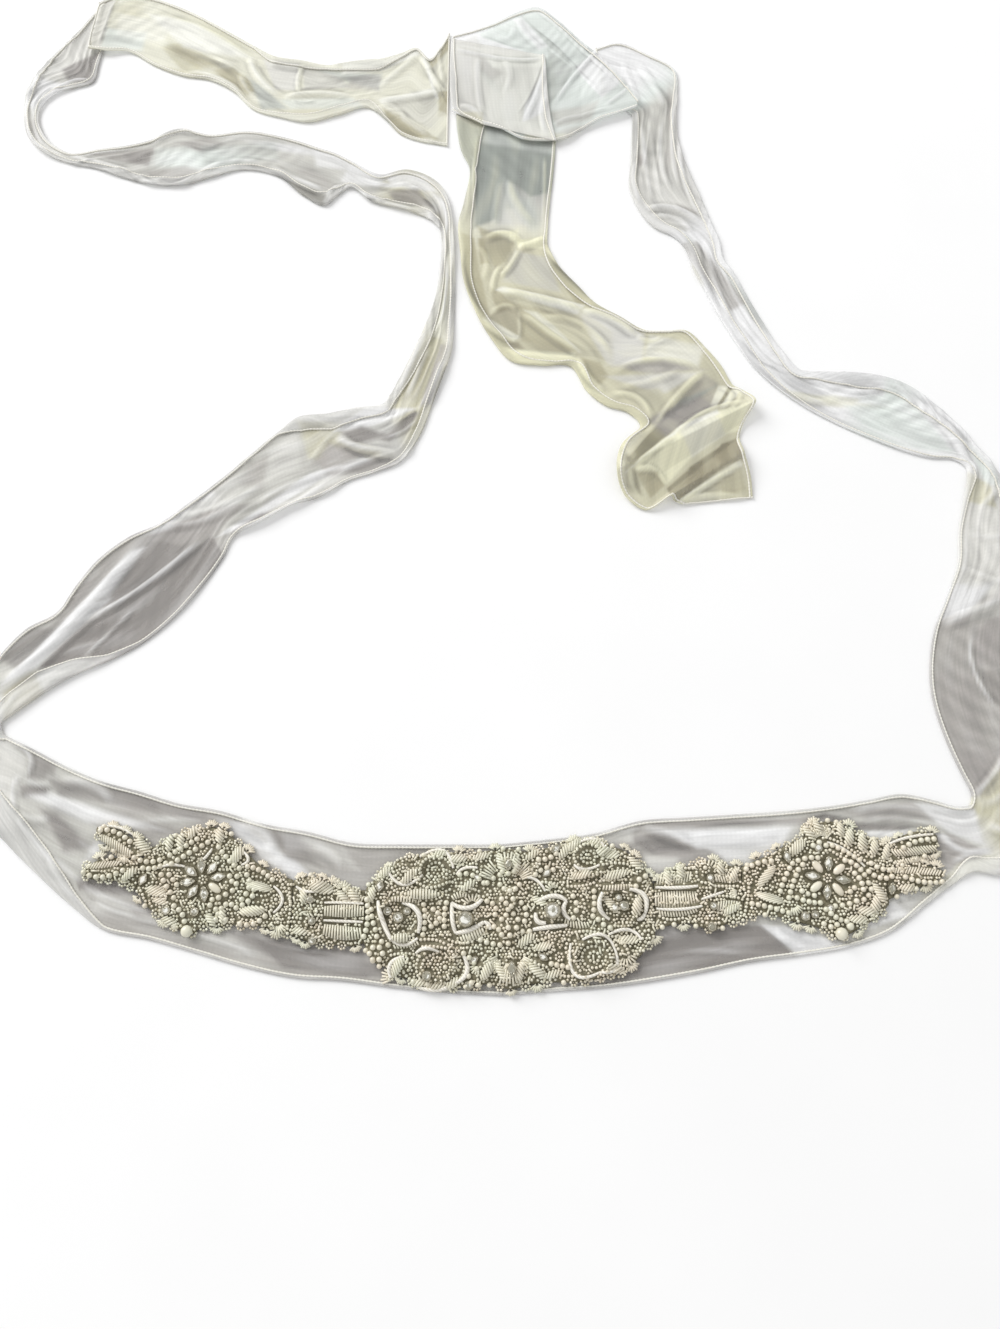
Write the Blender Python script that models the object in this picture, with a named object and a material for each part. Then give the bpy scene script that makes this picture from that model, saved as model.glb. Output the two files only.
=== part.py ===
"""Bridal sash laid out flat: one hemmed organza ribbon with a beaded applique along its middle.

The ribbon is split into the stretches that show. Each stretch is a thin wall lofted through its
sections: at a section the cloth runs from one hem to the other, with the width that is folded back over
each edge lying on top, and soft creases raise it. The applique is a set of thick pads whose tops are
raised into flowers, rings, scrolls and leaves over a flat underside.
Plan places are in millimetres from the middle of the band: +X along the band, +Y away from it.
"""
import math
from collections import namedtuple

import bmesh
import bpy
from mathutils import Vector

MM = 0.001                 # metres in one millimetre
WALL = 1.0                 # thickness of the cloth wall
LAYER_GAP = 0.6            # air between two layers of one stretch
SEAM_GAP = 0.3             # air between two touching pieces
HEM = 2.8                  # width of the rolled hem
FOLD = 2.0 * WALL + LAYER_GAP       # height of a fold, from its underside to its top
BEND = 0.5 * FOLD          # radius of a fold's outer side
ON_CLOTH = WALL + 0.4      # underside of a piece that lies on one layer
ON_FOLD = FOLD + 0.4       # underside of a piece that lies on a hem or a fold
SEAM_TRIM = 0.2            # each end of a stretch stops this far short of the seam
CREASE_STEPS = 16          # points tried along a crease's path
CREASE_TIP = 0.12          # part of the half wave that is cut off each end of a crease
CREASE_BLUNT = 0.7         # power that keeps a crease high along most of its length
MIDDLE = (-9.5, 358.25)    # plan middle of the whole sash, which goes to the origin

# One row for each section of a stretch: its two edges in plan, the width of cloth folded back over
# each edge (the rolled hem at least), and how far its underside is lifted.
Section = namedtuple("Section", "left_x left_y right_x right_y left_over right_over lift",
                     defaults=(HEM, HEM, 0.0))
# One row for each large fold: a soft ridge over a curved path from a start, by a middle, to an end.
Crease = namedtuple("Crease", "start_x start_y mid_x mid_y end_x end_y height reach")
# One row for each stretch: how many parts its width is divided into, and what it is made from.
Stretch = namedtuple("Stretch", "name parts sections creases colour")

GREY_CLOTH = (0.56, 0.55, 0.55)
WHITE_CLOTH = (0.78, 0.78, 0.76)
CREAM_CLOTH = (0.80, 0.78, 0.68)
BLUE_CLOTH = (0.60, 0.64, 0.64)
BEADWORK = (0.78, 0.73, 0.62)
CLOTH_ROUGHNESS = 0.6
BEAD_ROUGHNESS = 0.35

BAND = [
    Section(-321, 116, -320.5, 55, HEM, 27),
    Section(-302, 107, -302, 39, HEM, 24),
    Section(-282, 97, -283, 23, HEM, 19),
    Section(-258, 87, -264, 8, HEM, 9),
    Section(-232, 80, -243, -6),
    Section(-205, 72, -214, -12),
    Section(-177, 67, -184, -20),
    Section(-150, 59, -155, -28),
    Section(-122, 54, -126, -34),
    Section(-93, 47, -95, -36),
    Section(-62, 46, -63, -40),
    Section(-30, 46, -30, -43),
    Section(0, 46, 2, -44.5),
    Section(30, 49, 32, -42),
    Section(60, 53, 63, -40),
    Section(90, 61, 93, -36),
    Section(120, 63, 123, -31),
    Section(150, 65, 153, -25),
    Section(180, 67, 184, -21),
    Section(208, 70, 214, -16),
    Section(234, 74, 240, -7),
    Section(257, 78, 262, 8, HEM, 4),
    Section(276, 74, 281, 21, HEM, 5),
    Section(290, 70, 296, 29, HEM, 10),
    Section(298, 70.5, 311, 27, HEM, 12),
]
BAND_CREASES = [
    Crease(-314, 80, -292, 76, -270, 72, 3.0, 8),
    Crease(-300, 96, -278, 88, -250, 80, 2.0, 7),
    Crease(282, 60, 294, 50, 311, 46, 3.5, 6),
    Crease(240, 70, 275, 66, 306, 61, 3.0, 7),
    Crease(96, 57, 120, 53, 152, 46, 2.0, 8),
    Crease(-156, 57, -145, 50, -130, 38, 2.0, 8),
]

LEFT_TURN = [
    Section(-320.5, 55, -321, 116, 27, HEM),
    Section(-334, 65, -322.5, 117, 22, 4),
    Section(-346, 83, -324, 119, 12, 6),
    Section(-352, 107, -325, 122, 5, 8),
    Section(-350, 133, -325, 125, 4, 10),
    Section(-343, 155, -322, 128, HEM, 13),
    Section(-334, 171, -317, 132, HEM, 16),
]
LEFT_TURN_CREASES = [
    Crease(-330, 95, -340, 115, -332, 148, 3.0, 7),
]

LEFT_TAIL_LOWER = [
    Section(-334, 171, -317, 132, HEM, 16),
    Section(-319, 190, -301, 145, HEM, 17),
    Section(-300, 202, -281, 158, HEM, 12),
    Section(-290, 221, -260, 168, HEM, 5),
    Section(-277, 241, -240, 180),
    Section(-258, 258, -219, 200),
    Section(-237, 269, -203, 222),
    Section(-217, 286, -191, 243),
    Section(-198, 303, -185, 258),
    Section(-179, 322, -165, 270),
    Section(-160, 341, -147, 281),
    Section(-146, 353, -127, 289, 12, HEM),
    Section(-125, 356, -107, 302, 14, HEM),
    Section(-103, 361, -88, 309, 10, HEM),
    Section(-85, 364, -69, 319, 8, 5),
]
LEFT_TAIL_LOWER_CREASES = [
    Crease(-325, 153, -287, 193, -243, 260, 4.5, 8),
    Crease(-296, 180, -255, 222, -207, 256, 4.0, 7),
    Crease(-280, 178, -250, 205, -228, 230, 2.5, 6),
    Crease(-238, 264, -190, 281, -135, 318, 4.0, 8),
    Crease(-188, 264, -130, 298, -78, 319, 4.0, 7),
    Crease(-118, 338, -98, 329, -72, 324, 5.0, 7),
]

LEFT_TAIL_UPPER = [
    Section(-85, 364, -69, 319, 8, 5),
    Section(-80, 372, -58, 338, 7, 6),
    Section(-74, 385, -50, 362, 8, 6),
    Section(-67, 402, -42, 387, 9, 6),
    Section(-60, 420, -36, 409, 9, 5),
    Section(-53, 440, -34.5, 433, 7, 5),
    Section(-48, 462, -34, 458, 5, 4),
    Section(-45.5, 486, -34.5, 484, 4, 4),
    Section(-45, 508, -35.5, 510, 4, 4),
    Section(-48, 522, -37.5, 534, 5, 4),
    Section(-56, 530, -42, 553, 7, 5),
    Section(-68, 536, -51, 567, 8, 6),
]
LEFT_TAIL_UPPER_CREASES = [
    Crease(-66, 350, -58, 385, -50, 410, 3.0, 8),
    Crease(-47, 425, -40, 455, -40, 480, 3.0, 7),
]

LEFT_RETURN = [
    Section(-68, 536, -51, 567, 8, 6),
    Section(-84, 541, -73, 578, 7, 5),
    Section(-102, 547, -95, 573, 5, 5),
    Section(-118, 560, -116, 585, 4, 3),
    Section(-127, 553, -131, 594, 7, HEM),
    Section(-137, 543, -146, 600, 14, HEM),
    Section(-155, 553, -163, 607, 10, HEM),
    Section(-175, 571, -184, 613, 6, HEM),
    Section(-203, 578, -207, 616, 5, HEM),
    Section(-229, 570, -232, 613, 8, HEM),
    Section(-252, 562, -258, 618, 9, HEM),
    Section(-275, 563, -277, 609, 8, HEM),
    Section(-298, 570, -299, 602, 8, HEM),
    Section(-322, 579.5, -320, 598, 5, HEM),
]
LEFT_RETURN_CREASES = [
    Crease(-78, 556, -100, 556, -122, 566, 3.0, 7),
    Crease(-285, 588, -250, 602, -215, 598, 3.0, 8),
    Crease(-150, 580, -190, 590, -225, 587, 2.5, 8),
]

LEFT_LOOP = [
    Section(-322, 579.5, -320, 598, 5, HEM),
    Section(-340, 583.5, -341, 593, 4, HEM),
    Section(-357, 590, -352, 598, 4, 3),
    Section(-371, 600, -362, 606, 4, 3),
    Section(-380, 613, -369.5, 618, 4, 3),
    Section(-385, 630, -373.5, 631, 4, 3),
    Section(-387, 648, -371, 645, 5, 4),
    Section(-385, 665, -362, 656, 6, 5),
    Section(-379, 682, -348, 662, 5, 5),
    Section(-369, 699, -334.5, 668, HEM, 5),
    Section(-357, 716, -331.5, 690, HEM, 4),
    Section(-346, 737, -328.5, 714),
    Section(-338, 751, -326, 736),
    Section(-331, 759, -322.5, 757),
]
LEFT_LOOP_CREASES = [
    Crease(-379, 660, -368, 672, -352, 678, 2.5, 7),
]

TOP_RUN = [
    Section(-338, 751, -341, 701, HEM, HEM, ON_FOLD),
    Section(-323, 761, -327, 699, HEM, HEM, ON_FOLD),
    Section(-300, 760.5, -308, 700, HEM, HEM, 0.6),
    Section(-277, 753, -286, 686),
    Section(-252, 739, -262, 675),
    Section(-227, 722, -238, 670),
    Section(-204, 706, -217, 657),
    Section(-186, 695, -200, 639, 8, HEM),
    Section(-165, 691, -178, 631, 8, 5),
    Section(-143, 686, -155, 626, 5, 10),
    Section(-120, 689, -132, 633, 9, 12),
    Section(-98, 692, -107, 641, 11, 8),
]
TOP_RUN_CREASES = [
    Crease(-290, 712, -250, 690, -212, 672, 4.0, 9),
    Crease(-205, 698, -195, 672, -175, 652, 4.5, 8),
    Crease(-178, 652, -150, 652, -108, 650, 4.0, 8),
    Crease(-300, 745, -250, 722, -212, 703, 2.0, 8),
]

LEFT_END = [
    Section(-98, 692, -107, 641, 11, 8),
    Section(-82, 699, -93, 629, 6, HEM),
    Section(-69, 705, -80, 614),
    Section(-58, 693, -65, 607),
    Section(-49, 706, -52, 604),
    Section(-42.5, 721, -42.5, 602),
]
LEFT_END_CREASES = [
    Crease(-102, 650, -75, 652, -45, 660, 4.0, 8),
    Crease(-100, 646, -77, 634, -54, 614, 4.5, 9),
    Crease(-62, 692, -55, 672, -46, 648, 3.5, 7),
]

RIGHT_TURN = [
    Section(298, 70.5, 311, 27, HEM, 12),
    Section(300, 72.5, 330, 32, HEM, 10),
    Section(301, 75.5, 347, 48, HEM, 7),
    Section(301, 79, 356, 70, HEM, 4),
    Section(299.5, 84, 361, 96),
    Section(296.5, 92, 363, 120),
]
RIGHT_TURN_CREASES = [
    Crease(308, 60, 322, 55, 338, 60, 3.0, 7),
    Crease(308, 76, 325, 82, 345, 98, 3.0, 8),
]

RIGHT_TAIL_LOWER = [
    Section(296.5, 92, 363, 120),
    Section(290, 113, 366, 140),
    Section(285, 140, 368, 163),
    Section(286, 163, 368, 188),
    Section(293, 190, 367, 211),
    Section(304, 213, 366, 232),
    Section(315, 238, 366, 252),
    Section(319, 262, 366, 272, HEM, 10),
    Section(326, 287, 363, 290, 4, 12),
    Section(331, 305, 357, 303, 7, 8),
]
RIGHT_TAIL_LOWER_CREASES = [
    Crease(322, 118, 314, 160, 326, 205, 3.5, 8),
    Crease(300, 197, 328, 205, 352, 222, 3.0, 8),
    Crease(335, 240, 340, 265, 345, 295, 3.0, 8),
]

RIGHT_TAIL_MIDDLE = [
    Section(331, 305, 357, 303, 7, 8),
    Section(331, 313, 350, 315, 5, 6),
    Section(324, 318.5, 343, 327, HEM, 7),
    Section(308, 320, 330, 347, HEM, 10),
    Section(288, 326, 312, 368, HEM, 13),
    Section(266, 336, 293, 383, HEM, 12),
    Section(243, 348, 268, 390, HEM, 14),
    Section(221, 362, 240, 391.5, 4, 10),
    Section(203, 377, 221, 393, 5, 7),
]
RIGHT_TAIL_MIDDLE_CREASES = [
    Crease(330, 322, 315, 345, 285, 362, 3.0, 8),
    Crease(283, 360, 255, 366, 215, 378, 3.0, 7),
]

RIGHT_TAIL_UPPER = [
    Section(203, 377, 221, 393, 5, 7),
    Section(188, 394, 209, 409, 7, 6),
    Section(176, 414, 199, 430, 9, 6),
    Section(165, 437, 188, 455, 9, 5),
    Section(156, 460, 179, 477, 9, 5),
    Section(148, 481, 171, 492, 8, 6),
    Section(142, 503, 169, 509, 7, 6),
    Section(134, 513, 164, 527, 8, 6),
    Section(119, 522, 158, 549, 10, 7),
    Section(108, 539, 151, 572, 9, 8),
    Section(102, 560, 146, 591, 7, 7),
    Section(104, 585, 143, 612, 7, 6),
    Section(106, 612, 143, 636, 7, 6),
    Section(107, 632, 145, 655, 6, 5),
]
RIGHT_TAIL_UPPER_CREASES = [
    Crease(125, 536, 141, 528, 153, 523, 4.0, 7),
    Crease(150, 515, 160, 480, 180, 432, 3.5, 7),
    Crease(122, 560, 121, 590, 123, 630, 3.0, 7),
]

SHOULDER = [
    Section(107, 632, 145, 655, 6, 5),
    Section(105, 635, 144.5, 680, 5, HEM),
    Section(101, 640, 123, 697, 4, HEM),
    Section(94, 645, 98, 710, 4, HEM),
    Section(86, 650, 80, 704),
]
SHOULDER_CREASES = [
    Crease(128, 650, 122, 668, 112, 690, 3.5, 8),
]

TOP_FOLD_BACK = [
    Section(110.5, 638, 112.5, 646, 3.2, 3.2, ON_FOLD),
    Section(96, 632, 100, 668, HEM, 5, ON_FOLD),
    Section(80, 626, 84, 691, HEM, 6, ON_FOLD),
    Section(66, 617, 67, 711, HEM, 6, ON_CLOTH),
    Section(52, 607, 49, 731, HEM, 6, ON_FOLD),
    Section(36, 604, 32, 746, HEM, 5, ON_FOLD),
    Section(18, 606, 15, 741, HEM, 4, ON_FOLD),
    Section(0, 617, -4, 729, HEM, HEM, ON_FOLD),
    Section(-18, 624, -22, 721, HEM, HEM, ON_FOLD),
    Section(-39, 634, -39, 715, HEM, HEM, ON_FOLD),
]
TOP_FOLD_BACK_CREASES = [
    Crease(82, 694, 68, 680, 60, 655, 3.5, 8),
    Crease(28, 730, 50, 704, 80, 655, 3.0, 8),
]

TOP_FOLD_FRONT_CREASES = [
    Crease(-17, 693, -18, 660, -13, 632, 3.5, 8),
    Crease(34, 688, 30, 655, 17, 618, 4.0, 8),
    Crease(-8, 688, 0, 660, 12, 630, 2.5, 8),
]
TOP_FOLD_FRONT_LIFT = ON_FOLD + ON_CLOTH
TOP_FOLD_FRONT = [
    Section(37, 693, -38, 711, HEM, HEM, TOP_FOLD_FRONT_LIFT),
    Section(37.5, 684, -39, 692, HEM, 4, TOP_FOLD_FRONT_LIFT),
    Section(38, 672, -39, 670, 4, 6, TOP_FOLD_FRONT_LIFT),
    Section(39, 650, -38.5, 652, 5, 6, TOP_FOLD_FRONT_LIFT),
    Section(40, 628, -36, 640, 5, 4, TOP_FOLD_FRONT_LIFT),
    Section(41, 609, -12, 626, HEM, HEM, TOP_FOLD_FRONT_LIFT),
]

FALL_UPPER = [
    Section(44, 690, -34, 690, HEM, 18),
    Section(45, 655, -35, 656, HEM, 21),
    Section(45, 620, -35, 624, HEM, 23),
    Section(44, 596, -31, 597, HEM, 15),
    Section(42, 572, -24, 578, HEM, 5),
    Section(39, 545, -28, 547, HEM, 8),
    Section(37, 520, -32.5, 522, HEM, 11),
]
FALL_UPPER_CREASES = [
    Crease(5, 572, 8, 545, 10, 522, 3.0, 9),
]

FALL_LOWER = [
    Section(37, 520, -32.5, 522, HEM, 11),
    Section(37, 504, -30.5, 498, 4, 9),
    Section(44, 487, -28, 474, 7, 7),
    Section(58, 468, -20, 448, 9, 6),
    Section(73, 451, -7, 421, 6, 9),
    Section(90, 440, 8, 401, 4, 10),
    Section(108, 428, 30, 397, HEM, 10),
    Section(125, 427, 52, 396, HEM, 8),
    Section(140, 427, 63, 376, HEM, 7),
    Section(153, 412, 77, 363, 4, 8),
    Section(163, 397, 93, 357, 5, 8),
]
FALL_LOWER_CREASES = [
    Crease(-18, 508, 8, 514, 33, 503, 5.0, 9),
    Crease(12, 500, 2, 485, -4, 470, 4.5, 8),
    Crease(0, 466, 45, 449, 92, 424, 5.5, 9),
    Crease(14, 444, 40, 420, 68, 400, 5.0, 9),
    Crease(-10, 440, 10, 420, 40, 412, 4.0, 8),
    Crease(80, 388, 120, 400, 152, 396, 4.0, 9),
]

PLEATED_END = [
    Section(163, 397, 93, 357, 5, 8),
    Section(170, 381, 101, 345, 4, 8, 0.0),
    Section(177, 373, 87, 329, HEM, 6, 4.0),
    Section(184, 362, 82, 306, HEM, 4, 9.0),
    Section(176, 349, 88, 289, HEM, 3, 2.0),
    Section(172, 337, 102, 279, HEM, HEM, 0.0),
    Section(173, 322, 119, 287, HEM, HEM, 7.0),
    Section(177, 305, 122, 285, HEM, HEM, 2.5),
    Section(178, 289, 128, 283.5, HEM, HEM, 0.0),
]
PLEATED_END_CREASES = [
    Crease(152, 388, 130, 370, 105, 352, 3.0, 7),
]

STRETCHES = [
    Stretch("band", 7, BAND, BAND_CREASES, GREY_CLOTH),
    Stretch("left_turn", 4, LEFT_TURN, LEFT_TURN_CREASES, WHITE_CLOTH),
    Stretch("left_tail_lower", 7, LEFT_TAIL_LOWER, LEFT_TAIL_LOWER_CREASES, GREY_CLOTH),
    Stretch("left_tail_upper", 3, LEFT_TAIL_UPPER, LEFT_TAIL_UPPER_CREASES, WHITE_CLOTH),
    Stretch("left_return", 4, LEFT_RETURN, LEFT_RETURN_CREASES, BLUE_CLOTH),
    Stretch("left_loop", 3, LEFT_LOOP, LEFT_LOOP_CREASES, GREY_CLOTH),
    Stretch("top_run", 6, TOP_RUN, TOP_RUN_CREASES, CREAM_CLOTH),
    Stretch("left_end", 7, LEFT_END, LEFT_END_CREASES, CREAM_CLOTH),
    Stretch("right_turn", 5, RIGHT_TURN, RIGHT_TURN_CREASES, WHITE_CLOTH),
    Stretch("right_tail_lower", 7, RIGHT_TAIL_LOWER, RIGHT_TAIL_LOWER_CREASES, GREY_CLOTH),
    Stretch("right_tail_middle", 5, RIGHT_TAIL_MIDDLE, RIGHT_TAIL_MIDDLE_CREASES, WHITE_CLOTH),
    Stretch("right_tail_upper", 4, RIGHT_TAIL_UPPER, RIGHT_TAIL_UPPER_CREASES, BLUE_CLOTH),
    Stretch("shoulder", 5, SHOULDER, SHOULDER_CREASES, WHITE_CLOTH),
    Stretch("top_fold_back", 8, TOP_FOLD_BACK, TOP_FOLD_BACK_CREASES, WHITE_CLOTH),
    Stretch("top_fold_front", 6, TOP_FOLD_FRONT, TOP_FOLD_FRONT_CREASES, WHITE_CLOTH),
    Stretch("fall_upper", 6, FALL_UPPER, FALL_UPPER_CREASES, BLUE_CLOTH),
    Stretch("fall_lower", 8, FALL_LOWER, FALL_LOWER_CREASES, CREAM_CLOTH),
    Stretch("pleated_end", 7, PLEATED_END, PLEATED_END_CREASES, CREAM_CLOTH),
]

# One row for each station of a pad of beadwork, from left to right: its place along the band, and its
# near and far edges.
Station = namedtuple("Station", "x near far")
# One row for each raised form on a pad: a dome of one reach, a ring of one reach and breadth, or a leaf
# of one length and breadth, turned by some degrees.
Raised = namedtuple("Raised", "form x y reach breadth turn height", defaults=(0.0, 0.0, 3.0))
Pad = namedtuple("Pad", "name stations raised")

PAD_UNDER = WALL + SEAM_GAP     # the pads lie just over the band
PAD_EDGE = 1.6                  # thickness of a pad at its edge
PAD_STEP = 4.6                  # spacing of the points on a pad
PAD_BEADS = 0.4                 # least height of the beads that cover a pad

MEDALLION = [
    Station(-83, -14, 19),
    Station(-80, -22, 23),
    Station(-74, -27, 26),
    Station(-68, -28, 33),
    Station(-62, -33, 37),
    Station(-52, -36, 38.5),
    Station(-42, -38, 40),
    Station(-30, -39.5, 41),
    Station(-18, -39, 40.5),
    Station(-8, -37.5, 42),
    Station(6, -41, 43.5),
    Station(18, -38, 41),
    Station(30, -36.5, 44),
    Station(42, -37, 46),
    Station(54, -36, 48),
    Station(66, -33, 46),
    Station(76, -28, 43),
    Station(84, -23, 38),
    Station(90, -16, 31),
    Station(95, -9, 22),
]
MEDALLION_RAISED = [
    Raised("ring", -62, 1, 12, 5),
    Raised("dome", -62, 1, 6),
    Raised("ring", 72, 7, 12, 5),
    Raised("dome", 72, 7, 6),
    Raised("dome", -22, 0, 8, height=4.5),
    Raised("dome", 31, 5, 8, height=4.5),
    Raised("dome", 5, 12, 9, height=3.5),
    Raised("dome", 5, -6, 9, height=3.5),
    Raised("ring", -42, 28, 9, 5),
    Raised("ring", -38, -25, 10, 5),
    Raised("ring", 56, 36, 9, 5),
    Raised("ring", 56, -23, 11, 5),
    Raised("dome", -74, -19, 7, height=2.0),
    Raised("dome", -75, 18, 7, height=2.0),
    Raised("dome", 87, -9, 7, height=2.0),
    Raised("dome", 87, 26, 7, height=2.0),
    Raised("leaf", 5, 33, 20, 12, 90),
    Raised("leaf", 6, -29, 20, 12, 90),
    Raised("leaf", -13, 31, 20, 9, 125, 2.5),
    Raised("leaf", 22, 32, 20, 9, 55, 2.5),
    Raised("leaf", -11, -29, 18, 9, 55, 2.5),
    Raised("leaf", 23, -27, 18, 9, 125, 2.5),
    Raised("leaf", -48, 14, 44, 7, 0, 2.0),
    Raised("leaf", -50, -13, 40, 7, 0, 2.0),
    Raised("leaf", 58, 20, 44, 7, 0, 2.0),
    Raised("leaf", 60, -8, 40, 7, 0, 2.0),
    Raised("dome", -43, 1, 6, height=2.0),
    Raised("dome", 49, 6, 6, height=2.0),
    Raised("dome", -60, 29, 7, height=2.0),
    Raised("dome", 73, 35, 7, height=2.0),
    Raised("dome", -58, -25, 7, height=2.0),
    Raised("dome", 74, -18, 7, height=2.0),
    Raised("dome", -20, 20, 7, height=2.0),
    Raised("dome", 29, 22, 7, height=2.0),
    Raised("dome", -20, -17, 7, height=2.0),
    Raised("dome", 32, -13, 7, height=2.0),
]

LINK_LEFT = [
    Station(-128, -9, 24),
    Station(-118, -13, 27),
    Station(-108, -15, 23),
    Station(-98, -15, 18),
    Station(-90, -16, 17),
    Station(-83.4, -14, 18),
]
LINK_LEFT_RAISED = [
    Raised("dome", -115, 20, 7, height=2.5),
    Raised("leaf", -104, 5, 46, 8, 0, 2.0),
    Raised("leaf", -104, -8, 46, 8, 0, 2.0),
    Raised("dome", -114, -12, 5, height=2.5),
]
LINK_RIGHT = [
    Station(95.4, -6, 22),
    Station(105, -3, 29),
    Station(115, -2, 32),
    Station(125, -5, 35),
    Station(131, -7, 36),
    Station(140, -2, 33),
    Station(150, 0, 32),
]
LINK_RIGHT_RAISED = [
    Raised("dome", 127, 30, 7, height=2.5),
    Raised("leaf", 118, 8, 46, 10, 0, 2.0),
    Raised("leaf", 118, 20, 46, 8, 0, 2.0),
    Raised("dome", 129, -4, 5, height=2.5),
]

MOTIF_LEFT = [
    Station(-225, 17, 36),
    Station(-218, 8, 44),
    Station(-210, 2, 48),
    Station(-200, -3, 53),
    Station(-191, -11, 56),
    Station(-182, -4, 57),
    Station(-172, -4, 55),
    Station(-164, -3, 46),
    Station(-158, -4, 40),
    Station(-150, -3, 33),
    Station(-140, -6, 28),
    Station(-128.4, -9, 24),
]
MOTIF_RIGHT = [
    Station(150.4, 0, 32),
    Station(160, 3, 36),
    Station(170, 2, 40),
    Station(180, -1, 46),
    Station(190, -3, 50),
    Station(198, -6, 58),
    Station(207, -12, 61),
    Station(215, -8, 59),
    Station(224, -3, 54),
    Station(232, 1, 50),
    Station(240, 9, 46),
]

LEAF_LEFT_FAR = [
    Station(-254.5, 53, 57),
    Station(-248, 46, 57),
    Station(-240, 41, 55),
    Station(-232, 38, 50),
    Station(-225.4, 35, 45),
]
LEAF_LEFT_NEAR = [
    Station(-260, 26, 31),
    Station(-252, 24, 36),
    Station(-244, 24, 38),
    Station(-236, 23, 37.5),
    Station(-225.4, 18, 34.6),
]
LEAF_RIGHT_FAR = [
    Station(240.4, 30, 45),
    Station(250, 33, 50),
    Station(260, 36, 54),
    Station(268, 39, 54),
    Station(275, 44, 52),
]
LEAF_RIGHT_NEAR = [
    Station(240.4, 12, 29.6),
    Station(250, 17, 32.6),
    Station(262, 20, 35),
    Station(270, 23, 32),
    Station(276, 26, 30),
]


PETALS = 4
PETAL_MIDDLE = 8.0              # from a flower's middle to the middle of a petal
PETAL_LENGTH = 16.0
PETAL_BREADTH = 8.0


def flower(x, y, inward):
    """A flower of four large petals in a ring of beads, with a drop below it and leaves to its inner side."""
    forms = [
        Raised("dome", x, y, 5, height=4.0),
        Raised("ring", x, y, 19, 6, height=2.5),
        Raised("dome", x + inward * 1, y - 29, 6, height=4.0),
        Raised("dome", x + inward * 8, y + 26, 8, height=2.5),
        Raised("leaf", x + inward * 34, y - 1, 26, 9, -inward * 25, 2.0),
        Raised("leaf", x + inward * 48, y - 12, 24, 8, 0, 2.0),
        Raised("leaf", x + inward * 50, y - 2, 24, 8, -inward * 20, 2.0),
    ]
    for petal in range(PETALS):
        turn = 2.0 * math.pi * (petal + 0.5) / PETALS
        petal_x = x + PETAL_MIDDLE * math.cos(turn)
        petal_y = y + PETAL_MIDDLE * math.sin(turn)
        forms.append(Raised("leaf", petal_x, petal_y, PETAL_LENGTH, PETAL_BREADTH, math.degrees(turn)))
    return forms


PADS = [
    Pad("medallion", MEDALLION, MEDALLION_RAISED),
    Pad("link_left", LINK_LEFT, LINK_LEFT_RAISED),
    Pad("link_right", LINK_RIGHT, LINK_RIGHT_RAISED),
    Pad("motif_left", MOTIF_LEFT, flower(-189, 22, 1)),
    Pad("motif_right", MOTIF_RIGHT, flower(204, 22, -1)),
    Pad("leaf_left_far", LEAF_LEFT_FAR, [Raised("leaf", -239, 47, 36, 9, -34, 2.0)]),
    Pad("leaf_left_near", LEAF_LEFT_NEAR, [Raised("leaf", -242, 29, 36, 9, -5, 2.0)]),
    Pad("leaf_right_far", LEAF_RIGHT_FAR, [Raised("leaf", 257, 44, 36, 9, 22, 2.0)]),
    Pad("leaf_right_near", LEAF_RIGHT_NEAR, [Raised("leaf", 258, 25, 36, 9, 5, 2.0)]),
]


def remove_everything():
    """Start from an empty scene."""
    for thing in list(bpy.data.objects):
        bpy.data.objects.remove(thing)


def add_object(name, mesh, colour, roughness, collection):
    """Make an object with a material of its own."""
    material = bpy.data.materials.new(name)
    material.use_nodes = True
    shader = material.node_tree.nodes["Principled BSDF"]
    shader.inputs["Base Color"].default_value = (*colour, 1.0)
    shader.inputs["Roughness"].default_value = roughness
    shader.inputs["Metallic"].default_value = 0.0
    mesh.materials.append(material)
    thing = bpy.data.objects.new(name, mesh)
    collection.objects.link(thing)
    return thing


def crease_height(creases, x, y):
    """Height of the creases over a place in plan: the highest ridge there, each a soft cosine hump."""
    height = 0.0
    for crease in creases:
        start = Vector((crease.start_x, crease.start_y))
        middle = Vector((crease.mid_x, crease.mid_y))
        end = Vector((crease.end_x, crease.end_y))
        place = Vector((x, y))
        nearest = crease.reach
        fade = 0.0
        for step in range(CREASE_STEPS + 1):
            t = step / CREASE_STEPS
            on_path = (1 - t) ** 2 * start + 2 * t * (1 - t) * middle + t * t * end
            distance = (place - on_path).length
            if distance < nearest:
                nearest = distance
                wave = math.sin(math.pi * (CREASE_TIP + (1 - 2 * CREASE_TIP) * t))
                fade = wave ** CREASE_BLUNT
        hump = 0.5 + 0.5 * math.cos(math.pi * nearest / crease.reach)
        height = max(height, crease.height * fade * hump)
    return height


def folded_over(base, over):
    """The cloth that is folded back over an edge: it lies on the highest crease that it covers.

    base holds the distance from this edge and the height of each point of the cloth under it.
    """
    rise = 0.0
    for (here, low), (there, high) in zip(base, base[1:]):
        if here < over:
            share = min(1.0, (over - here) / (there - here))
            rise = max(rise, low, low + (high - low) * share)
    return [(over, FOLD + rise), (BEND, FOLD + rise), (0.0, BEND + 0.5 * rise)]


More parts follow.
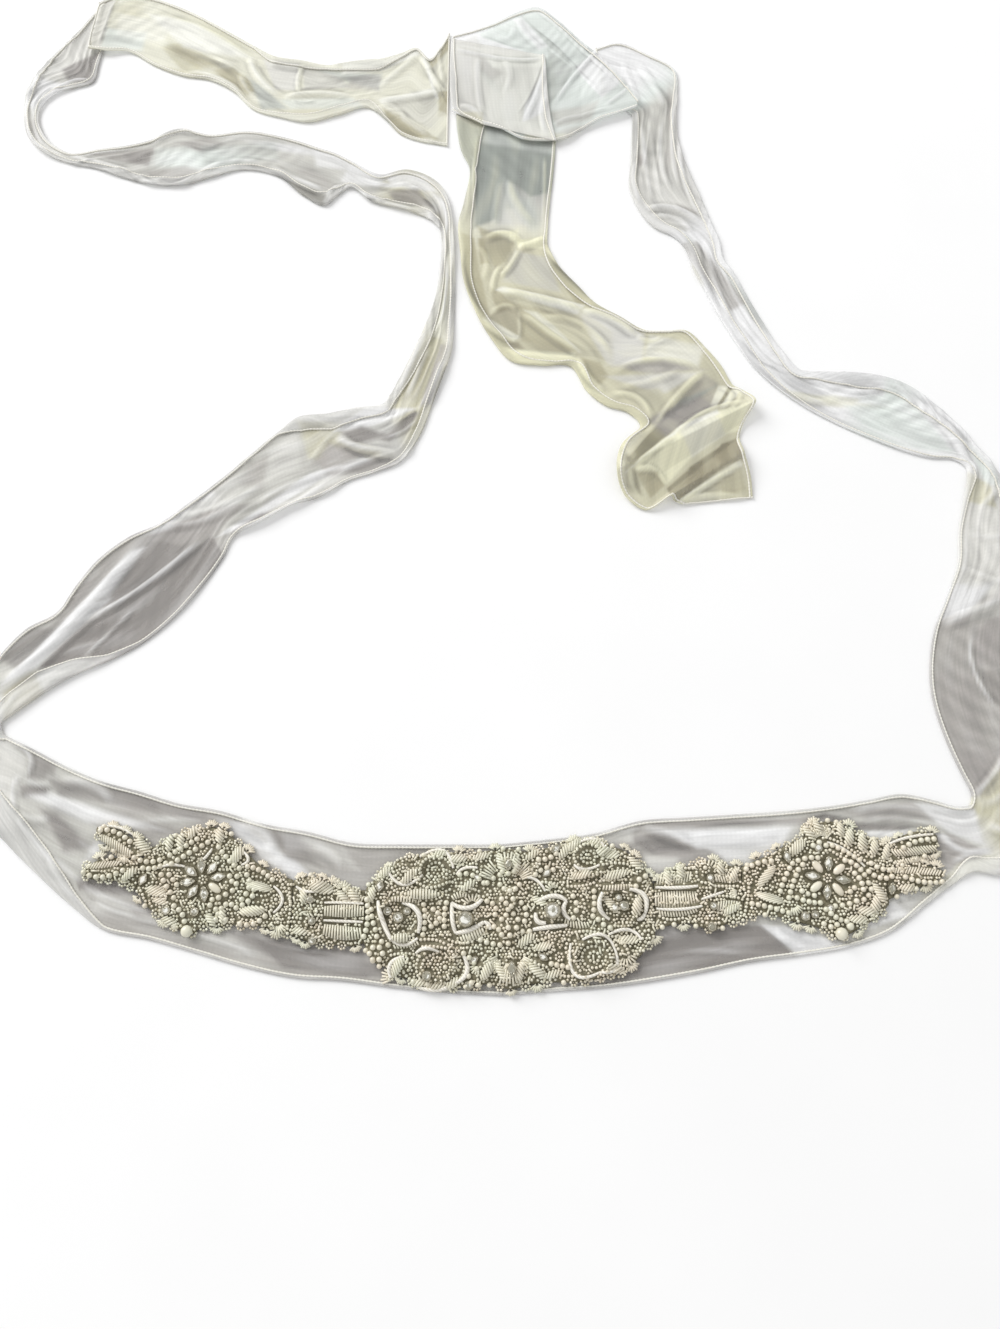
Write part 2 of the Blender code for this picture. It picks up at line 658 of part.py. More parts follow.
def across(row, left, direction, width, stretch):
    """Distance and height of the cloth's outer side over one section, from hem to hem."""
    base = []
    for part in range(stretch.parts + 1):
        distance = BEND + (width - 2 * BEND) * part / stretch.parts
        place = left + direction * distance
        base.append((distance, crease_height(stretch.creases, place.x, place.y)))
    seen_from_right = [(width - distance, height) for distance, height in base[::-1]]
    right_fold = folded_over(seen_from_right, row.right_over)
    outer = folded_over(base, row.left_over) + base
    outer += [(width - distance, height) for distance, height in right_fold[::-1]]
    return [Vector((distance, row.lift + height)) for distance, height in outer]


def inner_side(outer):
    """The cloth's other side: each point of the outer side moved in by the wall, mitred at the corners."""
    normals = []
    for here, there in zip(outer, outer[1:]):
        run = there - here
        normals.append(Vector((-run.y, run.x)).normalized())
    inner = []
    for index, point in enumerate(outer):
        before = normals[max(index - 1, 0)]
        after = normals[min(index, len(normals) - 1)]
        inner.append(point + (before + after) * WALL / (1.0 + before.dot(after)))
    return inner


def trimmed(sections):
    """The edges of each section as plan points, with both ends stopped just short of the seams."""
    edges = [[Vector((row.left_x, row.left_y)), Vector((row.right_x, row.right_y))] for row in sections]
    for end, inner in ((0, 1), (-1, -2)):
        for side in (0, 1):
            inward = edges[inner][side] - edges[end][side]
            edges[end][side] = edges[end][side] + inward.normalized() * SEAM_TRIM
    return edges


def placed(x, y, z):
    """A plan place and a height in millimetres as a point of the sash in metres."""
    return ((x - MIDDLE[0]) * MM, (y - MIDDLE[1]) * MM, z * MM)


def make_stretch(stretch, collection):
    """Loft the wall of one stretch through a closed ring for each section, and cap its two ends."""
    shape = bmesh.new()
    rings = []
    for row, (left, right) in zip(stretch.sections, trimmed(stretch.sections)):
        width = (right - left).length
        direction = (right - left) / width
        outer = across(row, left, direction, width, stretch)
        ring = []
        for distance, height in outer + inner_side(outer)[::-1]:
            place = left + direction * distance
            ring.append(shape.verts.new(placed(place.x, place.y, height)))
        rings.append(ring)
    for ring, following in zip(rings, rings[1:]):
        for index, here in enumerate(ring):
            beside = (index + 1) % len(ring)
            ahead, ahead_beside = following[index], following[beside]
            if index < len(ring) // 2:      # the two sides of the wall are cut along the same diagonals
                shape.faces.new((here, ahead, ahead_beside))
                shape.faces.new((here, ahead_beside, ring[beside]))
            else:
                shape.faces.new((here, ahead, ring[beside]))
                shape.faces.new((ahead, ahead_beside, ring[beside]))
    shape.faces.new(rings[0])
    shape.faces.new(rings[-1][::-1])
    mesh = bpy.data.meshes.new(stretch.name)
    shape.to_mesh(mesh)
    shape.free()
    add_object(stretch.name, mesh, stretch.colour, CLOTH_ROUGHNESS, collection)


def raised_height(form, x, y):
    """Height of one raised form over a place in plan."""
    away = Vector((x - form.x, y - form.y))
    if form.form == "dome":
        share = away.length / form.reach
    elif form.form == "ring":
        share = 2.0 * abs(away.length - form.reach) / form.breadth
    else:
        turn = math.radians(form.turn)
        along = away.x * math.cos(turn) + away.y * math.sin(turn)
        aside = away.y * math.cos(turn) - away.x * math.sin(turn)
        share = math.hypot(2.0 * along / form.reach, 2.0 * aside / form.breadth)
    return form.height * max(0.0, 1.0 - share ** 2)


def spread(stations):
    """Stations no further apart than the pad's step, worked out between the table's rows."""
    closer = []
    for here, there in zip(stations, stations[1:]):
        parts = math.ceil((there.x - here.x) / PAD_STEP)
        for part in range(parts):
            share = part / parts
            closer.append(Station(*(a + (b - a) * share for a, b in zip(here, there))))
    return closer + [stations[-1]]


def make_pad(pad, collection):
    """A pad of beadwork: a raised top over a flat underside, with upright edges."""
    shape = bmesh.new()
    stations = spread(pad.stations)
    parts = math.ceil(max(station.far - station.near for station in stations) / PAD_STEP)
    columns = []
    for column, station in enumerate(stations):
        points = []
        for part in range(parts + 1):
            y = station.near + (station.far - station.near) * part / parts
            z = PAD_UNDER + PAD_EDGE
            if 0 < part < parts and 0 < column < len(stations) - 1:
                z += max([PAD_BEADS] + [raised_height(form, station.x, y) for form in pad.raised])
            points.append(shape.verts.new(placed(station.x, y, z)))
        columns.append(points)
    for points, following in zip(columns, columns[1:]):
        for part in range(parts):
            shape.faces.new((points[part], following[part], following[part + 1], points[part + 1]))
    edge = ([column[0] for column in columns] + columns[-1][1:]
            + [column[-1] for column in columns[-2::-1]] + columns[0][-2:0:-1])
    foot = [shape.verts.new((top.co.x, top.co.y, PAD_UNDER * MM)) for top in edge]
    for index, top in enumerate(edge):
        beside = (index + 1) % len(edge)
        shape.faces.new((top, foot[index], foot[beside], edge[beside]))
    shape.faces.new(foot[::-1])
    mesh = bpy.data.meshes.new(pad.name)
    shape.to_mesh(mesh)
    shape.free()
    add_object(pad.name, mesh, BEADWORK, BEAD_ROUGHNESS, collection)


def main():
    remove_everything()
    sash = bpy.data.collections.new("bridal_sash")
    bpy.context.scene.collection.children.link(sash)
    for stretch in STRETCHES:
        make_stretch(stretch, sash)
    for pad in PADS:
        make_pad(pad, sash)


main()
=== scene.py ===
"""Bridal sash laid out flat: sheer organza ribbon with rolled hems, and a beaded applique on its middle.

Plan places are in millimetres from the middle of the band, +X along the band and +Y away from it, with
heights over the floor. `placed` turns them into metres in the frame.
"""
import math
import random
from collections import namedtuple

import bmesh
import bpy
import numpy as np
from mathutils import Matrix, Vector, kdtree, noise


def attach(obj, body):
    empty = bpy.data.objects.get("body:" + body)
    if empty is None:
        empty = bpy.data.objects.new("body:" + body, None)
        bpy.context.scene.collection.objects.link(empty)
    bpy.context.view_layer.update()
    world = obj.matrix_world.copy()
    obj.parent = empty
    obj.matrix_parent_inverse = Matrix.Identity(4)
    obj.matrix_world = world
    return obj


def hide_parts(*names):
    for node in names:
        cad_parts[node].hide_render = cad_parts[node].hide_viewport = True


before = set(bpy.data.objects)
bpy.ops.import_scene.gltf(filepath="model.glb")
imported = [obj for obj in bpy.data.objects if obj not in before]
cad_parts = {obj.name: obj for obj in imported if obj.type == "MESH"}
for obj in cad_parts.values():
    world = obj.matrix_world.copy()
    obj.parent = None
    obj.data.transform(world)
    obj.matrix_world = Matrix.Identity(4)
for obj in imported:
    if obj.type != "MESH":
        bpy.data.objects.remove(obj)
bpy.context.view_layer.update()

MM = 0.001
MIDDLE = (-9.5, 358.25)     # plan middle of the sash, which lies over the frame's origin

# ---------------------------------------------------------------- sizes of the cloth
RIBBON_WIDTH = 90.0         # the ribbon as cut
HEM = 2.8                   # a rolled hem takes this much of an edge
HEM_TURN = 1.9              # of which this much is rolled up in the thread
CLOTH_THICK = 0.3
CLOTH_RISE = 0.55           # middle of the lowest layer over the floor
ON_CLOTH = 1.4              # lift of a stretch that lies on one layer
ON_FOLD = 3.0               # lift of a stretch that lies on a hem or a fold
FRONT_LIFT = 4.0            # lift of the front layer of the top fold
HEM_HEIGHT = 0.9            # height of the turned edge over the cloth beside it
FOLD_HEIGHT = 2.4           # height of a fold at its bend
FOLD_RUN = 12.0             # a fold comes down from its bend in this width
FLAP_REST = 0.8             # height of folded-back cloth over the layer below, away from its bend
FLAP_PARTS = 5              # parts of a folded-back width, and of a bend
BEND_PARTS = 5
THREAD_RADIUS = 0.62
THREAD_DROP = 0.25          # the thread lies this much under the edge that it binds
STITCH = 2.4                # spacing of the overlock stitches
STITCH_SWELL = 0.24         # how much each stitch swells the rolled edge

# folds and wrinkles
CREASE_PARTS = 14           # straight parts of a crease's path
CREASE_TIP = 0.22           # share of a crease's length in which it dies away at each end
CREASE_SPREAD = 1.6         # how far off a crease is still felt, in reaches
CREASE_CRISP = 0.43         # width of the painted highlight along a crease, as a share of its reach
CREASE_FLANK = 0.45         # how much painted shade darkens the sides of a light crease
FLANK_AT = 0.9              # how far off those sides lie, and how wide they are, in reaches
FLANK_WIDTH = 0.35
PATCH_FADE = 1.35           # a soft patch dies away at this many times its own size
GATHER_HEIGHT = 2.0         # lengthwise gathers, where the ribbon is drawn in to nothing
GATHER_SPACING = 7.0
GATHER_LENGTH = 85.0
GATHER_SHARP = 2.6          # how quickly a gather falls from its ridge, and how hollow its sides are
GATHER_HOLLOW = 1.5
GATHER_USUAL = 0.35         # a gather gets a painted highlight above this share of its height, and painted shade below it
WRINKLE_HEIGHT = 0.7        # soft wrinkles all over
WRINKLE_SPACING = 10.0
WRINKLE_LENGTH = 40.0
WRINKLE_LEAST = 0.4         # share of the wrinkles that shows where the ribbon lies flat
WRINKLE_APART = 7.3         # wrinkles are drawn this far from the gathers in the noise

# how the threads take the light, and the painted light and shade in the cloth's tone
SURFACE_ALPHA = 0.5         # of each of the shell's two faces
LAYER_ALPHA = 0.75          # of both together
FLOOR_SHARE = 0.07          # light that comes through one layer from the floor
LIGHT_LEVEL = 1.03          # what a white surface gives back in this light
DARKEST = 0.004
DOUBLED_WHITER = 0.45
# strength of the painted highlights and painted shade along creases, gathers and wrinkles
CREASE_WHITER = 0.75
CREASE_DARKER = 0.55
GATHER_LIGHT = 0.6
WRINKLE_LIGHT = 0.5
HALF_WAVE = math.pi / 20    # a wave texture's scale at which half a wave takes one metre
WEAVE_SPACING = 1.5         # between threads; a plain weave's wave takes two
WATERED_SPACING = 3.5       # half of a watered wave
WISP_SCALE = (260.0, 26.0, 1.0)

# ---------------------------------------------------------------- sizes of the beadwork
PAD_UNDER = 1.5             # underside of the pads over the floor
PAD_THICK = 1.4
PAD_ROUND = 2.5             # width of a pad's rounded edge
PAD_RIM = 0.2               # the pad's height holds this far outside its edge
PAD_LIP = 0.4               # share of the edge's rounding that is already up at the edge
PAD_NET = 0.8
PAD_STEP = 2.4
BESIDE_PADS = 1.7           # height of the cloth beside the pads
PRESSED_ROUND = 6.0         # width in which the ribbon beside a pad is pressed down
UNDER_PADS_FLATTER = 0.85
BEAD_SIZES = {"pearl": (3.6, 4.0), "small": (2.3, 2.45)}    # diameter, and spacing in a string
STRING_PARTS = 24           # straight parts of a string's curve
SEED_SIZE = 1.9
SEED_UNEVEN = (0.9, 1.25)   # smallest and largest filling seed, in sizes of a seed
SEED_LIFTS = (-0.2, 0.5)    # lowest and highest lift of a filling seed
BUGLE_ACROSS = 1.25
BUGLE_SPACING = 1.7
SATIN_ENDS = 0.72           # length of a satin band's end beads, as a share of its middle ones'
STRIPE_ACROSS = 1.5
STRIPE_SPACING = 1.95
LEAF_PLUMP = 1.3            # how much higher the middle of a leaf is than its tips
LEAF_TAPER = 0.6            # power by which a leaf's stripes shorten to its tips
LEAF_FILL = 0.46            # the stripes of a leaf reach this share of its length from the middle
LEAF_RIM = (0.9, 0.7)       # its outline lies this far outside the stripes, along and across
RIM_SPACING = 1.1           # of the outline's seeds, in sizes of a seed
FAN_SHORTER = 0.12          # share of its length that every second bead of a fan is shorter by
ROSETTE_HEART = 2.4         # a rosette's pearl is smaller than the rosette by this many seeds
SET_AROUND = 1.3            # a claw setting is this much larger than its stone
STONE_HEIGHT = 2.4
SETTING_HEIGHT = 2.2
FLOWER_REACH = 13.0
FLOWER_HEART = 3.2          # reach of the rosette in a flower's middle
PETALS = 8
PETAL = (9.6, 5.0)          # length and breadth
PETAL_HEIGHT = 3.2
DROP_FLATTER = 0.7          # height of a drop pearl, as a share of its width
PETAL_AT = 0.68             # middle of a petal, as a share of the flower's reach
FILL_SPACING = 2.15
FILL_SHIFT = 0.4            # how far a filling bead may lie off its row
FILL_TOUCH = 0.32           # a filling bead clears others by this share of its size
FILL_SEARCH = 6.0           # beads nearer than this are looked at
FILL_INSIDE = 0.5           # a filling bead lies this far inside its pad's edge
CHIP_SHARE = 0.1            # share of short bugles among the filling beads
CHIP_LENGTH = 3.4
TINY_PEARL_SHARE = 0.07
TINY_PEARL = 2.3
EDGING_STEP = 7.5
EDGING_SHIFT = 1.5
EDGE_ROSETTES = 0.4         # chance of a rosette, and of a rosette or a fan, at an edge's next place
EDGE_FANS = 0.75
EDGE_PEARL = 3.4
EDGE_ROSETTE = (2.6, 3.6)   # smallest and largest reach of a rosette and of a fan at the edge
EDGE_FAN = (4.0, 5.5)
EDGE_INSIDE = 1.0           # a place that lies further inside a pad than this has no edging
SUNK = 0.41                 # middle of a bead over what it is sewn to, as a share of its height
# how much higher a bead sits than its rest, by what it is part of
LIFTS = {"satin": 0.5, "leaf": 0.5, "rim": 0.4, "fan": 0.6, "rosette": 0.5, "stone": 1.3, "setting": 0.4,
         "petal": 0.6, "chip": 0.9, "tiny": 0.3, "edge": 0.3}
CORD_PARTS = 14
CORD_PLUMP = 1.25
CORD_TIP = 0.55             # thickness of a cord's ends, as a share of its middle's
CORD_SWELL = 0.25           # angle of the sine wave at which a cord's thickness starts
CORD_EVEN = 5               # places over which a cord's height is evened out
CORD_LIFT = 0.4
# one stone or setting, a millimetre across
STONE_TOP = 0.30            # radius of a stone's flat top
STONE_DEPTH = 0.6
SETTING_TOP = 0.44          # radius of a setting's upper rim
CLAW = 0.09                 # radius of a claw, which is so many times higher than wide
CLAW_TALL = 2.2
CLAW_OUT = 0.40             # how far out, and how high, the middle of a claw is
CLAW_UP = 0.62
MARQUISE_POINT = 1.1        # how much narrower a marquise is at its points

# ---------------------------------------------------------------- table, light and camera, in metres
TABLE_HALF = 4.0
WINDOW_PLACE = (-4.4, 3.7, 3.9)
WINDOW_SIZE = 4.2
WINDOW_POWER = 400.0
ROOM_LIGHT = 0.66
CAMERA_PLACE = (0.0095, -0.39894, 0.6347)
CAMERA_DOWN = 72.0
SENSOR = 36.0
LENS = SENSOR * 1000 / 1329  # a focal length of 1000 lines in a frame of 1329

# sRGB tones of the cloth: grey where it lies single, whiter where it is doubled; also the painted highlights
# and painted shade of its folds and facets
TONES = {
    "smoke": "#9a9692",
    "ash": "#b2aeaa",
    "grey": "#b9b6b1",
    "silver": "#cccbc5",
    "milk": "#dddcd7",
    "white": "#f0f0ed",
    "sage": "#a1a6a0",
    "mist": "#c3c7c2",
    "ice": "#dfe4e0",
    "cream": "#e2e1d3",
    "ivory": "#f0f1e6",
    "butter": "#eeebd2",
    "straw": "#d2cfb9",
    "olive": "#b9b49b",
    "bark": "#9b9580",
    "thorn": "#79745f",
}

# One row for each section of the ribbon: its two edges in plan, its tone (which takes in painted light and
# shade of that part as well as the layer's own grey or white), the width of cloth folded back over each edge
# (the rolled hem at least), and its lift.
Section = namedtuple("Section", "left_x left_y right_x right_y tone left_over right_over lift",
                     defaults=(HEM, HEM, 0.0))
# One row for each crease: a soft ridge over a curved path, with a painted highlight along it (+) or painted
# shade along it (-), as strong as its tone.
Crease = namedtuple("Crease", "start_x start_y mid_x mid_y end_x end_y height reach tone",
                    defaults=(0.4,))
# One row for each soft patch of another tone, which paints local light and shade onto the cloth: its middle,
# length, breadth and turn in degrees.
Patch = namedtuple("Patch", "x y length breadth turn tone strength", defaults=(0.8,))
# One row for each flat facet between creases, its tone being the painted light and shade of that facet: its
# four corners, its tone, how strong that is, and how soft its edges are.
Facet = namedtuple("Facet", "ax ay bx by cx cy dx dy tone strength soft", defaults=(0.9, 3))
# One row for each place where two layers' weaves beat in watered waves.
Watered = namedtuple("Watered", "x y length breadth turn strength")
# One row for each piece of ribbon: the tone that its doubled cloth and its painted highlights on creases and
# gathers turn to (lit), how much it is drawn into gathers, their seed, the step of its mesh, its length as
# cut, the area of cloth that shows in cm2, how it is held, what it lies on, which ends are hemmed, and the
# nodes that it stands for.
Stretch = namedtuple("Stretch", "name sections creases patches watered lit drawn seed step cut shown held "
                                "rests_on hemmed nodes")

# ---------------------------------------------------------------- the ribbon, stretch by stretch
# A stretch goes on from the last section of the one before it.
BAND = [
    Section(-321, 116, -320.5, 55, "milk", HEM, 27),
    Section(-302, 107, -302, 39, "silver", HEM, 24),
    Section(-282, 97, -283, 23, "silver", HEM, 19),
    Section(-258, 87, -264, 8, "silver", HEM, 9),
    Section(-232, 80, -243, -6, "grey"),
    Section(-205, 72, -214, -12, "grey"),
    Section(-177, 67, -184, -20, "grey"),
    Section(-150, 59, -155, -28, "grey"),
    Section(-122, 54, -126, -34, "grey"),
    Section(-93, 47, -95, -36, "grey"),
    Section(-62, 46, -63, -40, "grey"),
    Section(-30, 46, -30, -43, "grey"),
    Section(0, 46, 2, -44.5, "grey"),
    Section(30, 49, 32, -42, "grey"),
    Section(60, 53, 63, -40, "grey"),
    Section(90, 61, 93, -36, "grey"),
    Section(120, 63, 123, -31, "grey"),
    Section(150, 65, 153, -25, "silver"),
    Section(180, 67, 184, -21, "silver"),
    Section(208, 70, 214, -16, "silver"),
    Section(234, 74, 240, -7, "silver"),
    Section(257, 78, 262, 8, "silver", HEM, 4),
    Section(276, 74, 281, 21, "silver", HEM, 5),
    Section(290, 70, 296, 29, "silver", HEM, 10),
    Section(298, 70.5, 311, 27, "milk", HEM, 12),
]
LEFT_TURN = [
    Section(-334, 65, -322.5, 117, "milk", 22, 4),
    Section(-346, 83, -324, 119, "silver", 12, 6),
    Section(-352, 107, -325, 122, "silver", 5, 8),
    Section(-350, 133, -325, 125, "silver", 4, 10),
    Section(-343, 155, -322, 128, "silver", HEM, 13),
    Section(-334, 171, -317, 132, "silver", HEM, 16),
]
LEFT_TAIL_LOWER = [
    Section(-319, 190, -301, 145, "silver", HEM, 17),
    Section(-300, 202, -281, 158, "grey", HEM, 12),
    Section(-290, 221, -260, 168, "grey", HEM, 5),
    Section(-277, 241, -240, 180, "smoke"),
    Section(-258, 258, -219, 200, "smoke"),
    Section(-237, 269, -203, 222, "smoke"),
    Section(-217, 286, -191, 243, "grey"),
    Section(-198, 303, -185, 258, "silver"),
    Section(-179, 322, -165, 270, "silver"),
    Section(-160, 341, -147, 281, "silver"),
    Section(-146, 353, -127, 289, "silver", 12, HEM),
    Section(-125, 356, -107, 302, "silver", 14, HEM),
    Section(-103, 361, -88, 309, "milk", 10, HEM),
    Section(-85, 364, -69, 319, "milk", 8, 5),
]
LEFT_TAIL_UPPER = [
    Section(-80, 372, -58, 338, "straw", 7, 6),
    Section(-74, 385, -50, 362, "straw", 8, 6),
    Section(-67, 402, -42, 387, "straw", 9, 6),
    Section(-60, 420, -36, 409, "straw", 9, 5),
    Section(-53, 440, -34.5, 433, "silver", 7, 5),
    Section(-48, 462, -34, 458, "silver", 5, 4),
    Section(-45.5, 486, -34.5, 484, "silver", 4, 4),
    Section(-45, 508, -35.5, 510, "milk", 4, 4),
    Section(-48, 522, -37.5, 534, "milk", 5, 4),
    Section(-56, 530, -42, 553, "milk", 7, 5),
    Section(-68, 536, -51, 567, "straw", 8, 6),
]
LEFT_RETURN = [
    Section(-84, 541, -73, 578, "straw", 7, 5),
    Section(-102, 547, -95, 573, "silver", 5, 5),
    Section(-118, 560, -116, 585, "silver", 4, 3),
    Section(-127, 553, -131, 594, "silver", 7, HEM),
    Section(-137, 543, -146, 600, "silver", 14, HEM),
    Section(-155, 553, -163, 607, "silver", 10, HEM),
    Section(-175, 571, -184, 613, "silver", 6, HEM),
    Section(-203, 578, -207, 616, "silver", 5, HEM),
    Section(-229, 570, -232, 613, "silver", 8, HEM),
    Section(-252, 562, -258, 618, "silver", 9, HEM),
    Section(-275, 563, -277, 609, "silver", 8, HEM),
    Section(-298, 570, -299, 602, "silver", 8, HEM),
    Section(-322, 579.5, -320, 598, "milk", 5, HEM),
]
LEFT_LOOP = [
    Section(-340, 583.5, -341, 593, "milk", 4, HEM),
    Section(-357, 590, -352, 598, "milk", 4, 3),
    Section(-371, 600, -362, 606, "silver", 4, 3),
    Section(-380, 613, -369.5, 618, "silver", 4, 3),
    Section(-385, 630, -373.5, 631, "milk", 4, 3),
    Section(-387, 648, -371, 645, "milk", 5, 4),
    Section(-385, 665, -362, 656, "silver", 6, 5),
    Section(-379, 682, -348, 662, "silver", 5, 5),
    Section(-369, 699, -334.5, 668, "silver", HEM, 5),
    Section(-357, 716, -331.5, 690, "silver", HEM, 4),
    Section(-346, 737, -328.5, 714, "milk"),
    Section(-338, 751, -326, 736, "milk"),
    Section(-331, 759, -322.5, 757, "white"),
]
TOP_RUN = [
    Section(-338, 751, -341, 701, "straw", HEM, HEM, ON_FOLD),
    Section(-323, 761, -327, 699, "cream", HEM, HEM, ON_FOLD),
    Section(-300, 760.5, -308, 700, "cream", HEM, HEM, 0.6),
    Section(-277, 753, -286, 686, "cream"),
    Section(-252, 739, -262, 675, "cream"),
    Section(-227, 722, -238, 670, "cream"),
    Section(-204, 706, -217, 657, "cream"),
    Section(-186, 695, -200, 639, "cream", 8, HEM),
    Section(-165, 691, -178, 631, "cream", 8, 5),
    Section(-143, 686, -155, 626, "cream", 5, 10),
    Section(-120, 689, -132, 633, "cream", 9, 12),
    Section(-98, 692, -107, 641, "cream", 11, 8),
]
LEFT_END = [
    Section(-82, 699, -93, 629, "cream", 6, HEM),
    Section(-69, 705, -80, 614, "cream"),
    Section(-58, 693, -65, 607, "cream"),
    Section(-49, 706, -52, 604, "cream"),
    Section(-42.5, 721, -42.5, 602, "cream"),
]
RIGHT_TURN = [
    Section(300, 72.5, 330, 32, "straw", HEM, 10),
    Section(301, 75.5, 347, 48, "straw", HEM, 7),
    Section(301, 79, 356, 70, "ash", HEM, 4),
    Section(299.5, 84, 361, 96, "ash"),
    Section(296.5, 92, 363, 120, "ash"),
]
RIGHT_TAIL_LOWER = [
    Section(290, 113, 366, 140, "ash"),
    Section(285, 140, 368, 163, "ash"),
    Section(286, 163, 368, 188, "ash"),
    Section(293, 190, 367, 211, "ash"),
    Section(304, 213, 366, 232, "milk"),
    Section(315, 238, 366, 252, "milk"),
    Section(319, 262, 366, 272, "milk", HEM, 10),
    Section(326, 287, 363, 290, "milk", 4, 12),
    Section(331, 305, 357, 303, "milk", 7, 8),
]
RIGHT_TAIL_MIDDLE = [
    Section(331, 313, 350, 315, "white", 5, 6),
    Section(324, 318.5, 343, 327, "white", HEM, 7),
    Section(308, 320, 330, 347, "white", HEM, 10),
    Section(288, 326, 312, 368, "white", HEM, 13),
    Section(266, 336, 293, 383, "ice", HEM, 12),
    Section(243, 348, 268, 390, "white", HEM, 14),
    Section(221, 362, 240, 391.5, "white", 4, 10),
    Section(203, 377, 221, 393, "white", 5, 7),
]
RIGHT_TAIL_UPPER = [
    Section(188, 394, 209, 409, "white", 7, 6),
    Section(176, 414, 199, 430, "white", 9, 6),
    Section(165, 437, 188, 455, "white", 9, 5),
    Section(156, 460, 179, 477, "white", 9, 5),
    Section(148, 481, 171, 492, "white", 8, 6),
    Section(142, 503, 169, 509, "white", 7, 6),
    Section(134, 513, 164, 527, "white", 8, 6),
    Section(119, 522, 158, 549, "milk", 10, 7),
    Section(108, 539, 151, 572, "milk", 9, 8),
    Section(102, 560, 146, 591, "milk", 7, 7),
    Section(104, 585, 143, 612, "silver", 7, 6),
    Section(106, 612, 143, 636, "silver", 7, 6),
    Section(107, 632, 145, 655, "silver", 6, 5),
]
SHOULDER = [
    Section(105, 635, 144.5, 680, "ice", 5, HEM),
    Section(101, 640, 123, 697, "white", 4, HEM),
    Section(94, 645, 98, 710, "white", 4, HEM),
    Section(86, 650, 80, 704, "white"),
]
TOP_FOLD_BACK = [
    Section(110.5, 638, 112.5, 646, "ice", 3.2, 3.2, ON_FOLD),
    Section(96, 632, 100, 668, "ice", HEM, 5, ON_FOLD),
    Section(80, 626, 84, 691, "ice", HEM, 6, ON_FOLD),
    Section(66, 617, 67, 711, "ice", HEM, 6, ON_CLOTH),
    Section(52, 607, 49, 731, "ice", HEM, 6, ON_FOLD),
    Section(36, 604, 32, 746, "ice", HEM, 5, ON_FOLD),
    Section(18, 606, 15, 741, "ice", HEM, 4, ON_FOLD),
    Section(0, 617, -4, 729, "ice", HEM, HEM, ON_FOLD),
    Section(-18, 624, -22, 721, "white", HEM, HEM, ON_FOLD),
    Section(-39, 634, -39, 715, "white", HEM, HEM, ON_FOLD),
]
TOP_FOLD_FRONT = [
    Section(37, 693, -40, 711, "milk", HEM, HEM, FRONT_LIFT),
    Section(37.5, 684, -41, 692, "milk", HEM, 4, FRONT_LIFT),
    Section(38, 672, -41, 668, "milk", 4, 6, FRONT_LIFT),
    Section(39, 650, -40, 648, "milk", 5, 6, FRONT_LIFT),
    Section(41, 626, -36, 635, "milk", 5, 4, FRONT_LIFT),
    Section(45, 603, -16, 621, "milk", HEM, HEM, FRONT_LIFT),
]
FALL_UPPER = [
    Section(44, 690, -34, 690, "sage", HEM, 18),
    Section(45, 655, -35, 656, "sage", HEM, 21),
    Section(45, 620, -35, 624, "sage", HEM, 23),
    Section(44, 596, -31, 597, "sage", HEM, 15),
    Section(42, 572, -24, 578, "sage", HEM, 5),
    Section(39, 545, -28, 547, "silver", HEM, 8),
    Section(37, 520, -32.5, 522, "cream", HEM, 11),
]
FALL_LOWER = [
    Section(37, 504, -30.5, 498, "straw", 4, 9),
    Section(44, 487, -28, 474, "straw", 7, 7),
    Section(58, 468, -20, 448, "straw", 9, 6),
    Section(73, 451, -7, 421, "straw", 6, 9),
    Section(90, 440, 8, 401, "straw", 4, 10),
    Section(108, 428, 30, 397, "straw", HEM, 10),
    Section(125, 427, 52, 396, "straw", HEM, 8),
    Section(140, 427, 63, 376, "straw", HEM, 7),
    Section(153, 412, 77, 363, "straw", 4, 8),
    Section(163, 397, 93, 357, "straw", 5, 8),
]
PLEATED_END = [
    Section(170, 381, 101, 345, "straw", 4, 8),
    Section(177, 373, 87, 329, "straw", HEM, 6, 4.0),
    Section(184, 362, 82, 306, "straw", HEM, 4, 9.0),
    Section(176, 349, 88, 289, "straw", HEM, 3, 2.0),
    Section(172, 337, 102, 279, "straw"),
    Section(173, 322, 119, 287, "straw", HEM, HEM, 7.0),
    Section(177, 305, 122, 285, "straw", HEM, HEM, 2.5),
    Section(178, 289, 128, 283.5, "straw"),
]
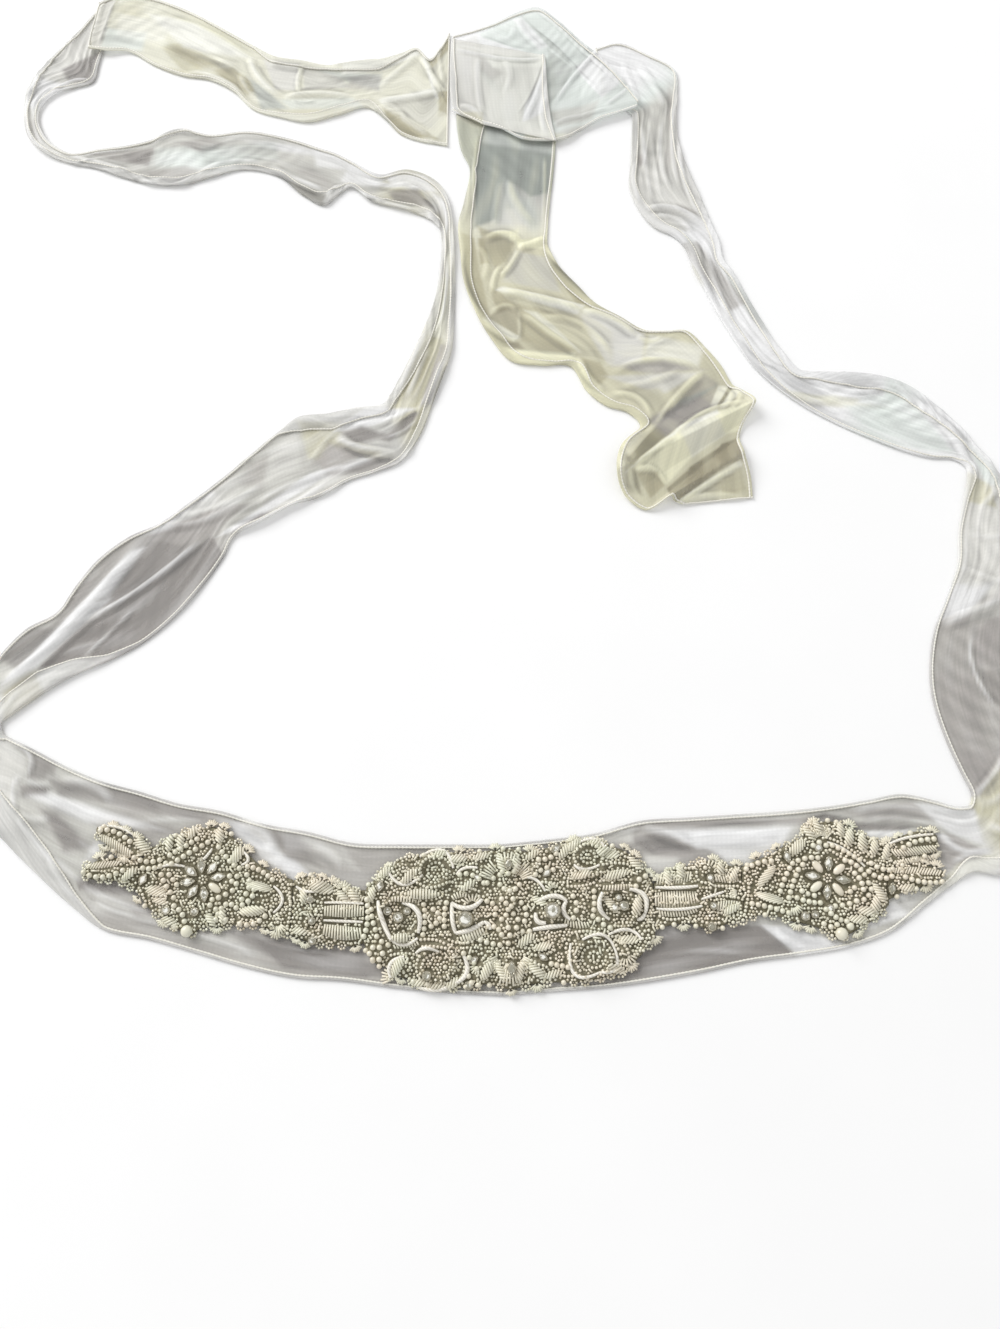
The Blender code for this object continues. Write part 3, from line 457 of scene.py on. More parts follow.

# ---------------------------------------------------------------- creases, patches and facets by stretch: painted light and shade in the cloth's tone
BAND_CREASES = [
    Crease(-322, 114, -304, 103, -306, 88, 1.2, 3, 0.7),
    Crease(-306, 90, -312, 82, -306, 62, 1.2, 3, 0.7),
    Crease(-306, 64, -300, 55, -285, 40, 1.0, 3, 0.6),
    Crease(-285, 42, -275, 26, -258, 8, 1.0, 3, 0.5),
    Crease(-306, 88, -295, 84, -286, 86, 1.5, 3, 0.6),
    Crease(-288, 86, -262, 84, -246, 72, 1.8, 6, 0.6),
    Crease(-290, 78, -262, 66, -218, 55, 1.6, 6, 0.7),
    Crease(-306, 66, -295, 62, -284, 64, 1.0, 4, 0.5),
    Crease(-268, 50, -255, 42, -246, 40, 0.8, 4),
    Crease(-300, 50, -270, 30, -262, 22, 1.0, 4, 0.5),
    Crease(-262, 22, -240, 12, -205, 0, 1.2, 4, 0.5),
    Crease(-252, 12, -232, 4, -200, -4, 0.8, 3, 0.5),
    Crease(-232, 60, -205, 62, -186, 60, 0.6, 3),
    Crease(-166, 60, -148, 52, -142, 38, 1.8, 6, 0.7),
    Crease(-142, 40, -130, 30, -112, 22, 1.2, 5, 0.5),
    Crease(-196, -6, -165, -14, -150, -22, 0.8, 3, 0.5),
    Crease(-150, -8, -130, -16, -95, -18, 0.6, 3, 0.3),
    Crease(-118, 46, -106, 40, -98, 28, 0.8, 5),
    Crease(-95, 42, -60, 43, -20, 42, 0.5, 2.5, -0.5),
    Crease(60, 53, 78, 55, 90, 58, 0.8, 3, 0.5),
    Crease(88, 58, 106, 52, 122, 44, 1.4, 5),
    Crease(90, 54, 108, 46, 126, 42, 0.6, 4, -0.5),
    Crease(118, 50, 145, 52, 175, 50, 1.4, 7, 0.5),
    Crease(100, 59, 140, 59, 190, 62, 0.8, 2.5, -0.7),
    Crease(190, 57, 202, 60, 212, 65, 0.8, 3, 0.6),
    Crease(194, 62, 210, 64, 226, 61, 0.7, 3, -0.6),
    Crease(222, 66, 246, 70, 280, 66, 1.6, 5, 0.5),
    Crease(228, 60, 256, 62, 292, 54, 1.2, 4, 0.5),
    Crease(246, 50, 268, 54, 290, 46, 1.0, 4, 0.5),
    Crease(262, 76, 282, 68, 304, 66, 1.5, 4, 0.5),
    Crease(276, 56, 290, 42, 312, 46, 1.8, 4, 0.8),
    Crease(282, 34, 296, 40, 312, 40, 1.2, 4, 0.7),
    Crease(168, -4, 176, -12, 190, -16, 0.8, 4),
    Crease(195, -14, 225, -4, 262, 6, 0.8, 4),
    Crease(88, -22, 120, -18, 150, -20, 0.6, 3, 0.3),
]
BAND_PATCHES = [
    Patch(-292, 48, 50, 16, -40, "silver", 0.6),
    Patch(-205, 60, 60, 8, -8, "silver", 0.6),
    Patch(-206, 0, 30, 10, -20, "grey", 0.6),
    Patch(-214, 56, 30, 8, -10, "smoke", 0.5),
    Patch(-150, 50, 50, 14, -55, "milk", 0.9),
    Patch(-118, 34, 36, 10, -40, "silver", 0.5),
    Patch(-75, 34, 16, 14, 0, "grey", 0.6),
    Patch(-80, -29, 60, 8, -3, "smoke", 0.9),
    Patch(-180, -12, 50, 6, -12, "silver"),
    Patch(-190, -3, 40, 8, -10, "smoke"),
    Patch(-150, -26, 40, 5, -12, "milk", 0.4),
    Patch(128, 43, 30, 4, -15, "smoke", 0.5),
    Patch(232, 4, 50, 14, 20, "milk", 0.9),
    Patch(240, 68, 60, 9, 4, "grey", 0.7),
    Patch(216, 60, 40, 5, -6, "smoke", 0.7),
    Patch(304, 58, 30, 14, 0, "milk", 0.4),
    Patch(304, 34, 30, 10, 20, "cream"),
    Patch(0, -41, 200, 5, 0, "silver", 0.5),
]

LEFT_CREASES = [
    Crease(-332, 148, -292, 190, -244, 262, 3.6, 8, 0.9),
    Crease(-318, 152, -285, 186, -262, 212, 1.4, 3.5),
    Crease(-300, 180, -270, 212, -250, 246, 1.0, 3, -0.5),
    Crease(-282, 194, -240, 224, -203, 262, 2.6, 4.5, 0.8),
    Crease(-280, 168, -262, 188, -246, 208, 1.2, 2.5, 0.5),
    Crease(-278, 198, -240, 224, -200, 262, 1.2, 3, 0.5),
    Crease(-240, 268, -205, 272, -170, 296, 1.6, 5, 0.5),
    Crease(-225, 276, -195, 282, -160, 306, 1.4, 5),
    Crease(-196, 262, -155, 276, -118, 306, 2.2, 5, 0.9),
    Crease(-118, 306, -95, 318, -78, 322, 1.8, 4, 0.8),
    Crease(-172, 282, -145, 300, -98, 318, 1.4, 4, 0.8),
    Crease(-185, 276, -160, 290, -130, 312, 1.0, 3, -0.5),
    Crease(-186, 262, -172, 266, -162, 276, 1.0, 3, 0.5),
    Crease(-160, 282, -130, 290, -98, 304, 1.0, 3, 0.6),
    Crease(-148, 352, -125, 350, -100, 362, 1.4, 4, 0.6),
    Crease(-118, 338, -100, 328, -70, 324, 3.0, 5.5, 0.9),
    Crease(-116, 332, -96, 321, -66, 318, 0.8, 3.5, -0.8),
    Crease(-96, 358, -120, 340, -138, 312, 1.0, 3),
    Crease(-110, 348, -85, 350, -64, 360, 1.2, 4, 0.7),
    Crease(-88, 338, -74, 348, -58, 360, 0.8, 2.5, -0.7),
    Crease(-84, 336, -70, 342, -60, 352, 1.0, 2.5, 0.6),
    Crease(-70, 320, -55, 335, -50, 355, 1.6, 4, 0.5),
    Crease(-326, 128, -312, 150, -282, 160, 1.2, 4, 0.5),
    Crease(-78, 366, -66, 396, -56, 425, 1.2, 4, 0.6),
    Crease(-70, 366, -60, 392, -50, 418, 1.0, 4, 0.5),
    Crease(-60, 356, -50, 378, -42, 402, 1.6, 4, 0.7),
    Crease(-50, 362, -44, 382, -38, 400, 0.8, 3, -0.7),
    Crease(-52, 420, -42, 450, -40, 500, 1.4, 3, 0.7),
    Crease(-44, 420, -38, 455, -36.5, 500, 0.6, 2.5, -0.5),
    Crease(-47, 460, -44, 490, -44, 512, 0.8, 2.5, 0.5),
    Crease(-42, 510, -44, 540, -60, 558, 1.6, 4, 0.8),
    Crease(-46, 514, -52, 540, -64, 550, 0.6, 3, -0.8),
    Crease(-70, 566, -90, 562, -116, 572, 1.4, 4, 0.8),
    Crease(-60, 560, -84, 560, -120, 564, 1.2, 3.5, 0.6),
    Crease(-58, 536, -88, 544, -118, 558, 1.4, 3.5, 0.8),
    Crease(-84, 548, -104, 548, -118, 560, 0.6, 2.5, -0.8),
    Crease(-122, 562, -130, 560, -136, 552, 1.4, 3, 0.8),
    Crease(-136, 556, -160, 568, -184, 582, 2.0, 4.5, 0.9),
    Crease(-140, 550, -160, 560, -178, 574, 0.6, 3, -0.9),
    Crease(-184, 582, -215, 586, -240, 572, 1.8, 4.5, 0.8),
    Crease(-240, 574, -262, 560, -290, 574, 1.4, 4, 0.8),
    Crease(-236, 578, -260, 566, -282, 578, 0.6, 2.5, -0.5),
    Crease(-290, 574, -315, 584, -345, 590, 1.4, 3.5, 0.9),
    Crease(-300, 574, -325, 582, -345, 587, 0.5, 2, -0.5),
    Crease(-250, 604, -236, 598, -222, 606, 0.6, 4, -0.6),
    Crease(-280, 600, -262, 618, -246, 612, 1.4, 4, 0.5),
    Crease(-345, 592, -372, 604, -381, 632, 0.9, 2.5, 0.8),
    Crease(-342, 588, -368, 598, -377, 622, 0.5, 2, -0.5),
    Crease(-382, 625, -384, 655, -372, 684, 0.9, 3, 0.7),
    Crease(-377, 628, -377, 650, -362, 664, 0.8, 2.5, 0.6),
    Crease(-374, 640, -370, 656, -352, 664, 0.5, 2, -0.5),
    Crease(-368, 654, -352, 668, -336, 670, 1.4, 3, 0.9),
]
LEFT_PATCHES = [
    Patch(-176, 268, 34, 7, 35, "ash"),
    Patch(-108, 328, 60, 12, -15, "olive", 0.6),
    Patch(-66, 348, 22, 7, 60, "smoke"),
    Patch(-46, 530, 20, 6, -70, "bark", 0.7),
    Patch(-60, 568, 40, 7, -20, "milk", 0.6),
    Patch(-170, 600, 64, 9, -12, "white"),
    Patch(-238, 588, 80, 26, 0, "ice", 0.9),
    Patch(-200, 574, 60, 6, 3, "milk", 0.7),
    Patch(-270, 566, 40, 5, 5, "milk", 0.6),
    Patch(-362, 700, 50, 10, 55, "silver", 0.7),
    Patch(-382, 640, 60, 5, 88, "milk", 0.5),
]

RIGHT_CREASES = [
    Crease(302, 76, 318, 92, 326, 104, 1.4, 4, 0.8),
    Crease(306, 70, 325, 80, 345, 96, 1.2, 5),
    Crease(308, 60, 322, 54, 338, 58, 1.6, 5, 0.6),
    Crease(318, 186, 315, 162, 328, 132, 1.0, 2.4, 0.8),
    Crease(321, 182, 318, 162, 331, 134, 0.4, 2.4, -0.5),
    Crease(296, 192, 318, 202, 345, 214, 1.8, 5, 0.6),
    Crease(298, 188, 318, 196, 342, 206, 0.8, 4, -0.4),
    Crease(316, 236, 330, 230, 350, 222, 0.8, 4),
    Crease(326, 262, 340, 258, 356, 262, 0.8, 4, 0.3),
    Crease(338, 280, 346, 290, 354, 296, 1.2, 4, 0.6),
    Crease(334, 314, 322, 344, 298, 366, 2.0, 5, 0.8),
    Crease(346, 312, 332, 342, 310, 362, 1.0, 2.5, 0.7),
    Crease(350, 304, 342, 332, 322, 354, 0.8, 2.5, -0.4),
    Crease(340, 308, 326, 338, 302, 362, 0.5, 2.0, -0.5),
    Crease(285, 378, 250, 370, 205, 392, 1.2, 3, -0.2),
    Crease(286, 380, 252, 376, 212, 394, 1.2, 3, 0.8),
    Crease(288, 384, 296, 372, 312, 360, 1.0, 3, 0.6),
    Crease(262, 366, 285, 362, 305, 352, 0.8, 3),
    Crease(300, 330, 270, 342, 236, 362, 0.8, 4),
    Crease(240, 366, 215, 374, 192, 402, 1.4, 4, 0.8),
    Crease(214, 392, 196, 402, 180, 428, 1.2, 3, 0.8),
    Crease(208, 392, 190, 402, 176, 424, 0.6, 2.5, -0.7),
    Crease(206, 404, 192, 418, 180, 440, 0.9, 2.5, 0.7),
    Crease(200, 402, 184, 418, 172, 446, 0.5, 2.0, -0.4),
    Crease(176, 432, 164, 468, 158, 512, 1.8, 4.5, 0.9),
    Crease(196, 424, 180, 452, 168, 492, 0.9, 2.5, 0.6),
    Crease(168, 462, 158, 490, 150, 512, 0.7, 3, -0.6),
    Crease(172, 490, 172, 516, 160, 540, 1.0, 3, 0.7),
    Crease(112, 538, 136, 540, 160, 522, 2.6, 4.5, 0.9),
    Crease(116, 532, 138, 530, 150, 512, 1.4, 3.5, 0.7),
    Crease(110, 534, 132, 534, 146, 520, 0.5, 2.5, -0.6),
    Crease(150, 552, 144, 575, 144, 610, 1.2, 3, 0.8),
    Crease(158, 530, 148, 556, 143, 590, 0.9, 2.5, 0.6),
    Crease(112, 540, 106, 565, 110, 590, 1.0, 3, 0.6),
    Crease(120, 546, 116, 580, 114, 636, 1.2, 4, 0.6),
    Crease(136, 556, 128, 590, 134, 640, 1.2, 4, 0.6),
    Crease(128, 550, 124, 590, 122, 640, 0.6, 3, -0.4),
    Crease(142, 560, 138, 600, 142, 652, 0.8, 3, 0.6),
    Crease(134, 640, 128, 660, 112, 690, 1.4, 5, 0.6),
    Crease(112, 642, 108, 665, 100, 694, 1.0, 4),
]
RIGHT_PATCHES = [
    Patch(330, 76, 40, 26, 60, "straw"),
    Patch(342, 236, 50, 16, 60, "milk"),
    Patch(250, 364, 60, 6, -5, "straw", 0.5),
    Patch(188, 450, 70, 9, -62, "mist", 0.9),
    Patch(152, 496, 44, 7, -65, "mist", 0.9),
    Patch(148, 480, 30, 5, -65, "straw", 0.6),
    Patch(164, 500, 60, 6, -75, "white", 0.7),
    Patch(134, 524, 30, 6, -20, "silver"),
    Patch(148, 538, 20, 6, -30, "grey"),
    Patch(112, 588, 16, 6, 80, "ash", 0.9),
    Patch(124, 610, 60, 8, 88, "silver", 0.9),
    Patch(134, 590, 40, 6, 86, "grey", 0.6),
    Patch(124, 568, 24, 12, 80, "milk", 0.7),
    Patch(138, 640, 50, 5, 88, "grey", 0.6),
    Patch(126, 680, 36, 16, -30, "white", 0.7),
]

TOP_RUN_CREASES = [
    Crease(-334, 756, -338, 730, -340, 702, 1.2, 3, 0.6),
    Crease(-324, 758, -329, 730, -333, 702, 0.8, 2.5, -0.7),
    Crease(-290, 716, -250, 696, -212, 676, 2.4, 7, -0.3),
    Crease(-282, 712, -240, 694, -214, 684, 1.8, 5, 0.5),
    Crease(-300, 742, -252, 726, -204, 692, 1.2, 6, 0.5),
    Crease(-262, 678, -232, 672, -206, 650, 1.6, 4, 0.7),
    Crease(-208, 698, -198, 672, -178, 652, 2.0, 5, 0.9),
    Crease(-200, 690, -190, 668, -170, 654, 0.8, 4, -0.4),
    Crease(-214, 680, -204, 656, -180, 640, 1.6, 5, 0.6),
    Crease(-206, 660, -190, 645, -168, 634, 0.8, 3, -0.4),
    Crease(-192, 690, -176, 684, -160, 684, 1.4, 4, 0.7),
    Crease(-162, 688, -166, 672, -164, 656, 1.2, 3, 0.8),
    Crease(-178, 652, -150, 656, -118, 652, 2.2, 4.5, 0.9),
    Crease(-168, 658, -150, 662, -128, 660, 0.8, 4, -0.4),
    Crease(-170, 650, -160, 646, -148, 650, 0.8, 2.5, -0.7),
    Crease(-152, 678, -128, 672, -100, 676, 0.8, 5, -0.5),
    Crease(-140, 684, -118, 690, -92, 686, 1.0, 4, 0.5),
    Crease(-104, 650, -75, 652, -46, 660, 1.8, 5, 0.8),
    Crease(-100, 648, -84, 640, -76, 626, 1.2, 4, 0.5),
    Crease(-100, 646, -80, 630, -52, 608, 2.4, 6, 0.7),
    Crease(-104, 642, -88, 624, -62, 610, 0.8, 4, -0.6),
    Crease(-100, 662, -84, 680, -66, 702, 1.2, 5, 0.5),
    Crease(-66, 700, -56, 676, -44, 654, 1.6, 4, 0.8),
    Crease(-60, 692, -50, 665, -44, 645, 0.6, 2.5, -0.6),
    Crease(-52, 712, -50, 690, -46, 666, 0.8, 3),
]
TOP_RUN_PATCHES = [
    Patch(-312, 746, 30, 22, 60, "straw", 0.5),
    Patch(-222, 670, 50, 12, -45, "olive", 0.6),
    Patch(-262, 678, 60, 8, -14, "straw", 0.9),
    Patch(-240, 720, 80, 16, -32, "butter", 0.6),
    Patch(-150, 638, 60, 14, 5, "straw", 0.7),
]

TOP_BACK_CREASES = [
    Crease(30, 746, 62, 712, 110, 648, 0.9, 2.5, -0.5),
    Crease(26, 748, 58, 714, 108, 650, 0.8, 2.5, 0.7),
    Crease(22, 726, 46, 704, 84, 652, 0.8, 2.5, -0.5),
    Crease(84, 702, 64, 678, 40, 634, 1.2, 3, 0.8),
    Crease(80, 700, 60, 676, 38, 630, 0.4, 2, -0.3),
    Crease(110, 666, 98, 652, 84, 640, 0.8, 3, 0.6),
    Crease(14, 736, 22, 716, 36, 700, 1.0, 4, 0.5),
    Crease(-8, 722, 6, 712, 14, 734, 0.6, 4, 0.3),
    Crease(-20, 716, 0, 704, 30, 696, 1.0, 4, 0.5),
    Crease(42, 620, 60, 630, 96, 640, 0.8, 3, 0.5),
    Crease(-36, 706, -20, 700, -8, 692, 1.0, 3, 0.7),
]
TOP_BACK_PATCHES = [
    Patch(60, 616, 34, 9, 20, "silver"),
    Patch(-24, 712, 30, 8, 20, "white"),
]
TOP_FRONT_CREASES = [
    Crease(-17, 694, -18, 660, -13, 622, 0.9, 4),
    Crease(-14, 690, -15, 660, -10, 630, 0.4, 2.5, -0.4),
    Crease(39, 690, 31, 656, 17, 618, 0.9, 3.5, 0.7),
    Crease(36, 690, 27, 656, 13, 628, 0.4, 2.5, -0.6),
    Crease(38, 650, 34, 630, 38, 610, 1.0, 4, 0.6),
    Crease(-38, 700, -20, 694, 0, 690, 1.2, 3.5, 0.6),
    Crease(-12, 692, 12, 688, 37, 689, 1.4, 3, 0.9),
    Crease(-34, 640, -22, 636, -13, 624, 1.0, 4, 0.6),
    Crease(2, 690, 8, 672, 2, 650, 0.6, 4, 0.3),
]
TOP_FRONT_PATCHES = [
    Patch(-10, 668, 30, 8, -60, "mist", 0.6),
    Patch(14, 660, 50, 20, 70, "milk", 0.6),
    Patch(-24, 634, 20, 12, 0, "silver", 0.6),
]

FALL_CREASES = [
    Crease(-13, 624, -20, 590, -20, 530, 1.0, 2.5, 0.7),
    Crease(-28, 590, -24, 556, -30, 522, 0.9, 3, 0.5),
    Crease(4, 575, -2, 545, -4, 522, 1.2, 5, 0.3),
    Crease(6, 572, 14, 545, 28, 524, 1.2, 6),
    Crease(36, 596, 35, 560, 34, 524, 0.8, 3, 0.5),
    Crease(-14, 510, 4, 516, 16, 506, 2.2, 5, 0.9),
    Crease(14, 504, 24, 506, 36, 512, 2.2, 5, 0.9),
    Crease(-18, 506, -10, 490, -14, 470, 1.0, 4),
    Crease(16, 504, 8, 486, 0, 476, 2.0, 4, 0.9),
    Crease(2, 486, -4, 476, -6, 458, 1.4, 3.5, 0.8),
    Crease(-27, 508, -24, 470, -8, 434, 1.0, 4, -0.5),
    Crease(-30, 500, -26, 465, -12, 436, 0.9, 3, 0.6),
    Crease(34, 506, 52, 480, 82, 446, 1.4, 4, 0.8),
    Crease(36, 492, 52, 474, 68, 456, 0.8, 5, -0.5),
    Crease(-4, 464, 34, 455, 66, 444, 3.0, 5.5, 0.9),
    Crease(60, 446, 84, 438, 104, 420, 2.4, 5, 0.9),
    Crease(10, 458, 50, 436, 62, 430, 0.8, 4, -0.4),
    Crease(14, 446, 38, 424, 64, 404, 2.8, 5, 0.9),
    Crease(28, 440, 62, 432, 84, 402, 2.0, 5, 0.7),
    Crease(24, 434, 56, 424, 76, 396, 0.8, 4, -0.4),
    Crease(14, 444, 16, 430, 14, 420, 0.9, 3, -0.5),
    Crease(-14, 438, 2, 422, 16, 418, 1.4, 4, 0.8),
    Crease(-8, 442, 4, 450, 14, 444, 1.0, 4, 0.5),
    Crease(6, 408, 36, 404, 58, 402, 1.6, 5, 0.6),
    Crease(58, 404, 66, 386, 78, 374, 1.6, 4.5, 0.8),
    Crease(100, 426, 112, 418, 122, 424, 1.0, 4, 0.5),
    Crease(80, 390, 115, 402, 150, 394, 2.0, 5, 0.5),
    Crease(104, 404, 118, 416, 136, 422, 0.8, 5, -0.3),
    Crease(86, 380, 112, 384, 136, 396, 1.4, 5),
    Crease(150, 392, 130, 372, 110, 344, 1.6, 4, 0.7),
    Crease(152, 388, 136, 372, 120, 350, 0.8, 4, -0.5),
    Crease(78, 372, 100, 370, 110, 350, 1.4, 4, 0.8),
    Crease(160, 380, 168, 370, 158, 356, 1.2, 3, 0.6),
    Crease(168, 378, 174, 368, 164, 356, 1.2, 3, 0.6),
    Crease(182, 362, 150, 356, 124, 334, 1.6, 3.5, 0.9),
    Crease(126, 336, 108, 322, 94, 308, 1.4, 3.5, 0.9),
    Crease(94, 305, 108, 309, 118, 297, 1.2, 3, 0.9),
    Crease(108, 346, 88, 326, 90, 300, 1.2, 5),
    Crease(92, 312, 94, 295, 104, 284, 1.0, 4, 0.5),
    Crease(123, 282, 149, 299, 171, 314, 1.4, 3.0, 0.9),
    Crease(124, 284, 150, 290, 172, 288, 1.0, 4, 0.6),
]
FALL_PATCHES = [
    Patch(24, 536, 40, 14, -80, "mist", 0.7),
    Patch(-24, 470, 70, 8, 110, "bark", 0.7),
    Patch(54, 472, 50, 8, -48, "olive", 0.9),
    Patch(30, 443, 50, 8, -22, "olive", 0.6),
    Patch(40, 412, 50, 8, -8, "olive", 0.7),
    Patch(70, 376, 36, 6, -35, "butter"),
    Patch(140, 288, 40, 8, 0, "cream", 0.6),
]

BAND_FACETS = [
    Facet(-319, 114, -303, 101, -288, 90, -284, 101, "smoke", 0.75, 4),
    Facet(-303, 101, -304, 88, -292, 88, -290, 98, "smoke", 0.7, 4),
    Facet(-308, 84, -306, 76, -290, 77, -290, 82, "smoke"),
    Facet(-323, 112, -307, 100, -310, 62, -319, 60, "milk", 0.7, 4),
    Facet(-302, 77, -288, 79, -216, 56, -262, 60, "white", 0.8, 5),
    Facet(-292, 68, -282, 66, -256, 44, -274, 42, "smoke", 0.9, 5),
    Facet(-290, 88, -226, 80, -214, 66, -282, 77, "smoke", 0.7, 4),
    Facet(-226, 79, -182, 64, -186, 58, -214, 66, "ash", 0.7, 5),
    Facet(-256, 46, -250, 54, -246, 44, -262, 33, "white", 0.7, 4),
    Facet(-264, 25, -224, 23, -218, 14, -262, 18, "smoke", 1.0, 3),
    Facet(-250, 16, -206, 2, -200, -4, -252, 6, "milk", 0.6, 4),
    Facet(-232, 10, -208, 6, -204, 1, -224, 2, "ash", 0.8, 3),
    Facet(-180, 62, -164, 60, -128, 34, -156, 44, "white", 0.9, 5),
    Facet(-152, 40, -128, 36, -112, 22, -128, 24, "white", 0.9, 4),
    Facet(-157, 56, -128, 51, -112, 32, -128, 36, "smoke", 0.8, 6),
    Facet(-126, 52, -98, 44, -88, 30, -110, 36, "milk", 0.6, 5),
    Facet(-186, -6, -122, -12, -110, -20, -160, -22, "smoke", 0.7, 4),
    Facet(-150, -12, -82, -18, -80, -34, -132, -28, "smoke"),
    Facet(-186, -8, -170, -6, -140, -22, -160, -22, "milk", 0.6, 4),
    Facet(80, 50, 102, 54, 124, 42, 96, 40, "smoke", 0.85, 3),
    Facet(96, 44, 142, 40, 138, 36, 100, 37, "ash", 0.8, 3),
    Facet(84, 40, 112, 38, 110, 30, 90, 32, "milk", 0.7, 4),
    Facet(102, 55, 184, 57, 178, 44, 124, 44, "white", 1.0, 4),
    Facet(130, 44, 178, 44, 172, 36, 142, 36, "white", 0.8, 4),
    Facet(92, 61, 200, 63, 200, 58.5, 96, 57.5, "ash", 0.8, 2),
    Facet(192, 60, 206, 66, 224, 60, 206, 61, "smoke"),
    Facet(222, 66, 262, 74, 282, 62, 236, 60, "ash", 0.6, 5),
    Facet(216, 60, 262, 58, 256, 54, 222, 55, "smoke", 0.8, 3),
    Facet(224, 54.5, 258, 55, 256, 51, 226, 51, "white", 0.8, 2),
    Facet(264, 72, 302, 68, 304, 46, 284, 53, "white", 0.8, 4),
    Facet(270, 54, 286, 52, 304, 42, 280, 27, "ash", 0.9, 2.5),
    Facet(92, -2, 163, -3, 180, -21, 66, -37, "smoke", 1.0, 3),
    Facet(160, -3, 178, -4, 216, -16, 182, -21, "white", 1.0, 2.5),
    Facet(212, -8, 236, 8, 268, 24, 250, 2, "white", 0.8, 4),
    Facet(240, 14, 256, 16, 270, 22, 252, 4, "silver", 0.6, 4),
    Facet(252, 2, 286, 34, 316, 42, 292, 28, "cream", 0.8, 3),
    Facet(62, 52, 84, 56, 84, 48, 62, 46, "milk", 0.8, 4),
]
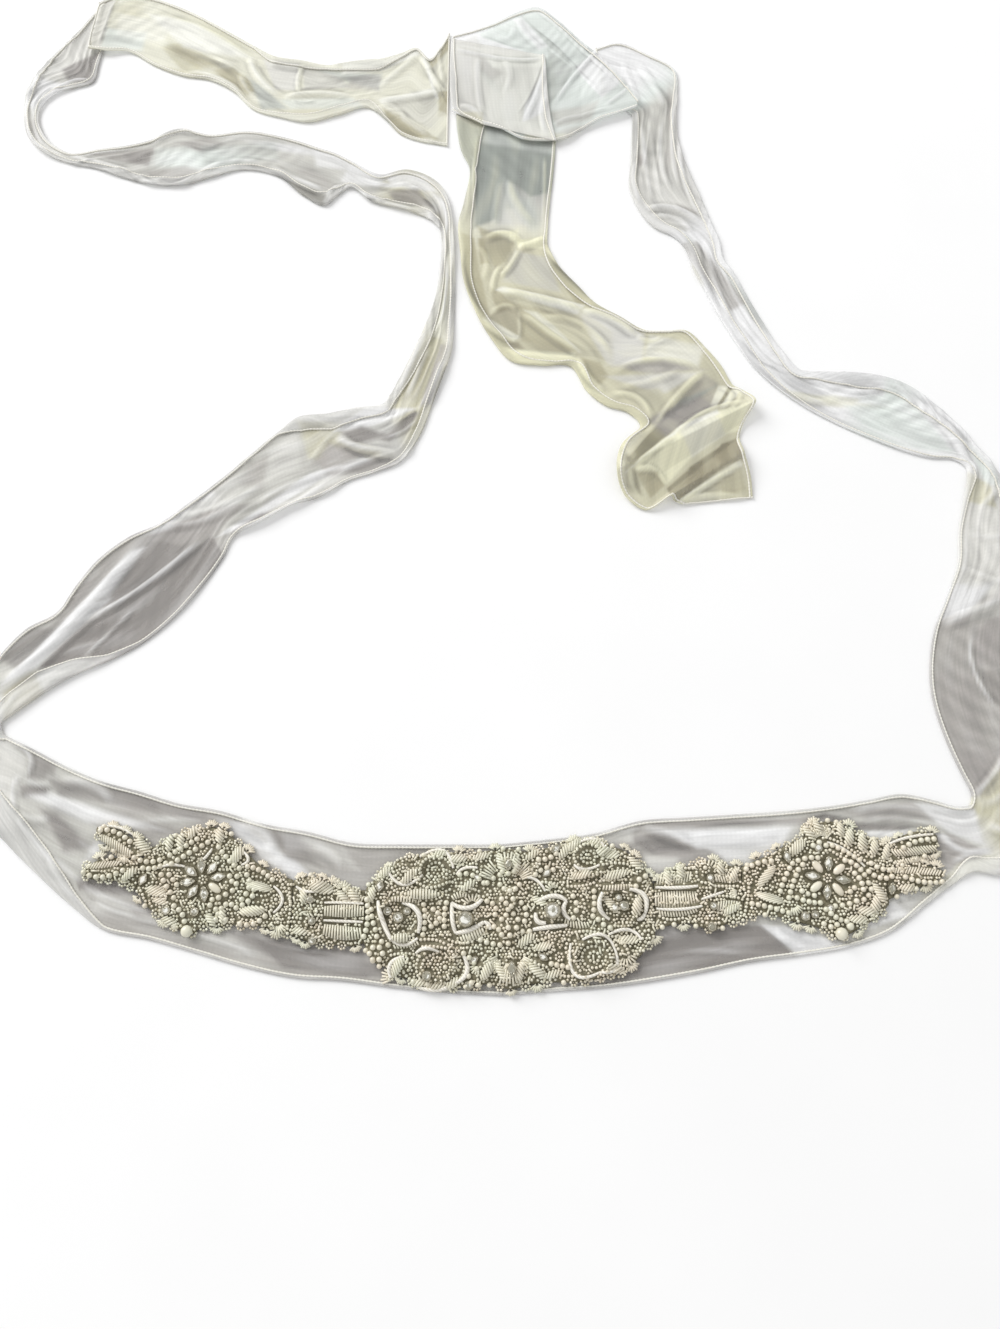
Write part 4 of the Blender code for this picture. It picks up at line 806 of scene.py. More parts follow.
LEFT_FACETS = [
    Facet(-276, 168, -246, 174, -214, 206, -250, 207, "smoke", 1.0, 2),
    Facet(-250, 207, -217, 203, -190, 244, -201, 259, "smoke", 1.0, 2),
    Facet(-272, 200, -257, 212, -214, 256, -240, 254, "smoke", 1.0, 3),
    Facet(-306, 163, -279, 168, -250, 206, -280, 195, "smoke", 1.0, 2),
    Facet(-241, 256, -220, 252, -200, 262, -228, 266, "ash", 0.8, 5),
    Facet(-331, 150, -309, 162, -264, 213, -286, 206, "white"),
    Facet(-286, 206, -267, 213, -246, 250, -256, 247, "white", 0.9, 4),
    Facet(-252, 258, -206, 298, -196, 286, -230, 264, "white", 0.8, 5),
    Facet(-299, 206, -282, 212, -243, 261, -266, 256, "grey", 0.9, 4),
    Facet(-298, 204, -290, 206, -276, 228, -288, 226, "ash", 0.7, 4),
    Facet(-337, 172, -320, 160, -300, 190, -318, 192, "smoke", 0.8, 5),
    Facet(-328, 146, -322, 119, -301, 146, -309, 160, "olive", 0.7, 5),
    Facet(-309, 160, -300, 146, -264, 166, -282, 168, "milk", 0.8, 3),
    Facet(-232, 267, -198, 263, -176, 284, -192, 282, "ash", 0.7, 3),
    Facet(-228, 268, -214, 284, -180, 300, -190, 284, "milk", 0.7, 4),
    Facet(-188, 300, -168, 296, -166, 322, -178, 316, "grey", 0.8, 7),
    Facet(-166, 300, -142, 312, -146, 346, -164, 326, "milk", 0.8, 6),
    Facet(-146, 350, -112, 347, -126, 318, -137, 320, "straw", 0.7, 5),
    Facet(-142, 348, -126, 346, -128, 336, -138, 338, "olive", 0.4, 6),
    Facet(-122, 334, -104, 326, -92, 322, -134, 314, "ash", 0.9, 6),
    Facet(-150, 284, -138, 284, -100, 306, -106, 316, "milk"),
    Facet(-196, 259, -186, 262, -128, 302, -134, 308, "white", 0.9, 2.5),
    Facet(-134, 308, -128, 302, -92, 316, -98, 321, "white", 0.7, 2.5),
    Facet(-128, 316, -78, 320, -76, 311, -124, 306, "ash", 0.8, 5),
    Facet(-186, 262, -180, 264, -164, 277, -168, 276, "smoke", 0.9, 2.5),
    Facet(-120, 341, -92, 346, -60, 361, -98, 360, "white", 0.9, 2.5),
    Facet(-114, 341, -100, 346, -78, 338, -104, 331, "smoke", 0.9, 5),
    Facet(-86, 334, -79, 334, -58, 357, -63, 359, "smoke", 0.8, 3),
    Facet(-76, 364, -60, 362, -43, 420, -57, 424, "straw", 1.0, 3),
    Facet(-72, 368, -62, 366, -50, 404, -60, 404, "olive", 0.6, 6),
    Facet(-58, 363, -50, 364, -38, 412, -44, 416, "ash"),
    Facet(-46, 400, -40, 400, -36, 414, -42, 416, "bark", 0.8, 3),
    Facet(-84, 364, -76, 364, -55, 424, -60, 424, "milk", 0.8, 2.5),
    Facet(-54, 424, -42, 420, -36, 470, -44, 478, "cream"),
    Facet(-41, 478, -34, 470, -33, 528, -40, 528, "cream"),
    Facet(-88, 556, -66, 560, -50, 540, -82, 545, "smoke", 0.8, 5),
    Facet(-64, 561, -52, 560, -40, 528, -46, 532, "milk", 0.6, 3),
    Facet(-170, 567, -136, 553, -139, 543, -160, 554, "thorn", 1.0, 3),
    Facet(-165, 578, -150, 580, -130, 564, -136, 557, "grey", 0.6, 6),
    Facet(-258, 605, -238, 595, -218, 603, -236, 611, "grey", 0.9, 4),
    Facet(-333, 592, -277, 600, -280, 580, -306, 587, "grey", 1.0, 3),
    Facet(-300, 593, -277, 598, -280, 582, -296, 587, "smoke", 0.7, 5),
    Facet(-284, 576, -250, 582, -238, 577, -258, 563, "grey", 0.8, 4),
    Facet(-276, 600, -250, 602, -236, 586, -274, 582, "ice", 0.4, 4),
    Facet(-240, 602, -180, 606, -176, 588, -236, 584, "mist", 0.5, 5),
    Facet(-380, 672, -338, 742, -338, 702, -366, 670, "milk", 0.8, 4),
    Facet(-386, 640, -372, 640, -352, 664, -382, 674, "white", 0.9, 5),
    Facet(-386, 628, -372, 628, -362, 606, -378, 604, "grey", 0.6, 5),
    Facet(-366, 600, -350, 594, -318, 590, -330, 582, "white", 0.8, 4),
    Facet(-118, 584, -90, 572, -96, 560, -126, 566, "white", 0.7, 5),
    Facet(-150, 600, -104, 586, -100, 574, -146, 582, "white", 0.7, 5),
    Facet(-92, 574, -60, 572, -50, 556, -86, 562, "white", 0.8, 4),
    Facet(-46, 540, -38, 540, -36, 496, -46, 496, "silver", 0.7, 4),
    Facet(-362, 682, -331, 702, -333, 667, -354, 667, "smoke", 0.9, 4),
]
RIGHT_FACETS = [
    Facet(138, 506, 152, 508, 186, 452, 172, 444, "grey", 0.8, 4),
    Facet(293, 191, 342, 207, 346, 150, 285, 150, "grey", 1.0, 3),
    Facet(285, 150, 346, 150, 336, 100, 293, 104, "grey", 1.0, 3),
    Facet(286, 160, 316, 160, 314, 104, 292, 104, "ash", 0.6, 8),
    Facet(293, 104, 326, 108, 304, 78, 300, 76, "ash"),
    Facet(318, 186, 342, 205, 342, 162, 318, 166, "ash", 1.0, 3),
    Facet(320, 161, 342, 161, 336, 136, 324, 140, "smoke", 0.6, 4),
    Facet(304, 74, 324, 102, 330, 60, 304, 58, "straw", 0.7, 4),
    Facet(314, 76, 324, 92, 328, 64, 312, 60, "straw", 0.8, 5),
    Facet(296, 196, 320, 204, 340, 226, 306, 222, "white", 0.9, 4),
    Facet(320, 220, 345, 224, 346, 278, 318, 262, "milk", 0.7, 5),
    Facet(332, 308, 346, 300, 349, 281, 328, 286, "straw", 0.8, 2.5),
    Facet(250, 364, 302, 362, 326, 324, 278, 330, "ice", 0.8, 5),
    Facet(284, 386, 300, 372, 292, 364, 280, 374, "ice", 0.8, 4),
    Facet(200, 398, 282, 388, 280, 372, 206, 376, "white", 1.0, 3),
    Facet(206, 376, 262, 368, 256, 363, 216, 368, "cream"),
    Facet(320, 206, 342, 212, 342, 200, 318, 196, "silver", 0.8, 4),
    Facet(336, 330, 350, 312, 356, 296, 344, 300, "ice", 0.9, 4),
]
TOP_RUN_FACETS = [
    Facet(-282, 706, -264, 710, -228, 684, -262, 680, "straw", 0.9, 4),
    Facet(-276, 704, -266, 706, -236, 686, -250, 684, "olive", 0.7, 5),
    Facet(-236, 681, -220, 682, -196, 662, -206, 654, "olive", 0.8, 4),
    Facet(-206, 672, -196, 664, -172, 640, -194, 640, "mist", 0.8, 4),
    Facet(-196, 692, -166, 688, -168, 660, -184, 660, "milk"),
    Facet(-163, 684, -140, 680, -122, 663, -160, 659, "silver", 0.8, 3),
    Facet(-150, 682, -98, 677, -98, 660, -124, 668, "mist", 0.8, 6),
    Facet(-330, 724, -296, 722, -298, 702, -332, 702, "ice", 0.8, 5),
    Facet(-296, 742, -256, 732, -206, 694, -262, 704, "ivory", 0.9, 6),
    Facet(-320, 740, -280, 736, -280, 712, -320, 716, "ivory", 0.5, 6),
    Facet(-338, 756, -325, 756, -331, 702, -340, 702, "milk", 0.8, 2),
    Facet(-180, 650, -120, 652, -110, 640, -170, 640, "ice", 0.6, 4),
    Facet(-124, 674, -98, 676, -98, 659, -124, 662, "ash", 0.5, 6),
    Facet(-130, 687, -96, 690, -98, 681, -130, 677, "ivory", 0.9, 2.5),
    Facet(-98, 689, -68, 704, -67, 698, -98, 681, "ivory", 0.9, 2.5),
    Facet(-99, 664, -67, 693, -57, 662, -98, 649, "cream", 0.9, 2.5),
    Facet(-99, 649, -57, 662, -54, 656, -96, 645, "ivory", 0.9, 2.5),
    Facet(-96, 645, -54, 656, -50, 640, -52, 618, "silver", 0.5, 3),
    Facet(-97, 643, -70, 624, -48, 609, -82, 612, "olive", 1.0, 3),
    Facet(-66, 703, -62, 694, -50, 650, -54, 654, "ivory", 1.0, 2),
    Facet(-60, 692, -42, 718, -40, 708, -56, 684, "olive", 0.8, 2.5),
    Facet(-50, 658, -40, 660, -41, 634, -50, 632, "olive"),
    Facet(-52, 640, -41, 634, -41, 610, -56, 612, "cream", 0.6, 3),
]
TOP_BACK_FACETS = [
    Facet(22, 742, 40, 706, 60, 682, 78, 698, "ice"),
    Facet(18, 738, 40, 704, 62, 680, 50, 700, "mist", 0.8, 2.5),
    Facet(40, 700, 61, 680, 50, 655, 38, 640, "mist", 0.9, 2.5),
    Facet(62, 682, 80, 700, 100, 666, 82, 648, "white", 0.9, 2.5),
    Facet(96, 642, 112, 650, 120, 640, 100, 634, "ice", 0.9, 4),
    Facet(60, 680, 82, 650, 70, 634, 42, 634, "ice", 1.0, 2.5),
    Facet(-18, 718, 8, 728, 2, 706, -14, 712, "ice"),
    Facet(-18, 716, 0, 707, 38, 694, -12, 694, "white", 0.9, 2.5),
    Facet(10, 734, 18, 736, 40, 704, 32, 700, "white", 0.8, 2.5),
    Facet(-36, 706, -20, 716, -14, 700, -34, 700, "milk", 0.6, 3),
    Facet(40, 634, 80, 646, 74, 628, 46, 618, "silver", 0.8, 5),
    Facet(82, 708, 96, 706, 104, 690, 92, 684, "white"),
    Facet(-20, 630, 44, 614, 44, 604, -16, 622, "white"),
    Facet(20, 612, 60, 612, 52, 604, 18, 604, "cream", 0.8, 3),
]
TOP_FRONT_FACETS = [
    Facet(-42, 706, 38, 694, 44, 606, -30, 624, "ivory", 0.5, 4),
    Facet(-37, 700, -20, 692, -14, 640, -36, 640, "milk", 0.8, 4),
    Facet(-18, 694, 2, 674, -6, 664, -16, 676, "grey", 0.5, 6),
    Facet(-12, 692, 38, 690, 34, 680, -6, 680, "ivory", 1.0, 3),
    Facet(20, 640, 36, 676, 38, 634, 18, 622, "white", 0.9, 2.5),
    Facet(-34, 634, -14, 632, -14, 600, -30, 606, "straw", 0.7, 3),
    Facet(0, 624, 42, 622, 42, 608, 4, 610, "ivory", 0.7, 3),
]
FALL_FACETS = [
    Facet(-14, 620, 44, 620, 42, 562, -16, 566, "sage"),
    Facet(4, 600, 43, 600, 42, 562, 6, 570, "sage", 1.0, 6),
    Facet(8, 570, 42, 572, 40, 556, 24, 552, "sage", 1.0, 4),
    Facet(-20, 570, 2, 570, -2, 530, -20, 522, "sage", 0.9, 5),
    Facet(-40, 634, -15, 628, -18, 566, -27, 560, "mist", 0.8, 3),
    Facet(4, 570, 16, 556, 28, 526, -4, 526, "mist", 0.6, 5),
    Facet(4, 540, 12, 540, 22, 524, -2, 524, "milk", 0.7, 6),
    Facet(-16, 516, 14, 520, 16, 507, -6, 512, "butter"),
    Facet(12, 500, 36, 494, 46, 462, 2, 472, "silver", 0.7, 4),
    Facet(12, 510, 35, 514, 33, 502, 14, 503, "butter", 1.0, 2.5),
    Facet(-17, 512, -12, 512, -8, 488, -15, 488, "olive", 1.0, 2.5),
    Facet(-18, 524, 12, 508, 4, 490, -4, 484, "olive", 0.8, 4),
    Facet(-30, 516, -20, 512, -14, 470, -24, 474, "olive", 0.8, 3),
    Facet(-24, 478, -14, 474, -8, 442, -14, 440, "olive"),
    Facet(32, 497, 46, 478, 72, 450, 58, 452, "olive", 1.0, 2.5),
    Facet(-4, 464, 2, 467, 64, 450, 58, 442, "ivory", 0.9, 2.5),
    Facet(58, 448, 84, 442, 106, 424, 98, 416, "ivory", 0.9, 2.5),
    Facet(-8, 466, 0, 462, 14, 448, -2, 444, "olive"),
    Facet(2, 450, 14, 448, 14, 420, -10, 438, "bark", 0.6, 3),
    Facet(14, 450, 30, 440, 60, 410, 16, 418, "olive", 0.8, 4),
    Facet(10, 452, 16, 448, 56, 436, 56, 440, "olive", 0.5, 4),
    Facet(18, 446, 28, 444, 66, 406, 58, 408, "cream", 1.0, 3),
    Facet(58, 446, 108, 426, 104, 396, 78, 398, "milk", 0.7, 5),
    Facet(34, 442, 60, 432, 80, 398, 64, 402, "straw"),
    Facet(-8, 426, 12, 420, 18, 411, 2, 412, "bark", 0.7, 4),
    Facet(-22, 440, -14, 438, 0, 416, -10, 412, "olive", 0.7, 4),
    Facet(-14, 437, -9, 439, 15, 422, 10, 418, "cream", 1.0, 2),
    Facet(2, 412, 56, 408, 54, 400, 14, 400, "butter"),
    Facet(50, 404, 58, 404, 72, 372, 64, 374, "butter"),
    Facet(60, 404, 74, 400, 80, 388, 70, 378, "olive"),
    Facet(84, 426, 108, 422, 104, 400, 84, 398, "milk", 0.9, 5),
    Facet(106, 404, 112, 424, 152, 414, 146, 396, "ivory", 0.7, 5),
    Facet(84, 396, 120, 402, 150, 394, 112, 390, "grey", 0.9, 4),
    Facet(78, 388, 112, 390, 148, 392, 118, 372, "milk", 0.8, 4),
    Facet(78, 376, 116, 378, 130, 364, 112, 352, "straw", 0.8, 4),
    Facet(150, 391, 160, 382, 158, 360, 118, 346, "smoke", 0.6, 5),
    Facet(132, 368, 158, 380, 136, 362, 112, 346, "sage", 0.8, 3),
    Facet(160, 380, 168, 380, 156, 358, 150, 356, "cream", 0.9, 2),
    Facet(170, 378, 176, 374, 162, 357, 158, 358, "cream", 0.9, 2),
    Facet(168, 380, 171, 378, 158, 358, 156, 359, "thorn", 0.7, 2),
    Facet(116, 350, 130, 346, 96, 311, 86, 314, "thorn", 0.8, 5),
    Facet(106, 352, 146, 372, 156, 358, 118, 334, "smoke", 0.9, 6),
    Facet(106, 346, 112, 346, 92, 318, 84, 320, "straw", 0.8, 3),
    Facet(84, 328, 95, 312, 100, 288, 88, 295, "thorn", 0.7, 4),
    Facet(94, 308, 126, 340, 138, 322, 118, 299, "butter", 1.0, 2.5),
    Facet(126, 340, 152, 354, 164, 340, 137, 320, "cream", 1.0, 2.5),
    Facet(151, 355, 180, 361, 173, 342, 162, 339, "butter", 1.0, 2.5),
    Facet(92, 308, 94, 310, 128, 341, 126, 336, "ivory", 0.9, 2),
    Facet(126, 338, 128, 342, 156, 356, 158, 352, "ivory", 0.9, 2),
    Facet(118, 296, 134, 311, 166, 316, 123, 283, "bark", 1.0, 2),
    Facet(134, 312, 160, 331, 168, 316, 138, 297, "bark", 1.0, 2),
    Facet(158, 331, 170, 336, 173, 316, 159, 311, "bark", 1.0, 2),
    Facet(150, 298, 170, 310, 174, 294, 160, 290, "olive", 0.7, 5),
    Facet(96, 306, 112, 308, 116, 298, 106, 288, "olive", 1.0, 2.5),
    Facet(122, 283, 124, 281, 150, 298, 148, 301, "cream", 1.0, 2),
    Facet(148, 301, 150, 298, 172, 312, 170, 315, "cream", 1.0, 2),
    Facet(-36, 640, -16, 634, -16, 618, -36, 628, "silver", 0.7, 4),
    Facet(-16, 622, 44, 610, 44, 594, -16, 606, "mist", 0.9, 6),
]

# ---------------------------------------------------------------- the pieces of ribbon
WATERED_LEFT = [
    Watered(-220, 592, 140, 30, 0, 1.0),
    Watered(-300, 690, 100, 40, 0, 0.5),
    Watered(-350, 690, 60, 30, 30, 0.8),
    Watered(-250, 200, 120, 40, 40, 0.5),
    Watered(-200, 40, 160, 40, -10, 0.4),
]
WATERED_RIGHT = [
    Watered(315, 150, 110, 60, 85, 1.0),
    Watered(300, 355, 60, 24, -35, 0.9),
    Watered(265, 368, 90, 30, -10, 0.8),
    Watered(230, 50, 120, 50, 0, 0.5),
    Watered(340, 240, 90, 40, 85, 0.5),
    Watered(120, 600, 120, 30, 88, 0.6),
]
WATERED_TOP = [
    Watered(-305, 735, 70, 50, 0, 0.8),
    Watered(-240, 690, 60, 40, 0, 0.4),
    Watered(-120, 665, 60, 40, 0, 0.4),
]
WATERED_FOLD = [
    Watered(60, 690, 90, 70, -50, 0.8),
    Watered(10, 710, 60, 30, 0, 0.6),
]
WATERED_FALL = [
    Watered(10, 590, 70, 60, 0, 0.5),
    Watered(120, 405, 60, 40, 0, 0.5),
]


def turned(sections):
    """The same stretch taken from its other end."""
    return [Section(s.right_x, s.right_y, s.left_x, s.left_y, s.tone, s.right_over, s.left_over, s.lift)
            for s in reversed(sections)]


BAND_MIDDLE = [section.left_x for section in BAND].index(0)
LEFT_RIBBON = (turned(LEFT_TURN + LEFT_TAIL_LOWER + LEFT_TAIL_UPPER + LEFT_RETURN + LEFT_LOOP)
               + BAND[:BAND_MIDDLE + 1])
RIGHT_RIBBON = (BAND[BAND_MIDDLE:] + RIGHT_TURN + RIGHT_TAIL_LOWER + RIGHT_TAIL_MIDDLE + RIGHT_TAIL_UPPER
                + SHOULDER)
BAND_TONES = BAND_PATCHES + BAND_FACETS
STRETCHES = [
    Stretch("ribbon_left", LEFT_RIBBON, LEFT_CREASES + BAND_CREASES,
            LEFT_PATCHES + LEFT_FACETS + BAND_TONES, WATERED_LEFT, "white", 1.0, 1.7, 2.1,
            1435, 839, "laid", ["table"], "start",
            ["left_loop", "left_return", "left_tail_upper", "left_tail_lower", "left_turn", "band"]),
    Stretch("ribbon_right", RIGHT_RIBBON, RIGHT_CREASES + BAND_CREASES,
            RIGHT_PATCHES + RIGHT_FACETS + BAND_TONES, WATERED_RIGHT, "white", 1.0, 1.7, 1.8,
            1094, 757, "laid", ["table"], "end",
            ["band", "right_turn", "right_tail_lower", "right_tail_middle", "right_tail_upper", "shoulder"]),
    Stretch("top_cloth", TOP_RUN + LEFT_END, TOP_RUN_CREASES,
            TOP_RUN_PATCHES + TOP_RUN_FACETS, WATERED_TOP, "ivory", 0.8, 3.1, 1.3,
            324, 240, "laid", ["ribbon_left"], "start end", ["top_run", "left_end"]),
    Stretch("fall_cloth", FALL_UPPER + FALL_LOWER + PLEATED_END, FALL_CREASES,
            FALL_PATCHES + FALL_FACETS, WATERED_FALL, "butter", 0.4, 5.9, 1.3,
            481, 433, "laid", ["table"], "end", ["fall_upper", "fall_lower", "pleated_end"]),
    Stretch("fold_back_cloth", TOP_FOLD_BACK, TOP_BACK_CREASES,
            TOP_BACK_PATCHES + TOP_BACK_FACETS, WATERED_FOLD, "white", 0.4, 8.3, 1.2,
            178, 160, "folded", ["ribbon_right", "fall_cloth"], "", ["top_fold_back"]),
    Stretch("fold_front_cloth", TOP_FOLD_FRONT, TOP_FRONT_CREASES,
            TOP_FRONT_PATCHES + TOP_FRONT_FACETS, [], "white", 0.3, 9.7, 1.2,
            108, 77, "folded", ["fold_back_cloth"], "", ["top_fold_front"]),
]

# ---------------------------------------------------------------- beadwork
# A pad's outline is a row for each station along it; a raised form is a dome of one reach, a ring of one
# reach and breadth, or a leaf of one length and breadth, turned by some degrees.
Station = namedtuple("Station", "x near far")
Raised = namedtuple("Raised", "form x y reach breadth turn height", defaults=(0.0, 0.0, 3.0))
Pad = namedtuple("Pad", "name stations raised")
# Beads sewn on, a row for each line: a string of beads on a soft curve, beads round part of an oval, a
# satin band of bugle beads laid side by side along a curve, a leaf of bugle beads laid slantwise inside an
# outline of seed beads, bugle beads that fan out from a place, a set stone, a curl of cord on a soft
# curve, a small rosette, and a flower of eight set petals, of which every so many is a pearl.
Strung = namedtuple("Strung", "bead start_x start_y mid_x mid_y end_x end_y")
Round = namedtuple("Round", "bead x y reach_x reach_y start sweep", defaults=(0, 360))
Satin = namedtuple("Satin", "start_x start_y mid_x mid_y end_x end_y breadth slant", defaults=(0,))
Leaf = namedtuple("Leaf", "x y turn length breadth slant", defaults=(60,))
Fan = namedtuple("Fan", "x y inner outer start sweep count")
Stone = namedtuple("Stone", "cut x y length breadth turn", defaults=(0,))
Curl = namedtuple("Curl", "start_x start_y mid_x mid_y end_x end_y radius", defaults=(0.95,))
Rosette = namedtuple("Rosette", "x y reach")
Flower = namedtuple("Flower", "x y turn pearl_each")

MEDALLION = [
    Station(-83, -14, 19),
    Station(-80, -22, 23),
    Station(-74, -27, 26),
    Station(-68, -28, 33),
    Station(-62, -33, 37),
    Station(-52, -36, 38.5),
    Station(-42, -38, 40),
    Station(-30, -39.5, 41),
    Station(-18, -39, 40.5),
    Station(-8, -37.5, 42),
    Station(6, -41, 43.5),
    Station(18, -38, 41),
    Station(30, -36.5, 44),
    Station(42, -37, 46),
    Station(54, -36, 48),
    Station(66, -33, 46),
    Station(76, -28, 43),
    Station(84, -23, 38),
    Station(90, -16, 31),
    Station(95, -9, 22),
]
MEDALLION_RAISED = [
    Raised("ring", -62, 1, 12, 5),
    Raised("dome", -62, 1, 6),
    Raised("ring", 72, 7, 12, 5),
    Raised("dome", 72, 7, 6),
    Raised("dome", -22, 0, 8, height=4.5),
    Raised("dome", 31, 5, 8, height=4.5),
    Raised("dome", 5, 12, 9, height=3.5),
    Raised("dome", 5, -6, 9, height=3.5),
    Raised("ring", -42, 28, 9, 5),
    Raised("ring", -38, -25, 10, 5),
    Raised("ring", 56, 36, 9, 5),
    Raised("ring", 56, -23, 11, 5),
    Raised("dome", -74, -19, 7, height=2.0),
    Raised("dome", -75, 18, 7, height=2.0),
    Raised("dome", 87, -9, 7, height=2.0),
    Raised("dome", 87, 26, 7, height=2.0),
    Raised("leaf", 5, 33, 20, 12, 90),
    Raised("leaf", 6, -29, 20, 12, 90),
    Raised("leaf", -13, 31, 20, 9, 125, 2.5),
    Raised("leaf", 22, 32, 20, 9, 55, 2.5),
    Raised("leaf", -11, -29, 18, 9, 55, 2.5),
    Raised("leaf", 23, -27, 18, 9, 125, 2.5),
    Raised("leaf", -48, 14, 44, 7, 0, 2.0),
    Raised("leaf", -50, -13, 40, 7, 0, 2.0),
    Raised("leaf", 58, 20, 44, 7, 0, 2.0),
    Raised("leaf", 60, -8, 40, 7, 0, 2.0),
    Raised("dome", -43, 1, 6, height=2.0),
    Raised("dome", 49, 6, 6, height=2.0),
    Raised("dome", -60, 29, 7, height=2.0),
    Raised("dome", 73, 35, 7, height=2.0),
    Raised("dome", -58, -25, 7, height=2.0),
    Raised("dome", 74, -18, 7, height=2.0),
    Raised("dome", -20, 20, 7, height=2.0),
    Raised("dome", 29, 22, 7, height=2.0),
    Raised("dome", -20, -17, 7, height=2.0),
    Raised("dome", 32, -13, 7, height=2.0),
]

LINK_LEFT = [
    Station(-128, -9, 24),
    Station(-118, -13, 27),
    Station(-108, -15, 23),
    Station(-98, -15, 18),
    Station(-90, -16, 17),
    Station(-83.4, -14, 18),
]
LINK_LEFT_RAISED = [
    Raised("dome", -115, 20, 7, height=2.5),
    Raised("leaf", -104, 5, 46, 8, 0, 2.0),
    Raised("leaf", -104, -8, 46, 8, 0, 2.0),
    Raised("dome", -114, -12, 5, height=2.5),
]
LINK_RIGHT = [
    Station(95.4, -6, 22),
    Station(105, -3, 29),
    Station(115, -2, 32),
    Station(125, -5, 35),
    Station(131, -7, 36),
    Station(140, -2, 33),
    Station(150, 0, 32),
]
LINK_RIGHT_RAISED = [
    Raised("dome", 127, 30, 7, height=2.5),
    Raised("leaf", 118, 8, 46, 10, 0, 2.0),
    Raised("leaf", 118, 20, 46, 8, 0, 2.0),
    Raised("dome", 129, -4, 5, height=2.5),
]

MOTIF_LEFT = [
    Station(-225, 17, 36),
    Station(-218, 8, 44),
    Station(-210, 2, 48),
    Station(-200, -3, 53),
    Station(-191, -11, 56),
    Station(-182, -4, 57),
    Station(-172, -4, 55),
    Station(-164, -3, 46),
    Station(-158, -4, 40),
    Station(-150, -3, 33),
    Station(-140, -6, 28),
    Station(-128.4, -9, 24),
]
MOTIF_RIGHT = [
    Station(150.4, 0, 32),
    Station(160, 3, 36),
    Station(170, 2, 40),
    Station(180, -1, 46),
    Station(190, -3, 50),
    Station(198, -6, 58),
    Station(207, -12, 61),
    Station(215, -8, 59),
    Station(224, -3, 54),
    Station(232, 1, 50),
    Station(240, 9, 46),
]

LEAF_LEFT_FAR = [
    Station(-254.5, 53, 57),
    Station(-248, 46, 57),
    Station(-240, 41, 55),
    Station(-232, 38, 50),
    Station(-225.4, 35, 45),
]
LEAF_LEFT_NEAR = [
    Station(-260, 26, 31),
    Station(-252, 24, 36),
    Station(-244, 24, 38),
    Station(-236, 23, 37.5),
    Station(-225.4, 18, 34.6),
]
LEAF_RIGHT_FAR = [
    Station(240.4, 30, 45),
    Station(250, 33, 50),
    Station(260, 36, 54),
    Station(268, 39, 54),
    Station(275, 44, 52),
]
LEAF_RIGHT_NEAR = [
    Station(240.4, 12, 29.6),
    Station(250, 17, 32.6),
    Station(262, 20, 35),
    Station(270, 23, 32),
    Station(276, 26, 30),
]

